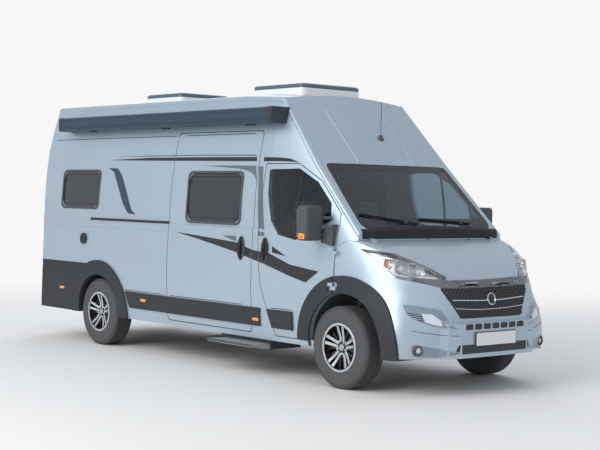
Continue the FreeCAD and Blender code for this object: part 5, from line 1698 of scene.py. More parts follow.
@dataclass
class Headlamps:
    """Both headlamps: a clear cover over a deep housing with its bowls."""

    cover: float = 0.0025
    depth: float = 0.052
    wall: float = 0.002
    bowls: tuple[tuple[str, Point, float], ...] = (
        ("dipped", (403.5, 268.4), 0.062), ("main", (420.0, 271.6), 0.050),
        ("indicator", (389.0, 263.0), 0.036))

    def build(self) -> None:
        """Replaces the lamps' solids."""
        skin = Skin("headlamps")
        out = Vector((0.78, -0.42, 0.46)).normalized()
        for sign, side in ((1, "right"), (-1, "left")):
            way = Vector((out.x, out.y * sign, out.z))
            sheet = self._half(outer_sheet("headlamps", way, 0.25), sign)
            sheet.solid(0.0, self.cover).piece(f"lamp_cover_{side}", CLEAR, "body")
            depth = -way * self.depth
            sheet.bowl(0.0032, depth, self.wall).piece(
                f"lamp_housing_{side}", LAMP_GREY, "body")
        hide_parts("headlamps")
        for name, pixel, radius in self.bowls:
            place = skin.seen(pixel)
            self._bowl(name, place, radius)
        line = skin_path(skin, CAMERA, [(383.5, 266.4), (391.0, 271.6), (399.0, 275.6),
                                        (417.0, 277.3),
                                        (436.0, 278.2)], -0.012)
        guide = Shape().pipe(line, 0.0055, 10)
        twins(guide, "lamp_light_guide", WHITE_LENS)
        frame_line = skin_path(skin, CAMERA, [(380.0, 256.6), (396.0, 259.2), (412.0, 262.3),
                                              (426.0, 266.2), (437.0, 273.4)], -0.020)
        twins(Shape().pipe(frame_line, 0.004, 8), "lamp_brow", CHROME)

    def _half(self, sheet: Sheet, sign: int) -> Sheet:
        """The part of the sheet on one side of the van.

        Args:
            sheet: the sheet of both lamps.
            sign: 1 for the left side, -1 for the right.

        Returns:
            That side's sheet.
        """
        kept = Sheet()
        known: dict[int, int] = {}
        for loop in sheet.loops:
            if any(sheet.places[i].y * sign > 0 for i in loop):
                continue
            new = []
            for i in loop:
                if i not in known:
                    known[i] = len(kept.places)
                    kept.places.append(sheet.places[i])
                    kept.normals.append(sheet.normals[i])
                new.append(known[i])
            kept.loops.append(new)
        return kept

    def _bowl(self, name: str, place: Vector, radius: float) -> None:
        """A bowl with its ring and lens, which looks ahead and outwards.

        Args:
            name: the lamp's name, a part of the pieces' names.
            place: the place on the cover that the bowl lies behind.
            radius: the radius of its mouth.
        """
        axis = Vector((0.96, -0.22, 0.03)).normalized()
        centre = place - axis * (radius * 0.80) - Vector((0.012, -0.006, 0.008))
        reach = radius * 0.72
        profile = []
        for k in range(9):
            angle = math.radians(14 + 9 * k)
            profile.append((radius * math.sin(angle), reach * (1 - math.cos(angle))))
        outer = [(r + 0.002, a - 0.002) for r, a in reversed(profile)]
        bowl = Shape().turned(profile + outer, centre, axis, 48)
        twins(bowl, f"lamp_{name}_bowl", REFLECTOR)
        ring = [(radius + 0.0005, reach), (radius + 0.0005, reach * 0.55),
                (radius + 0.006, reach * 0.55),
                (radius + 0.0055, reach + 0.002), (radius + 0.003, reach + 0.003)]
        twins(Shape().turned(ring, centre, axis, 48), f"lamp_{name}_ring", CHROME)
        lens_radius = radius * 0.52
        lens = []
        for k in range(1, 9):
            angle = math.radians(90 * k / 8)
            lens.append((lens_radius * math.sin(angle),
                         reach * 0.30 + lens_radius * 0.7 * math.cos(angle)))
        lens += [(lens_radius, reach * 0.12), (lens_radius * 0.2, reach * 0.12)]
        shape = Shape().turned(lens, centre, axis, 36)
        twins(shape, f"lamp_{name}_lens", AMBER if name == "indicator" else WHITE_LENS)


@dataclass
class Nose:
    """What dresses the bumper and the grille."""

    mesh_step: float = 0.034
    slots: int = 7
    slot_width: float = 0.084
    slot_height: float = 0.046
    slot_pitch: float = 0.112
    slot_middle: float = 0.606

    def build(self, meshes: Rule) -> None:
        """Makes every piece.

        Args:
            meshes: the rule that copies a ring over a node's front.
        """
        self._grille(meshes)
        self._bar()
        self._lamps()
        self._slots()
        self._intake()
        self._plate()
        self._lines()

    def _grille(self, meshes: Rule) -> None:
        """The honeycomb, the two bright bars and the plain ring with its plate.

        Args:
            meshes: the rule that copies a ring over a node's front.
        """
        cell = Shape()
        radius, inner = self.mesh_step * 0.575, self.mesh_step * 0.47
        rings = []
        for r, x in ((radius, -0.004), (radius, 0.0045), (inner, 0.0055), (inner, -0.004)):
            rings.append([Vector((x, r * math.sin(math.pi * k / 3 + math.pi / 6) * 1.25,
                                  r * math.cos(math.pi * k / 3 + math.pi / 6) * 0.80))
                          for k in range(6)])
        cell.loft(rings, closed=True)
        low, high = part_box("grille")
        columns = math.ceil((high.y - low.y) / (self.mesh_step * 1.30)) + 2
        lines = math.ceil((high.z - low.z) / (self.mesh_step * 0.80)) + 2
        mesh = copies_of(meshes, "grille_mesh", cell, DARK_PLASTIC, {
            "Target": NODES["grille"], "Columns": columns, "Rows": lines,
            "Corner": (FAR, low.y, low.z), "Step": self.mesh_step * 1.26,
            "Row Step": self.mesh_step * 0.74, "Reach": 0.014, "Rise": 0.001})
        ride_mesh("grille_mesh", mesh, DARK_PLASTIC, "body")
        skin = Skin("grille", "front_bumper")
        for name, line, half in (
                ("upper", [(452.0, 300.4), (470.0, 300.6), (486.0, 300.3), (504.0, 298.9),
                           (522.0, 296.3)], 0.0065),
                ("lower", [(455.0, 308.6), (470.0, 309.5), (486.0, 309.2), (504.0, 307.6),
                           (523.0, 304.6)],
                 0.0045)):
            path = skin_path(skin, CAMERA, line, 0.006)
            Shape().pipe(path, half, 12).piece(f"grille_{name}_bar", CHROME, "body")
        met = skin.hit(*Facing.FRONT.ray((0.0, 0.836)))
        axis = Vector((met[1].x, 0, met[1].z)).normalized()
        ring = [(0.043, 0.0), (0.043, 0.014), (0.046, 0.019), (0.051, 0.020), (0.056, 0.016),
                (0.058, 0.0)]
        Shape().turned(ring, met[0] - axis * 0.002, axis, 72).piece("grille_ring", CHROME, "body")
        plate = [(0.0005, -0.002), (0.0425, -0.002), (0.0425, 0.010), (0.030, 0.0125),
                 (0.0005, 0.0135)]
        Shape().turned(plate, met[0], axis, 72).piece("grille_ring_plate", BLACK_GLOSS, "body")

    def _bar(self) -> None:
        """The gloss bar over the grille, which runs on under the lamps."""
        pixels = [(397, 272.6), (408, 276.0), (420, 278.2), (434, 279.8), (448, 280.4),
                  (464, 280.3),
                  (480, 279.7), (500, 278.2), (519, 276.3), (527, 275.0), (526, 283.4), (519,
                                                                                         284.6),
                  (500, 286.4), (480, 287.8), (464, 288.6), (450, 288.8), (441, 288.0), (433,
                                                                                         286.0),
                  (424, 283.0), (413, 278.6)]
        for body, shape in Flat(pixels, 2.0).lay(NOSE_SKIN, CAMERA, 0.0035, 0.0045, 0.035).items():
            shape.piece(f"nose_bar_{body}", GUNMETAL, body)

    def _lamps(self) -> None:
        """The daytime lamps and the fog lamps in their scoops; a darker sheet in each scoop is
        painted shade.
        """
        skin = Skin("front_bumper", "fenders")
        scoop = [(402.0, 305.0), (405.0, 304.6), (420.0, 306.4), (434.0, 309.0), (442.0, 311.5),
                 (452.0, 325.0), (459.0, 329.0), (446.0, 328.8), (430.0, 325.6), (414.0, 319.5),
                 (406.0, 313.0)]
        # The scoop is body colour; this darker sheet laid in it is painted shade.
        both_sides(Flat(scoop, 3.0).lay(skin, CAMERA, step=0.03), "daytime_scoop", SCOOP_PAINTED_SHADE)
        path = skin_path(skin, CAMERA, scoop + scoop[:1], 0.0, 3)
        twins(Shape().pipe(path, 0.0045, 8), "daytime_scoop_lip", PAINT)
        vent = [(405.5, 312.5), (421.0, 314.8), (423.5, 322.0), (413.0, 319.3)]
        both_sides(Flat(vent, 4.0).lay(skin, CAMERA, 0.0018, step=0.03), "daytime_vent",
                   BLACK_GLOSS)
        for k in range(3):
            start, end = (406.5 + 2.2 * k, 314.2 + 2.0 * k), (420.6 + 1.0 * k, 315.9 + 2.1 * k)
            twins(Shape().pipe(skin_path(skin, CAMERA, [start, end], 0.004), 0.004, 10),
                       f"daytime_slat_{k}", PAINT)
        lens = [(421.5, 314.0), (432.0, 314.4), (441.5, 321.5), (447.5, 326.6), (434.0, 325.4),
                (424.8, 322.2)]
        both_sides(Flat(lens, 3.0).lay(skin, CAMERA, 0.006, 0.009, 0.03), "daytime_lamp",
                   REFLECTOR, 0.0015)
        fog = [(411.0, 346.0), (413.5, 345.0), (430.0, 347.0), (448.0, 351.0), (460.0, 353.5),
               (444.0, 357.6), (426.0, 357.6), (413.0, 356.0)]
        # The fog lamp's scoop is body colour; this darker sheet laid in it is painted shade.
        both_sides(Flat(fog, 3.0).lay(skin, CAMERA, step=0.04), "fog_scoop", SCOOP_PAINTED_SHADE)
        path = skin_path(skin, CAMERA, fog + fog[:1], 0.0, 3)
        twins(Shape().pipe(path, 0.0045, 8), "fog_scoop_lip", PAINT)
        met = skin.hit(*CAMERA.ray((418.0, 351.0)))
        axis = (met[1] + Vector((1.2, 0, 0.1))).normalized()
        bezel = [(0.034, -0.004), (0.034, 0.010), (0.038, 0.015), (0.046, 0.010), (0.048, -0.012)]
        twins(Shape().turned(bezel, met[0], axis, 48), "fog_lamp_bezel", DARK_PLASTIC)
        lens = [(0.0005, -0.002), (0.0335, -0.002), (0.0335, 0.006), (0.024, 0.0105),
                (0.0005, 0.0125)]
        twins(Shape().turned(lens, met[0], axis, 48), "fog_lamp_lens", CLEAR)
        glow = [(0.0005, -0.001), (0.024, -0.001), (0.021, 0.004), (0.0005, 0.006)]
        twins(Shape().turned(glow, met[0], axis, 36), "fog_lamp_bowl", REFLECTOR)

    def _slots(self) -> None:
        """The row of dark openings over the number plate, each with its rim."""
        skin = Skin("front_bumper")
        first = -(self.slots - 1) / 2 * self.slot_pitch
        dark, rims = Shape(), Shape()
        for k in range(self.slots):
            middle = first + k * self.slot_pitch
            outline = rounded(rectangle(middle - self.slot_width / 2, middle + self.slot_width / 2,
                                        self.slot_middle - self.slot_height / 2,
                                        self.slot_middle + self.slot_height / 2), 0.010, 4)
            for shape in Flat(outline, 0.05).lay(skin, Facing.FRONT, step=0.03).values():
                dark.join(shape)
            path = []
            for place in outline:
                met = skin.hit(*Facing.FRONT.ray(place))
                path.append(met[0] + met[1] * 0.0005)
            rims.pipe(path, 0.0032, 8, closed=True)
        dark.piece("bumper_slots", BLACK_GLOSS, "body")
        rims.piece("bumper_slot_rims", DARK_PLASTIC, "body")

    def _intake(self) -> None:
        """The low air intake: a dark band with its lattice."""
        skin = Skin("front_bumper")
        outline = rounded([(-0.50, 0.372), (0.50, 0.372), (0.46, 0.452), (-0.46, 0.452)], 0.022, 4)
        patch("intake", BLACK_GLOSS, Flat(outline, 0.06), skin, Facing.FRONT, step=0.03)
        slats = Shape()
        for z in (0.386, 0.404, 0.422, 0.440):
            line = [(y / 10, z) for y in range(-4, 5)]
            slats.pipe(skin_path(skin, Facing.FRONT, line, 0.002, 1), 0.0035, 8)
        for k in range(-5, 6):
            slats.pipe(skin_path(skin, Facing.FRONT, [(k * 0.082, 0.376), (k * 0.082, 0.448)],
                                 0.002, 1), 0.003, 8)
        slats.piece("intake_lattice", DARK_PLASTIC, "body")

    def _plate(self) -> None:
        """The blank number plate on its holder."""
        skin = Skin("front_bumper")
        middle = skin.hit(*Facing.FRONT.ray((0.0, 0.495)))[0]
        for name, half, low, high, back, front, finish in (
                ("plate_holder", 0.268, 0.432, 0.558, -0.004, 0.010, DARK_PLASTIC),
                ("plate", 0.260, 0.439, 0.551, 0.008, 0.0125, PLATE_WHITE)):
            ring = [Vector((middle.x + back, y, z)) for y, z in
                    rounded(rectangle(-half, half, low, high), 0.012, 4)]
            Shape().slab(ring, Vector((front - back, 0, 0))).piece(
                f"front_{name}", finish, "body", 0.001)

    def _lines(self) -> None:
        """The joint lines of the bumper, and the washer jets on the bonnet."""
        skin = Skin("front_bumper", "fenders")
        line = [(411.0, 331.0), (425.0, 333.2), (442.0, 335.4), (460.0, 336.2)]
        twins(Shape().pipe(skin_path(skin, CAMERA, line, 0.0), 0.0022, 8), "bumper_line_low", SEAL)
        bonnet = Skin("bonnet")
        for k, y in enumerate((-0.075, 0.471)):
            met = bonnet.hit(*Facing.TOP.ray((ahead(0.175), y)))
            jet = [(0.0005, -0.003), (0.016, -0.003), (0.015, 0.003), (0.008, 0.0075),
                   (0.0005, 0.008)]
            Shape().turned(jet, met[0], met[1], 24).piece(f"washer_jet_{k}", DARK_PLASTIC,
                                                          "bonnet_lid")


@dataclass
class Screen:
    """The wipers and the windscreen's dark edge."""

    arm_radius: float = 0.007

    def build(self) -> None:
        """Makes the pieces round the windscreen."""
        skin = Skin("windscreen", "cowl")
        glass = Skin("windscreen")
        self._border(glass)
        for name, foot, ends in (("right", -0.30, ((-0.80, 1.560), (-0.16, 1.470))),
                                 ("left", 0.44, ((-0.10, 1.520), (0.56, 1.478)))):
            line = [ends[0], ((ends[0][0] + ends[1][0]) / 2, (ends[0][1] + ends[1][1]) / 2),
                    ends[1]]
            rubber = skin_path(glass, Facing.FRONT, line, 0.0065, 8)
            back = [p + Vector((0.006, 0, 0.006)) for p in rubber]
            blade = Shape().pipe(rubber, 0.0045, 8)
            blade.pipe(back, 0.0055, 8)
            blade.piece(f"wiper_blade_{name}", SEAL, "body")
            centre = back[len(back) // 2] + Vector((0.008, 0, 0.008))
            base = skin.hit(*Facing.TOP.ray((ahead(0.085), foot)))[0]
            knee = base.lerp(centre, 0.5) + Vector((0.030, 0, 0.016))
            arm = Shape().pipe([base + Vector((0, 0, -0.006)), base + Vector((0.004, 0, 0.026)),
                                knee, centre], self.arm_radius, 10, flat=0.7)
            cap = [(0.0005, -0.004), (0.019, -0.004), (0.018, 0.016), (0.012, 0.022),
                   (0.0005, 0.023)]
            arm.turned(cap, base, Vector((0.2, 0, 1)), 24)
            arm.piece(f"wiper_arm_{name}", DARK_PLASTIC, "body")

    def _border(self, glass: Skin) -> None:
        """The black border that is baked onto the windscreen's edge.

        Args:
            glass: the windscreen's skin.
        """
        low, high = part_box("windscreen")
        levels = [low.z + 0.014 + (high.z - low.z - 0.028) * k / 20 for k in range(21)]
        edges = []
        for z in levels:
            inside, outside = 0.3, high.y + 0.05
            for _ in range(16):
                middle = (inside + outside) / 2
                if glass.hit(*Facing.FRONT.ray((middle, z))) is None:
                    outside = middle
                else:
                    inside = middle
            edges.append(inside - 0.004)
        sides = {}
        for name, sign in (("right", -1), ("left", 1)):
            outer = [(sign * y, z) for y, z in zip(edges, levels)]
            inner = [(sign * (y - 0.040), z) for y, z in zip(edges, levels)]
            sides[name] = outer + inner[::-1]
        sides["foot"] = rectangle(-edges[0] + 0.04, edges[0] - 0.04, levels[0], levels[0] + 0.075)
        sides["head"] = rectangle(-edges[-1] + 0.04, edges[-1] - 0.04, levels[-1] - 0.045,
                                  levels[-1])
        for name, outline in sides.items():
            patch(f"screen_border_{name}", BLACK_GLOSS, Flat(outline, 0.08), glass, Facing.FRONT,
                  step=0.05)


# ---------------------------------------------------------------------------------------------
# The sides and the roof


def islands(name: str) -> list[tuple[Vector, Vector]]:
    """The boxes of a node's separate solids.

    Args:
        name: the node.

    Returns:
        The low and high corner of each.
    """
    mesh = bmesh.new()
    mesh.from_mesh(NODES[name].data)
    bmesh.ops.remove_doubles(mesh, verts=mesh.verts, dist=1e-5)
    waiting = set(mesh.verts)
    boxes = []
    while waiting:
        group, front = set(), [waiting.pop()]
        while front:
            vert = front.pop()
            group.add(vert)
            for edge in vert.link_edges:
                other = edge.other_vert(vert)
                if other in waiting:
                    waiting.remove(other)
                    front.append(other)
        low = Vector([min(v.co[i] for v in group) for i in range(3)])
        boxes.append((low, Vector([max(v.co[i] for v in group) for i in range(3)])))
    mesh.free()
    return boxes


def frame_round(skin: Skin, facing: Facing, outline: list[Point], width: float, rise: float,
                sink: float = 0.004) -> Shape:
    """A flat frame that stands on the skin round an outline.

    Args:
        skin: the skin.
        facing: the side that it is on.
        outline: the frame's inner edge.
        width: how wide the frame is.
        rise: how far it stands off the skin.
        sink: how far it reaches into the skin.

    Returns:
        The frame.
    """
    outer = grown(outline, width)
    way = facing.way()
    rings = []
    for inside, outside in zip(outline, outer):
        inner = outermost(skin, facing, inside, 0.02)
        out = outermost(skin, facing, outside, 0.02)
        rings.append([inner + way * sink, inner - way * (rise * 0.7),
                      inner.lerp(out, 0.35) - way * rise,
                      out - way * (rise * 0.55), out + way * sink])
    return Shape().loft(rings, caps=False, closed=True)


@dataclass
class SideFittings:
    """Window frames, handles, rail, markers, filler cap, awning and mirrors."""

    frame_width: float = 0.024
    frame_rise: float = 0.013
    handle: tuple[float, float] = (0.058, 0.118)

    def build(self, rows: Rule) -> None:
        """Makes every piece of the sides.

        Args:
            rows: the rule that copies an item in rows and columns.
        """
        self._windows()
        self._handles()
        self._rail()
        self._markers()
        self._cap()
        self._awning()
        self._mirrors()
        self._lines()
        self._step(rows)
        self._door_bar()

    def _windows(self) -> None:
        """A proud frame round every window of the living space."""
        for k, (low, high) in enumerate(sorted(islands("side_windows"), key=lambda box: box[0].x)):
            right = low.y < 0
            facing = Facing.RIGHT if right else Facing.LEFT
            outline = rounded(rectangle(low.x + 0.002, high.x - 0.002, low.z + 0.002,
                                        high.z - 0.002),
                              0.055, 5)
            skin = Skin(*(RIGHT_NODES if right else LEFT_NODES), "side_windows")
            frame_round(skin, facing, outline, self.frame_width, self.frame_rise).piece(
                f"window_frame_{k}", DARK_PLASTIC, "body", 0.0, 40)
            line = [outermost(skin, facing, p, 0.004) - facing.way() * 0.001
                    for p in rounded(grown(outline, -0.034), 0.001, 1)]
            Shape().pipe(line, 0.0022, 6, closed=True).piece(f"window_seal_{k}", SEAL, "body")

    def _handles(self) -> None:
        """The upright handles of the doors, each over its dark cup."""
        places = (("sliding", ahead(-1.443), 1.20, (1,)), ("front", ahead(-1.075), 1.20, (1, -1)))
        for name, x, z, sides in places:
            for sign in sides:
                skin, facing = (RIGHT_SKIN, Facing.RIGHT) if sign > 0 else (LEFT_SKIN, Facing.LEFT)
                oval = [(x + self.handle[0] * math.cos(2 * math.pi * k / 28),
                         z + self.handle[1] * math.sin(2 * math.pi * k / 28)) for k in range(28)]
                side = "right" if sign > 0 else "left"
                for body, shape in Flat(oval, 0.06).lay(skin, facing, 0.0035, 0.005).items():
                    shape.piece(f"handle_cup_{name}_{side}", DARK_PLASTIC, body, 0.001)
                    rings = []
                    for k in range(9):
                        t = -1 + k / 4
                        place = skin.hit(*facing.ray((x, z + t * self.handle[1] * 0.84)))
                        rise = 0.006 + 0.027 * (1 - t ** 4)
                        centre = place[0] - facing.way() * rise
                        half, deep = 0.021 - 0.006 * abs(t), 0.0065
                        rings.append([centre + Vector((half * math.cos(2 * math.pi * m / 14), 0, 0))
                                      + facing.way() * (deep * math.sin(2 * math.pi * m / 14))
                                      for m in range(14)])
                    bar = Shape().loft(rings)
                    for t in (-0.80, 0.80):
                        place = skin.hit(*facing.ray((x, z + t * self.handle[1])))[0]
                        bar.pipe([place + facing.way() * 0.002, place - facing.way() * 0.020],
                                 0.012, 14)
                    bar.piece(f"handle_grip_{name}_{side}", STRIP_BLACK, body, 0.0, 50)

    def _rail(self) -> None:
        """The sliding door's rail, with its dark end."""
        skin, facing = RIGHT_SKIN, Facing.RIGHT
        back, front, z = ahead(-4.205), ahead(-2.705), 1.410
        rings = []
        for k in range(17):
            x = back + (front - back) * k / 16
            place = skin.hit(*facing.ray((x, z)))[0]
            rings.append([place + Vector((0, dy, dz)) for dy, dz in (
                (0.003, -0.019), (-0.010, -0.019), (-0.0125, -0.013), (-0.006, -0.006), (-0.006,
                                                                                         0.006),
                (-0.0125, 0.013), (-0.010, 0.019), (0.003, 0.019))])
        Shape().loft(rings).piece("door_rail", ALUMINIUM, "body", 0.0008)
        end = rings[0]
        cap = Shape().loft([[p + Vector((-0.030, 0.001, 0)) for p in end],
                            [p + Vector((0.004, -0.0012, 0)) for p in end]])
        cap.piece("door_rail_end", DARK_PLASTIC, "body", 0.001)

    def _markers(self) -> None:
        """The amber side markers."""
        for k, (forward, z) in enumerate(((-4.825, 0.595), (-3.11, 0.565), (-1.178, 0.528))):
            x = ahead(forward)
            outline = rounded(rectangle(x - 0.048, x + 0.048, z - 0.014, z + 0.014), 0.009, 4)
            for side, facing, nodes in (
                    ("right", Facing.RIGHT, RIGHT_NODES), ("left", Facing.LEFT, LEFT_NODES)):
                skin = Skin(*nodes, "side_trim", "rear_bumper", f"door_trim_{side}")
                for body, shape in Flat(outline, 0.06).lay(skin, facing, 0.008, 0.010).items():
                    shape.piece(f"side_marker_{k}_{side}_{body}", AMBER, body, 0.002)

    def _cap(self) -> None:
        """The round service cap on the right, and the fuel flap and vents of the left side."""
        met = RIGHT_SKIN.hit(*Facing.RIGHT.ray((ahead(-4.353), 1.182)))
        ring = [(0.0005, -0.002), (0.055, -0.002), (0.055, 0.006), (0.048, 0.009), (0.040, 0.005),
                (0.0005, 0.005)]
        Shape().turned(ring, met[0], Vector((0, -1, 0)), 40).piece("service_cap", DARK_PLASTIC,
                                                                   "body")
        bar = Shape().box((met[0].x - 0.032, met[0].y - 0.0095, met[0].z - 0.007),
                          (met[0].x + 0.032, met[0].y - 0.004, met[0].z + 0.007))
        bar.piece("service_cap_grip", STRIP_BLACK, "body", 0.002)
        for name, forward, z, half, high in (("service_door", -3.55, 0.93, 0.16, 0.15),
                                             ("vent_low", -2.55, 1.02, 0.17, 0.075),
                                             ("vent_high", -2.55, 1.42, 0.17, 0.075)):
            x = ahead(forward)
            outline = rounded(rectangle(x - half, x + half, z - high, z + high), 0.02, 4)
            patch(f"left_{name}", WHITE_PLASTIC, Flat(outline, 0.2), LEFT_SKIN, Facing.LEFT, 0.008,
                  0.010, bevel=0.002)
            if name.startswith("vent"):
                slats = Shape()
                for k in range(5):
                    line = [(x - half + 0.025 + m * (half - 0.025) / 2,
                             z - high + 0.027 + k * 0.024)
                            for m in range(5)]
                    slats.pipe(skin_path(LEFT_SKIN, Facing.LEFT, line, 0.010, 1), 0.0045, 8)
                slats.piece(f"left_{name}_slats", LAMP_GREY, "body")
        met = LEFT_SKIN.hit(*Facing.LEFT.ray((ahead(-1.42), 1.02)))
        outline = rounded(rectangle(met[0].x - 0.085, met[0].x + 0.085, 0.93, 1.11), 0.03, 5)
        line = [LEFT_SKIN.hit(*Facing.LEFT.ray(p))[0] for p in outline]
        Shape().pipe(line, 0.0022, 6, closed=True).piece("fuel_flap_line", SEAL, "body")

    def _awning(self) -> None:
        """The awning's end caps, its front bar's lines and its brackets."""
        mesh = NODES["awning"].data
        low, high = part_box("awning")
        middle = Vector((0, (low.y + high.y) / 2, (low.z + high.z) / 2))
        for name, x, way in (("back", low.x, -1), ("front", high.x, 1)):
            ends = [v.co.copy() for v in mesh.vertices if abs(v.co.x - x) < 0.002]
            ends.sort(key=lambda p: math.atan2(p.z - middle.z, p.y - middle.y))
            ring = []
            for p in ends:
                if not ring or (p - ring[-1]).length > 0.002:
                    ring.append(p)
            wide = [Vector((0, (p.y - middle.y) * 1.03, (p.z - middle.z) * 1.04)) + middle
                    for p in ring]
            narrow = [Vector((0, (p.y - middle.y) * 0.96, (p.z - middle.z) * 0.94)) + middle
                      for p in ring]
            rings = [[Vector((x + way * d, p.y, p.z)) for p in source] for d, source in (
                (-0.055, wide), (0.006, wide), (0.014, narrow))]
            Shape().loft(rings).piece(f"awning_cap_{name}", AWNING_DARK, "body", 0.002)
        lines = Shape()
        skin = Skin("awning")
        for z in (low.z + 0.022, low.z + 0.040, high.z - 0.030):
            path = [skin.hit(*Facing.RIGHT.ray((low.x + 0.06 + (high.x - low.x - 0.12) * k / 6, z)))
                    for k in range(7)]
            lines.pipe([p[0] for p in path], 0.0035, 8)
        lines.piece("awning_lines", AWNING_DARK, "body")
        rail = Shape()
        for x in (low.x + 0.5, (low.x + high.x) / 2, high.x - 0.5):
            rail.box((x - 0.06, high.y - 0.10, low.z - 0.012),
                     (x + 0.06, high.y - 0.005, low.z + 0.004))
        rail.piece("awning_brackets", AWNING_DARK, "body", 0.003)

    def _mirrors(self) -> None:
        """The mirrors' glasses and repeaters."""
        for side, sign in (("right", -1), ("left", 1)):
            skin = Skin(f"mirror_{side}")
            body = f"door_{side}"
            x = ahead(-0.355)
            for name, low, high in (("main", 1.425, 1.606), ("wide", 1.342, 1.412)):
                outline = rounded(rectangle(1.072, 1.236, low, high), 0.022, 5)
                ring = [Vector((x + 0.001, sign * y, z)) for y, z in outline]
                Shape().slab(ring, Vector((-0.004, 0, 0))).piece(
                    f"mirror_glass_{name}_{side}", CHROME, body, 0.001)
            frame = rounded(rectangle(1.060, 1.246, 1.330, 1.618), 0.034, 5)
            line = [Vector((x - 0.001, sign * y, z)) for y, z in frame]
            Shape().pipe(line, 0.005, 8, closed=True).piece(f"mirror_edge_{side}", STRIP_BLACK,
                                                            body)
            outline = rounded(rectangle(x + 0.045, x + 0.125, 1.335, 1.385), 0.012, 4)
            facing = Facing.RIGHT if sign < 0 else Facing.LEFT
            patch(f"mirror_repeater_{side}", AMBER, Flat(outline, 0.2), skin, facing, 0.004, 0.006,
                  0.03, 0.0015)

    def _lines(self) -> None:
        """The gutter, the belt's crease and the joint over the sill, as fine lines."""
        for side, skin, facing in (("right", RIGHT_SKIN, Facing.RIGHT),
                                   ("left", LEFT_SKIN, Facing.LEFT)):
            for name, start, end, z, radius, finish in (
                    ("gutter", -5.20, -1.24, 2.318, 0.0035, SEAL),
                    ("belt", -5.22, -2.74, 1.322, 0.004, PAINT),
                    ("sill", -4.28, -0.66, 0.652, 0.003, SEAL)):
                line = [(ahead(start + (end - start) * k / 24), z) for k in range(25)]
                parts: dict[str, list[list[Vector]]] = {}
                last = None
                for place in line:
                    met = skin.hit(*facing.ray(place))
                    if met is None:
                        last = None
                        continue
                    owner = met[2]
                    if owner != last:
                        parts.setdefault(body_of_node(owner), []).append([])
                    parts[body_of_node(owner)][-1].append(met[0])
                    last = owner
                for body, paths in parts.items():
                    shape = Shape()
                    made = [shape.pipe(path, radius, 6) for path in paths if len(path) > 1]
                    if made:
                        shape.piece(f"line_{name}_{side}_{body}", finish, body)

    def _step(self, rows: Rule) -> None:
        """The entrance step's ribs and its rubber edge.

        Args:
            rows: the rule that copies an item in rows and columns.
        """
        low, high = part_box("entrance_step")
        top = Skin("entrance_step").hit(*Facing.TOP.ray(((low.x + high.x) / 2, low.y + 0.08)))[0].z
        rib = Shape().box((low.x + 0.03, -0.0025, -0.001), (high.x - 0.03, 0.0025, 0.0028))
        count = 15
        reach = 0.225
        mesh = copies_of(rows, "step_ribs", rib, ALUMINIUM, {
            "Columns": 1, "Rows": count, "Start": (0.0, low.y + 0.014, top),
            "Column Step": (0.0, 0.0, 0.0), "Row Step": (0.0, reach / (count - 1), 0.0)})
        ride_mesh("step_ribs", mesh, ALUMINIUM, "step")
        edge = Shape().box((low.x + 0.005, low.y - 0.003, top - 0.018),
                           (high.x - 0.005, low.y + 0.010, top + 0.004))
        edge.piece("step_edge", DARK_PLASTIC, "step", 0.0025)

    def _door_bar(self) -> None:
        """The upright bar that divides the front doors' windows."""
        for side, facing in (("right", Facing.RIGHT), ("left", Facing.LEFT)):
            skin = Skin(f"door_glass_{side}")
            line = []
            for k in range(40):
                met = skin.hit(*facing.ray((ahead(-0.64), 1.30 + 0.018 * k)))
                if met is not None:
                    line.append(met[0])
            if len(line) > 2:
                rings = [[p + Vector((dx, 0, 0)) + facing.way() * dy for dx, dy in (
                    (-0.014, 0.001), (-0.014, -0.006), (0.014, -0.006), (0.014, 0.001))]
                    for p in (line[1], line[len(line) // 2], line[-2])]
                Shape().loft(rings).piece(f"window_bar_{side}", STRIP_BLACK, f"door_{side}", 0.002)


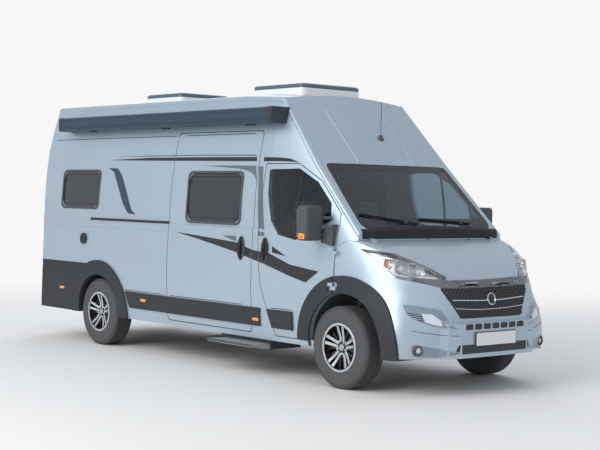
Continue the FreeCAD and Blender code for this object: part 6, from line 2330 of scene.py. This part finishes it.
@dataclass
class Roof:
    """The hatches' rims and ribs, the ridges of the forehead and the antenna's foot."""

    def build(self, rows: Rule) -> None:
        """Makes the pieces of the roof.

        Args:
            rows: the rule that copies an item in rows and columns.
        """
        for name, body in (("front", "front_hatch"), ("rear", "rear_hatch")):
            node = f"hatch_lid_{name}"
            low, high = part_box(node)
            skin = Skin(node)
            outline = rounded(rectangle(low.x + 0.036, high.x - 0.020, low.y + 0.020,
                                        high.y - 0.020),
                              0.05, 5)
            inner = grown(outline, -0.070)
            rim = []
            for outside, inside in zip(outline, inner):
                out = skin.hit(*Facing.TOP.ray(outside))
                inn = skin.hit(*Facing.TOP.ray(inside))
                a = out[0] if out else Vector((*outside, high.z - 0.02))
                b = inn[0] if inn else Vector((*inside, high.z))
                rim.append([a - Vector((0, 0, 0.003)), a + Vector((0, 0, 0.004)),
                            b + Vector((0, 0, 0.006)), b - Vector((0, 0, 0.003))])
            Shape().loft(rim, caps=False, closed=True).piece(f"hatch_rim_{name}", WHITE_PLASTIC,
                                                             body)
            rib = Shape().box((-0.006, -(high.y - low.y) / 2 + 0.12, -0.001),
                              (0.006, (high.y - low.y) / 2 - 0.12, 0.005))
            mesh = copies_of(rows, "hatch_ribs", rib, HATCH_GREY, {
                "Columns": 5, "Rows": 1, "Start": (low.x + 0.16, 0.0, high.z),
                "Column Step": ((high.x - low.x - 0.32) / 4, 0.0, 0.0), "Row Step": (0.0, 0.0,
                                                                                     0.0)})
            ride_mesh(f"hatch_ribs_{name}", mesh, HATCH_GREY, body)
        skin = Skin("roof")
        ridges = Shape()
        for sign in (1, -1):
            line = [(ahead(-0.95 + 0.52 * k / 10), sign * (0.385 - 0.017 * k / 10))
                    for k in range(11)]
            path = skin_path(skin, Facing.TOP, line, -0.009, 1)
            ridges.pipe(path, 0.015, 16)
        ridges.piece("forehead_ridges", PAINT, "body")
        foot = [(0.0005, -0.01), (0.032, -0.01), (0.029, 0.010), (0.018, 0.020), (0.0005, 0.022)]
        met = skin.hit(*Facing.TOP.ray((ahead(-0.70), 0.12)))
        Shape().turned(foot, met[0], met[1], 28).piece("antenna_foot", DARK_PLASTIC, "body")


# ---------------------------------------------------------------------------------------------
# The rear and the underside


@dataclass
class Rear:
    """What dresses the rear doors, the tail lamps and the rear bumper."""

    door_half: float = 0.860
    door_low: float = 0.570
    door_high: float = 2.335
    seam: float = 0.004

    def build(self) -> None:
        """Makes the pieces of the rear."""
        doors = Skin("door_rear_left", "door_rear_right", "side_left", "side_right", "roof",
                     "rear_bumper")
        self._seals(doors)
        self._lamps()
        self._doors()
        self._windows()
        self._bumper()

    def _seals(self, skin: Skin) -> None:
        """The dark rubber behind the gaps of the rear doors.

        Args:
            skin: the skin of the rear.
        """
        outline = rounded(rectangle(-self.door_half, self.door_half, self.door_low, self.door_high),
                          0.060, 6)
        way = Facing.REAR.way()
        for name, path in (("round", outline + outline[:1]),
                           ("middle", [(0.0, self.door_high - 0.02), (0.0, self.door_low + 0.02)])):
            rings = []
            for k, here in enumerate(path):
                before, after = path[max(k - 1, 0)], path[min(k + 1, len(path) - 1)]
                along = Vector((after[0] - before[0], after[1] - before[1]))
                if along.length < 1e-6:
                    continue
                along.normalize()
                out = Vector((0, -along.y, along.x)) * 0.0036
                place = outermost(skin, Facing.REAR, here, 0.016)
                rings.append([place + way * 0.009 + out, place + way * 0.009 - out,
                              place + way * 0.030 - out, place + way * 0.030 + out])
            Shape().loft(rings).piece(f"rear_seal_{name}", SEAL, "body")

    def _lamps(self) -> None:
        """The amber and clear windows of the tail lamps, and their dividing bars."""
        skin = Skin("tail_lamps")
        for side, sign in (("right", -1), ("left", 1)):
            y0, y1 = sorted((sign * 0.905, sign * 0.985))
            for name, z0, z1, finish in (("indicator", 1.255, 1.340, AMBER),
                                         ("reversing", 0.965, 1.035, WHITE_LENS)):
                outline = rounded(rectangle(y0, y1, z0, z1), 0.016, 4)
                patch(f"tail_{name}_{side}", finish, Flat(outline, 0.05), skin, Facing.REAR, 0.0025,
                      0.004, 0.03)
            bars = Shape()
            for z in (1.055, 1.235, 1.360):
                line = [(sign * (0.890 + 0.026 * k / 1.2), z) for k in range(5)]
                path = skin_path(skin, Facing.REAR, line, 0.001, 1)
                if len(path) > 1:
                    bars.pipe(path, 0.0035, 8)
            bars.piece(f"tail_bars_{side}", DARK_PLASTIC, "body")
            glow = Shape()
            for z in (1.115, 1.175):
                met = skin.hit(*Facing.REAR.ray((sign * 0.945, z)))
                glow.turned([(0.0005, -0.001), (0.024, -0.001), (0.024, 0.004), (0.018, 0.007),
                             (0.0005, 0.008)], met[0], met[1], 28)
            glow.piece(f"tail_rounds_{side}", RED_LENS, "body")

    def _doors(self) -> None:
        """The handle cups and the grip, the blank plate with its lamp, and the pressed lines."""
        right = Skin("door_rear_right")
        left = Skin("door_rear_left")
        way = Facing.REAR.way()
        for body, skin, y in (("rear_door_left", left, 0.075), ("rear_door_right", right, -0.075)):
            place = outermost(skin, Facing.REAR, (y, 1.12), 0.01)
            outline = rounded(rectangle(y - 0.055, y + 0.055, 1.02, 1.22), 0.024, 5)
            patch(f"rear_handle_cup_{body}", DARK_PLASTIC, Flat(outline, 0.2), skin, Facing.REAR,
                  0.004, 0.006, 0.02, 0.001)
            if y > 0:
                ring = [(y - 0.014, 1.04), (y + 0.014, 1.04), (y + 0.014, 1.20), (y - 0.014, 1.20)]
                slab = [Vector((place.x - 0.010, a, b)) for a, b in rounded(ring, 0.012, 5)]
                grip = Shape().slab(slab, Vector((-0.016, 0, 0)))
                for z in (1.055, 1.185):
                    grip.box((place.x - 0.012, y - 0.010, z - 0.010),
                             (place.x + 0.002, y + 0.010, z + 0.010))
                grip.piece("rear_handle_grip", STRIP_BLACK, body, 0.002)
        place = outermost(left, Facing.REAR, (0.43, 0.86), 0.2)
        for name, half, high, back, front, finish in (
                ("rear_plate_holder", 0.268, 0.064, 0.004, 0.006, DARK_PLASTIC),
                ("rear_plate", 0.260, 0.056, -0.005, 0.0085, PLATE_WHITE)):
            ring = [Vector((place.x + back, y, z)) for y, z in
                    rounded(rectangle(0.43 - half, 0.43 + half, 0.86 - high, 0.86 + high), 0.012,
                            4)]
            Shape().slab(ring, way * -(back + front)).piece(name, finish, "rear_door_left", 0.001)
        lamp = [Vector((place.x + 0.004, y, z)) for y, z in
                rounded(rectangle(0.34, 0.52, 0.945, 0.975), 0.012, 4)]
        Shape().slab(lamp, way * -0.026).piece("rear_plate_lamp", DARK_PLASTIC, "rear_door_left",
                                               0.003)
        for side, skin, sign in (("left", left, 1), ("right", right, -1)):
            swage = Shape()
            for z in (1.44, 2.10):
                line = [(sign * (0.05 + 0.085 * k), z) for k in range(9)]
                swage.pipe(skin_path(skin, Facing.REAR, line, -0.001, 1), 0.0045, 8)
            swage.piece(f"rear_swage_{side}", PAINT, f"rear_door_{side}")

    def _windows(self) -> None:
        """The rubber and the heating wires of the rear windows."""
        for side in ("left", "right"):
            node = f"rear_glass_{side}"
            low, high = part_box(node)
            skin = Skin(node, f"door_rear_{side}")
            outline = rounded(rectangle(low.y + 0.003, high.y - 0.003, low.z + 0.003,
                                        high.z - 0.003),
                              0.05, 5)
            frame_round(skin, Facing.REAR, outline, 0.020, 0.006, 0.002).piece(
                f"rear_window_rubber_{side}", SEAL, f"rear_door_{side}", 0.0, 40)
            wires = Shape()
            glass = Skin(node)
            for k in range(9):
                z = low.z + 0.07 + k * (high.z - low.z - 0.14) / 8
                line = [(low.y + 0.05 + m * (high.y - low.y - 0.10) / 3, z) for m in range(4)]
                path = skin_path(glass, Facing.REAR, line, 0.0006, 1)
                if len(path) > 1:
                    wires.pipe(path, 0.0008, 6)
            wires.piece(f"rear_window_wires_{side}", STEEL, f"rear_door_{side}")

    def _bumper(self) -> None:
        """The bumper's reflectors and lines, and the high brake light."""
        skin = Skin("rear_bumper")
        for side, sign in (("right", -1), ("left", 1)):
            y0, y1 = sorted((sign * 0.72, sign * 0.88))
            outline = rounded(rectangle(y0, y1, 0.470, 0.510), 0.012, 4)
            patch(f"rear_reflector_{side}", RED_LENS, Flat(outline, 0.1), skin, Facing.REAR, 0.005,
                  0.007, 0.03, 0.0015)
        lines = Shape()
        for z in (0.440, 0.545):
            path = skin_path(skin, Facing.REAR, [(y / 10, z) for y in range(-8, 9)], 0.0, 1)
            lines.pipe(path, 0.003, 8)
        lines.piece("rear_bumper_lines", STRIP_BLACK, "body")
        roof = Skin("roof", "side_left", "side_right")
        outline = rounded(rectangle(-0.16, 0.16, 2.405, 2.432), 0.010, 4)
        patch("high_brake_light", RED_LENS, Flat(outline, 0.1), roof, Facing.REAR, 0.006, 0.010,
              0.03, 0.0015)


@dataclass
class Underside:
    """The exhaust."""

    def build(self) -> None:
        """Makes the pieces of the underside."""
        path = smooth_path([Vector((2.36, 0.10, 0.46)), Vector((1.95, 0.16, 0.400)),
                            Vector((1.55, 0.42, 0.375)), Vector((1.10, 0.455, 0.36)),
                            Vector((0.5, 0.455, 0.36))])
        pipe = Shape().pipe(path, 0.030, 16)
        pipe.piece("exhaust_front", CAST, "body")
        silencer = []
        for x, radius in ((0.515, 0.032), (0.500, 0.072), (0.470, 0.082), (0.02, 0.082),
                          (-0.01, 0.072),
                          (-0.025, 0.030)):
            silencer.append([Vector((x, 0.520 + radius * 1.15 * math.cos(2 * math.pi * k / 24),
                                     0.345 + radius * 0.72 * math.sin(2 * math.pi * k / 24)))
                             for k in range(24)])
        Shape().loft(silencer).piece("exhaust_silencer", CAST, "body")


def smooth_path(points: list[Vector], steps: int = 6) -> list[Vector]:
    """A smooth path through places in space."""
    return [Vector(p) for p in smooth_line([tuple(p) for p in points], steps)]


# ---------------------------------------------------------------------------------------------
# The cab and the living space


@dataclass(frozen=True)
class Inner:
    """Rays from inside the van. Places are (x, z) for a side, (y, z) for the rear, (x, y) up."""

    way: tuple[float, float, float]
    middle: tuple[float, float, float]

    def ray(self, place: Point) -> tuple[Vector, Vector]:
        """The start and the direction of the ray for a place of the outline.

        Args:
            place: the place, along the view's two axes.

        Returns:
            The start and the direction.
        """
        start = Vector(self.middle)
        axes = [i for i in range(3) if abs(self.way[i]) < 0.5]
        start[axes[0]], start[axes[1]] = place
        return start, Vector(self.way)


INNER_RIGHT = Inner((0, -1, 0), (0, -0.55, 0))
INNER_LEFT = Inner((0, 1, 0), (0, 0.55, 0))
INNER_REAR = Inner((-1, 0, 0), (-2.0, 0, 0))
INNER_TOP = Inner((0, 0, 1), (0, 0, 2.2))
INNER_DASH = Inner((1, 0, 0), (1.2, 0, 0))


def pad_shape(low: Vector, high: Vector, lean: float = 0.0, draw: float = 0.010) -> Shape:
    """A block with rounded corners in plan and a crown on all faces, before it is inflated.

    Args:
        low: its low corner.
        high: its high corner.
        lean: how far its top lies behind its foot.
        draw: how much smaller it starts.

    Returns:
        The block.
    """
    size = high - low
    radius = min(size) * 0.34
    rings = []
    for share in (0.0, 0.04, 0.14, 0.30, 0.50, 0.70, 0.86, 0.96, 1.0):
        edge = min(share, 1 - share) * size.z
        pull = draw + (radius - math.sqrt(max(0.0, radius ** 2 - max(0.0, radius - edge) ** 2)))
        outline = rounded(rectangle(low.x + pull, high.x - pull, low.y + pull, high.y - pull),
                          radius, 6)
        z = low.z + draw + (size.z - 2 * draw) * share
        rings.append([Vector((x - lean * share, y, z)) for x, y in outline])
    return Shape().loft(rings)


def inflated(shape: Shape, voxel: float, cap: float, pressure: float = 4.0) -> bpy.types.Mesh:
    """Swells a block by a cloth simulation, as a stuffed cover.

    Args:
        shape: the block.
        voxel: the size of its cells.
        cap: how far a point may move.
        pressure: the pressure inside.

    Returns:
        The swollen mesh.
    """
    scene = bpy.context.scene
    pad = item_of(shape)
    remesh = pad.modifiers.new("voxels", "REMESH")
    remesh.mode = "VOXEL"
    remesh.voxel_size = voxel
    pad.data = evaluated(pad)
    pad.modifiers.clear()
    rest = [v.co.copy() for v in pad.data.vertices]
    cloth = pad.modifiers.new("cover", "CLOTH")
    cloth.settings.use_pressure = True
    cloth.settings.uniform_pressure_force = pressure
    cloth.settings.effector_weights.gravity = 0.0
    cloth.settings.quality = 5
    cloth.point_cache.frame_end = 20
    for step in range(1, 21):
        scene.frame_set(step)
    moved = evaluated(pad)
    for vert, start in zip(moved.vertices, rest):
        way = vert.co - start
        if way.length > cap:
            vert.co = start + way.normalized() * cap
    pad.modifiers.clear()
    pad.data = moved
    scene.frame_set(1)
    smooth = pad.modifiers.new("smooth", "SUBSURF")
    smooth.levels = smooth.render_levels = 1
    mesh = evaluated(pad)
    bpy.data.objects.remove(pad)
    return mesh


@dataclass
class CabSeats:
    """Both cab seats: pedestal, stuffed cushion, backrest and headrest."""

    track: float = 0.430
    back: float = ahead(-1.120)
    depth: float = 0.480
    width: float = 0.500
    floor: float = 0.600
    base: float = 0.850
    cushion: float = 0.980
    top: float = 1.510
    thick: float = 0.120
    lean: float = 0.110
    voxel: float = 0.0095

    def build(self) -> None:
        """Makes one seat's pads, and the other's as copies."""
        half = self.width / 2
        parts = {
            "cushion": (Vector((self.back + 0.045, -half, self.base + 0.006)),
                        Vector((self.back + self.depth - 0.002, half, self.cushion + 0.004)), 0.0),
            "backrest": (Vector((self.back + 0.002, -half + 0.004, self.base + 0.030)),
                         Vector((self.back + self.thick + 0.006, half - 0.004,
                                 self.top)), self.lean),
            "headrest": (Vector((self.back - self.lean - 0.002, -0.130, self.top + 0.006)),
                         Vector((self.back - self.lean + 0.096, 0.130, self.top + 0.166)), 0.012)}
        first = None
        for name, (low, high, lean) in parts.items():
            mesh = inflated(pad_shape(low, high, lean), self.voxel, 0.012)
            for side, y in (("right", -self.track), ("left", self.track)):
                copy = mesh.copy()
                copy.transform(Matrix.Translation((0, y, 0)))
                piece = ride_mesh(f"seat_{name}_{side}", copy, SEAT_CLOTH, "body", crease=80)
                first = first or piece
        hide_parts("front_seats")
        for side, y in (("right", -self.track), ("left", self.track)):
            self._pedestal(side, y)
            self._trim(side, y)

    def _pedestal(self, side: str, y: float) -> None:
        """The pedestal, its turning plate and the headrest's posts.

        Args:
            side: right or left.
            y: the middle of the seat.
        """
        rings = []
        for z, grow in ((self.floor, 0.018), (self.floor + 0.04, 0.006), (self.base - 0.05, 0.0),
                        (self.base - 0.03, 0.012)):
            rings.append([Vector((px, py, z)) for px, py in rounded(
                rectangle(self.back + 0.040 - grow * 0.5,
                          self.back + self.depth - 0.040 + grow * 0.5,
                          y - 0.190 - grow * 0.2, y + 0.190 + grow * 0.2), 0.03, 4)])
        Shape().loft(rings).piece(f"seat_pedestal_{side}", DARK_PLASTIC, "body", 0.002)
        pan = Shape().box((self.back + 0.02, y - 0.225, self.base - 0.030),
                          (self.back + self.depth - 0.03, y + 0.225, self.base + 0.012))
        pan.piece(f"seat_pan_{side}", STEEL, "body", 0.006)
        posts = Shape()
        for dy in (-0.060, 0.060):
            x = self.back - self.lean + 0.045
            posts.pipe([Vector((x + 0.004, y + dy, self.top - 0.05)),
                        Vector((x, y + dy, self.top + 0.05))],
                       0.006, 12)
        posts.piece(f"headrest_posts_{side}", STEEL, "body")

    def _trim(self, side: str, y: float) -> None:
        """The piping of the cushion and the backrest, and the hinge covers.

        Args:
            side: right or left.
            y: the middle of the seat.
        """
        half = self.width / 2
        piping = Shape()
        for share in (0.16, 0.84):
            x0, x1 = self.back + 0.012, self.back + self.thick - 0.004
            outline = rounded(rectangle(-half + 0.012, half - 0.012, self.base + 0.07,
                                        self.top - 0.02),
                              0.05, 6)
            path = []
            for py, z in outline:
                along = (z - self.base - 0.03) / (self.top - self.base - 0.03)
                x = x0 + (x1 - x0) * share - self.lean * along
                path.append(Vector((x, y + py, z)))
            piping.pipe(path, 0.0045, 8, closed=True)
        outline = rounded(rectangle(self.back + 0.055, self.back + self.depth - 0.012,
                                    -half + 0.010, half - 0.010), 0.05, 6)
        piping.pipe([Vector((x, y + py, self.cushion - 0.030)) for x, py in outline], 0.0045, 8,
                    closed=True)
        piping.piece(f"seat_piping_{side}", SEAT_SIDE, "body")
        hinges = Shape()
        for sign in (-1, 1):
            low = y + sign * (half - 0.004)
            disc = [(0.0005, 0.0), (0.045, 0.0), (0.042, 0.010), (0.0005, 0.013)]
            hinges.turned(disc, Vector((self.back + 0.055, low, self.base + 0.055)),
                          Vector((0, sign, 0)), 28)
        hinges.piece(f"seat_hinges_{side}", DARK_PLASTIC, "body")


@dataclass
class Cab:
    """The dashboard's fittings, the steering wheel's pad and the linings of the cab doors."""

    def build(self) -> None:
        """Makes the pieces of the cab."""
        skin = Skin("dashboard")
        for name, y0, y1, z0, z1, lift, finish in (
                ("cluster", 0.27, 0.59, 1.16, 1.30, 0.010, DARK_PLASTIC),
                ("cluster_glass", 0.29, 0.57, 1.175, 1.285, 0.013, BLACK_GLOSS),
                ("screen_frame", -0.135, 0.135, 1.12, 1.29, 0.010, DARK_PLASTIC),
                ("screen", -0.115, 0.115, 1.135, 1.275, 0.013, BLACK_GLOSS),
                ("controls", -0.115, 0.115, 1.03, 1.10, 0.010, STRIP_BLACK),
                ("glove_box", -0.78, -0.22, 0.94, 1.12, 0.006, DASH)):
            outline = rounded(rectangle(y0, y1, z0, z1), 0.016, 4)
            patch(f"dash_{name}", finish, Flat(outline, 0.05), skin, INNER_DASH, lift, lift + 0.002,
                  0.05)
        vents = Shape()
        for y in (-0.80, -0.20, 0.20, 0.80):
            for k in range(4):
                line = [(y - 0.045, 1.205 + 0.018 * k), (y + 0.045, 1.205 + 0.018 * k)]
                path = skin_path(skin, INNER_DASH, line, 0.006, 1)
                if len(path) > 1:
                    vents.pipe(path, 0.005, 8)
        vents.piece("dash_vents", STRIP_BLACK, "body")
        knobs = Shape()
        for y in (-0.075, 0.0, 0.075):
            met = skin.hit(*INNER_DASH.ray((y, 1.065)))
            knobs.turned([(0.0005, 0.0), (0.019, 0.0), (0.018, 0.022), (0.0005, 0.024)],
                         met[0] + Vector((-0.008, 0, 0)), Vector((-1, 0, 0.1)), 24)
        knobs.piece("dash_knobs", LAMP_GREY, "body")
        joint = JOINTS["steering_wheel_turn"]
        axis = -Vector(joint["axis"]).normalized()
        centre = Vector(joint["pos_m"])
        pad = [(0.0005, -0.004), (0.070, -0.004), (0.078, 0.004), (0.074, 0.020), (0.052, 0.031),
               (0.0005, 0.034)]
        Shape().turned(pad, centre, axis, 40).piece("steering_pad", DARK_PLASTIC, "steering")
        for side, view in (("right", INNER_RIGHT), ("left", INNER_LEFT)):
            door = Skin(f"door_front_{side}")
            card = [(ahead(-1.00), 0.48), (ahead(-0.16), 0.48), (ahead(-0.16), 1.14),
                    (ahead(-0.26), 1.25),
                    (ahead(-1.05), 1.25)]
            patch(f"door_card_{side}", DASH, Flat(rounded(card, 0.04, 4), 0.06), door, view, 0.008,
                  0.010, 0.05)
            rest = Shape()
            path = skin_path(door, view, [(ahead(-0.95), 1.02), (ahead(-0.6), 1.04),
                                          (ahead(-0.30), 1.02)],
                             0.026, 6)
            rest.pipe(path, 0.026, 14)
            rest.piece(f"door_armrest_{side}", DARK_PLASTIC, f"door_{side}")


@dataclass
class LivingSpace:
    """Linings, kitchen, closet, bed and mattress."""

    def build(self) -> None:
        """Makes the pieces of the living space."""
        self._linings()
        self._kitchen()
        self._closet()
        self._bed()

    def _linings(self) -> None:
        """The cream linings of the walls, the roof and the rear doors."""
        for name, view, node, outline in (
                ("wall_right", INNER_RIGHT, "side_right", rectangle(-2.98, -0.50, 1.30, 2.20)),
                ("wall_left", INNER_LEFT, "side_left", rectangle(-2.98, 0.92, 0.70, 2.20)),
                ("sliding_door", INNER_RIGHT, "sliding_door", rectangle(-0.42, 0.90, 0.50, 2.28)),
                ("ceiling", INNER_TOP, "roof", rectangle(-2.95, 0.95, -0.70, 0.70))):
            patch(f"lining_{name}", CREAM, Flat(outline, 0.055), Skin(node), view, 0.003, 0.004,
                  0.02)
        for side, sign in (("right", -1), ("left", 1)):
            y0, y1 = sorted((sign * 0.10, sign * 0.78))
            for name, z0, z1 in (("low", 0.68, 1.36), ("high", 2.08, 2.24)):
                outline = rounded(rectangle(y0, y1, z0, z1), 0.05, 4)
                patch(f"rear_door_card_{name}_{side}", CREAM, Flat(outline, 0.1),
                      Skin(f"door_rear_{side}"), INNER_REAR, 0.005, 0.007, 0.03)

    def _kitchen(self) -> None:
        """The kitchen's worktop, hob, sink, tap and fronts."""
        x0, x1, y0, y1, z0, z1 = -1.1965, -0.5165, -0.93, -0.46, 0.60, 1.46
        Shape().box((x0 - 0.004, y0 + 0.004, z1 + 0.0003),
                    (x1 + 0.006, y1 + 0.010, z1 + 0.020)).piece(
            "worktop", CREAM, "body", 0.004)
        fronts, grips = Shape(), Shape()
        for a, b, low, high in ((x0 + 0.01, -0.86, z0 + 0.07, 1.22),
                                (-0.85, x1 - 0.01, z0 + 0.07, 1.22),
                                (x0 + 0.01, -0.86, 1.235, z1 - 0.015), (-0.85, x1 - 0.01, 1.235, z1
                                                                        - 0.015)):
            fronts.box((a, y1 - 0.002, low), (b, y1 + 0.014, high))
            grips.pipe([Vector(((a + b) / 2 - 0.06, y1 + 0.026, high - 0.045)),
                        Vector(((a + b) / 2 + 0.06, y1 + 0.026, high - 0.045))], 0.006, 10)
            for dx in (-0.055, 0.055):
                grips.pipe([Vector(((a + b) / 2 + dx, y1 + 0.010, high - 0.045)),
                            Vector(((a + b) / 2 + dx, y1 + 0.027, high - 0.045))], 0.005, 8)
        fronts.piece("kitchen_fronts", CREAM, "body", 0.003)
        grips.piece("kitchen_grips", STEEL, "body")
        hob = Shape().box((x0 + 0.04, -0.86, z1 + 0.018), (x0 + 0.33, -0.52, z1 + 0.027))
        hob.piece("hob", BLACK_GLOSS, "body", 0.003)
        rings = Shape()
        for x, y in ((x0 + 0.185, -0.77), (x0 + 0.185, -0.61)):
            for r in (0.030, 0.052):
                rings.turned([(r, 0.0), (r + 0.006, 0.0), (r + 0.006, 0.010), (r, 0.010)],
                             Vector((x, y, z1 + 0.026)), Vector((0, 0, 1)), 32)
        rings.piece("hob_rings", STEEL, "body")
        sink = [(0.020, 0.001), (0.105, 0.001), (0.135, 0.008), (0.150, 0.010), (0.150, 0.004),
                (0.020, -0.001)]
        Shape().turned(sink, Vector((x1 - 0.175, -0.69, z1 + 0.019)), Vector((0, 0, 1)), 40).piece(
            "sink", CHROME, "body")
        tap = smooth_path([Vector((x1 - 0.175, -0.88, z1 + 0.018)),
                           Vector((x1 - 0.175, -0.88, z1 + 0.19)),
                           Vector((x1 - 0.175, -0.83, z1 + 0.23)), Vector((x1 - 0.175, -0.75, z1
                                                                           + 0.20))])
        Shape().pipe(tap, 0.009, 12).piece("tap", CHROME, "body")

    def _closet(self) -> None:
        """The closet's doors with their grips."""
        y = CLOSET_FRONT
        fronts, grips = Shape(), Shape()
        for a, b, low, high in ((-1.185, -0.755, 0.67, 1.50), (-0.740, -0.310, 0.67, 1.50),
                                (-1.185, -0.755, 1.515, 2.20), (-0.740, -0.310, 1.515, 2.20)):
            fronts.box((a, y - 0.014, low), (b, y + 0.002, high))
            x = b - 0.05 if a < -1.0 else a + 0.05
            z = (low + high) / 2
            grips.pipe([Vector((x, y - 0.026, z - 0.06)), Vector((x, y - 0.026, z + 0.06))], 0.006,
                       10)
            for dz in (-0.055, 0.055):
                grips.pipe([Vector((x, y - 0.027, z + dz)), Vector((x, y - 0.010, z + dz))], 0.005,
                           8)
        fronts.piece("closet_fronts", CREAM, "body", 0.003)
        grips.piece("closet_grips", STEEL, "body")

    def _bed(self) -> None:
        """The mattress with its piping."""
        low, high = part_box("mattress")
        mesh = inflated(pad_shape(low, high, draw=0.012), 0.024, 0.010)
        piece = ride_mesh("mattress_pad", mesh, MATTRESS, "body", crease=80)
        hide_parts("mattress")
        piping = Shape()
        for z in (low.z + 0.024, high.z - 0.024):
            outline = rounded(rectangle(low.x + 0.010, high.x - 0.010, low.y + 0.010,
                                        high.y - 0.010),
                              0.05, 6)
            piping.pipe([Vector((x, y, z)) for x, y in outline], 0.005, 8, closed=True)
        piping.piece("mattress_piping", SEAT_SIDE, "body")


CLOSET_FRONT = max((low.y for low, high in islands("furniture") if high.z > 1.8), default=0.32)


# ---------------------------------------------------------------------------------------------
# Studio


@dataclass
class Studio:
    """The pale floor, the soft lamps and the world round the van."""

    floor_half: float = 40.0
    floor_shade: float = 0.84
    fade_start: float = 5.0
    fade_end: float = 13.0
    backdrop: float = 0.93
    world_strength: float = 0.62
    lamps: tuple = (
        ("key_lamp", (1.5, -14.0, 8.5), 13.0, 1600.0, (1.0, 0.99, 0.97)),
        ("front_lamp", (14.0, -1.5, 6.0), 12.0, 90.0, (0.86, 0.93, 1.0)),
        ("back_lamp", (-10.0, 9.0, 8.0), 10.0, 520.0, (0.95, 0.97, 1.0)))
    target: Vector = field(default_factory=lambda: Vector((0.2, 0.0, 1.2)))

    def build(self) -> None:
        """Makes the floor, the world and the lamps."""
        self._floor()
        self._world()
        for name, place, size, power, colour in self.lamps:
            data = bpy.data.lights.new(name, "AREA")
            data.shape = "DISK"
            data.size = size
            data.energy = power
            data.color = colour
            lamp = bpy.data.objects.new(name, data)
            lamp.location = place
            lamp.rotation_mode = "QUATERNION"
            lamp.rotation_quaternion = (self.target - Vector(place)).to_track_quat("-Z", "Y")
            bpy.context.scene.collection.objects.link(lamp)
        bpy.context.scene.view_settings.view_transform = "Standard"

    def _floor(self) -> None:
        """A wide pale floor, which keeps the van's shadow."""
        half = self.floor_half
        mesh = bpy.data.meshes.new("studio_floor")
        mesh.from_pydata([(-half, -half, 0), (half, -half, 0), (half, half, 0), (-half, half, 0)],
                         [],
                         [(0, 1, 2, 3)])
        floor = bpy.data.objects.new("studio_floor", mesh)
        bpy.context.scene.collection.objects.link(floor)
        material = bpy.data.materials.new("studio_floor")
        material.use_nodes = True
        tree, nodes = Tree(material.node_tree), material.node_tree.nodes
        noise = tree.node("ShaderNodeTexNoise", {"Scale": 1.5})
        shade = tree.node("ShaderNodeMapRange", {
            "Value": noise.outputs["Fac"], "To Min": self.floor_shade - 0.01,
            "To Max": self.floor_shade + 0.01})
        tree.feed(nodes["Principled BSDF"],
                  {"Roughness": 0.75, "Base Color": shade.outputs["Result"]})
        place = tree.node("ShaderNodeTexCoord").outputs["Object"]
        far = tree.node("ShaderNodeVectorMath", {0: place}, operation="LENGTH")
        fade = tree.node("ShaderNodeMapRange", {
            "Value": far.outputs["Value"], "From Min": self.fade_start,
            "From Max": self.fade_end}, interpolation_type="SMOOTHSTEP")
        blend = tree.node("ShaderNodeMixShader", {
            "Fac": fade.outputs["Result"], 1: nodes["Principled BSDF"].outputs[0],
            2: tree.node("ShaderNodeBsdfTransparent").outputs[0]})
        tree.feed(nodes["Material Output"], {"Surface": blend.outputs[0]})
        mesh.materials.append(material)

    def _world(self) -> None:
        """A soft sky for the light, and a white backdrop for what the camera and rays through glass
        see.
        """
        world = bpy.data.worlds.new("studio_world")
        bpy.context.scene.world = world
        world.use_nodes = True
        world.node_tree.nodes.clear()
        tree = Tree(world.node_tree)
        place = tree.node("ShaderNodeTexCoord").outputs["Generated"]
        height = tree.node("ShaderNodeSeparateXYZ", {0: place}).outputs["Z"]
        ramp = tree.node("ShaderNodeValToRGB", {0: height})
        stops = ramp.color_ramp.elements
        for stop, (at, colour) in zip(
                (stops[0], stops[1], stops.new(0.45)),
                ((0.0, (1.0, 1.0, 1.0, 1)), (1.0, (0.42, 0.60, 0.82, 1)),
                 (0.45, (0.86, 0.92, 1.0, 1)))):
            stop.position = at
            stop.color = colour
        sky = tree.node("ShaderNodeBackground",
                        {"Color": ramp.outputs[0], "Strength": self.world_strength})
        white = tree.node("ShaderNodeBackground",
                          {"Color": (1, 1, 1, 1), "Strength": self.backdrop})
        rays = tree.node("ShaderNodeLightPath").outputs
        seen = tree.math("MAXIMUM", rays["Is Camera Ray"], rays["Is Transmission Ray"])
        mix = tree.node("ShaderNodeMixShader",
                        {"Fac": seen, 1: sky.outputs[0], 2: white.outputs[0]})
        tree.node("ShaderNodeOutputWorld", {"Surface": mix.outputs[0]})


def main() -> None:
    """Builds the studio and every sub-assembly."""
    CAMERA.build()
    Studio().build()
    dress_nodes()
    rings, rows, meshes = ring_rule(), row_rule(), mesh_rule()
    Wheel().build(rings)
    SideDecals().build()
    Seals().build()
    Headlamps().build()
    Nose().build(meshes)
    Screen().build()
    SideFittings().build(rows)
    Roof().build(rows)
    Rear().build()
    Underside().build()
    CabSeats().build()
    Cab().build()
    LivingSpace().build()


if __name__ == "__main__":
    main()
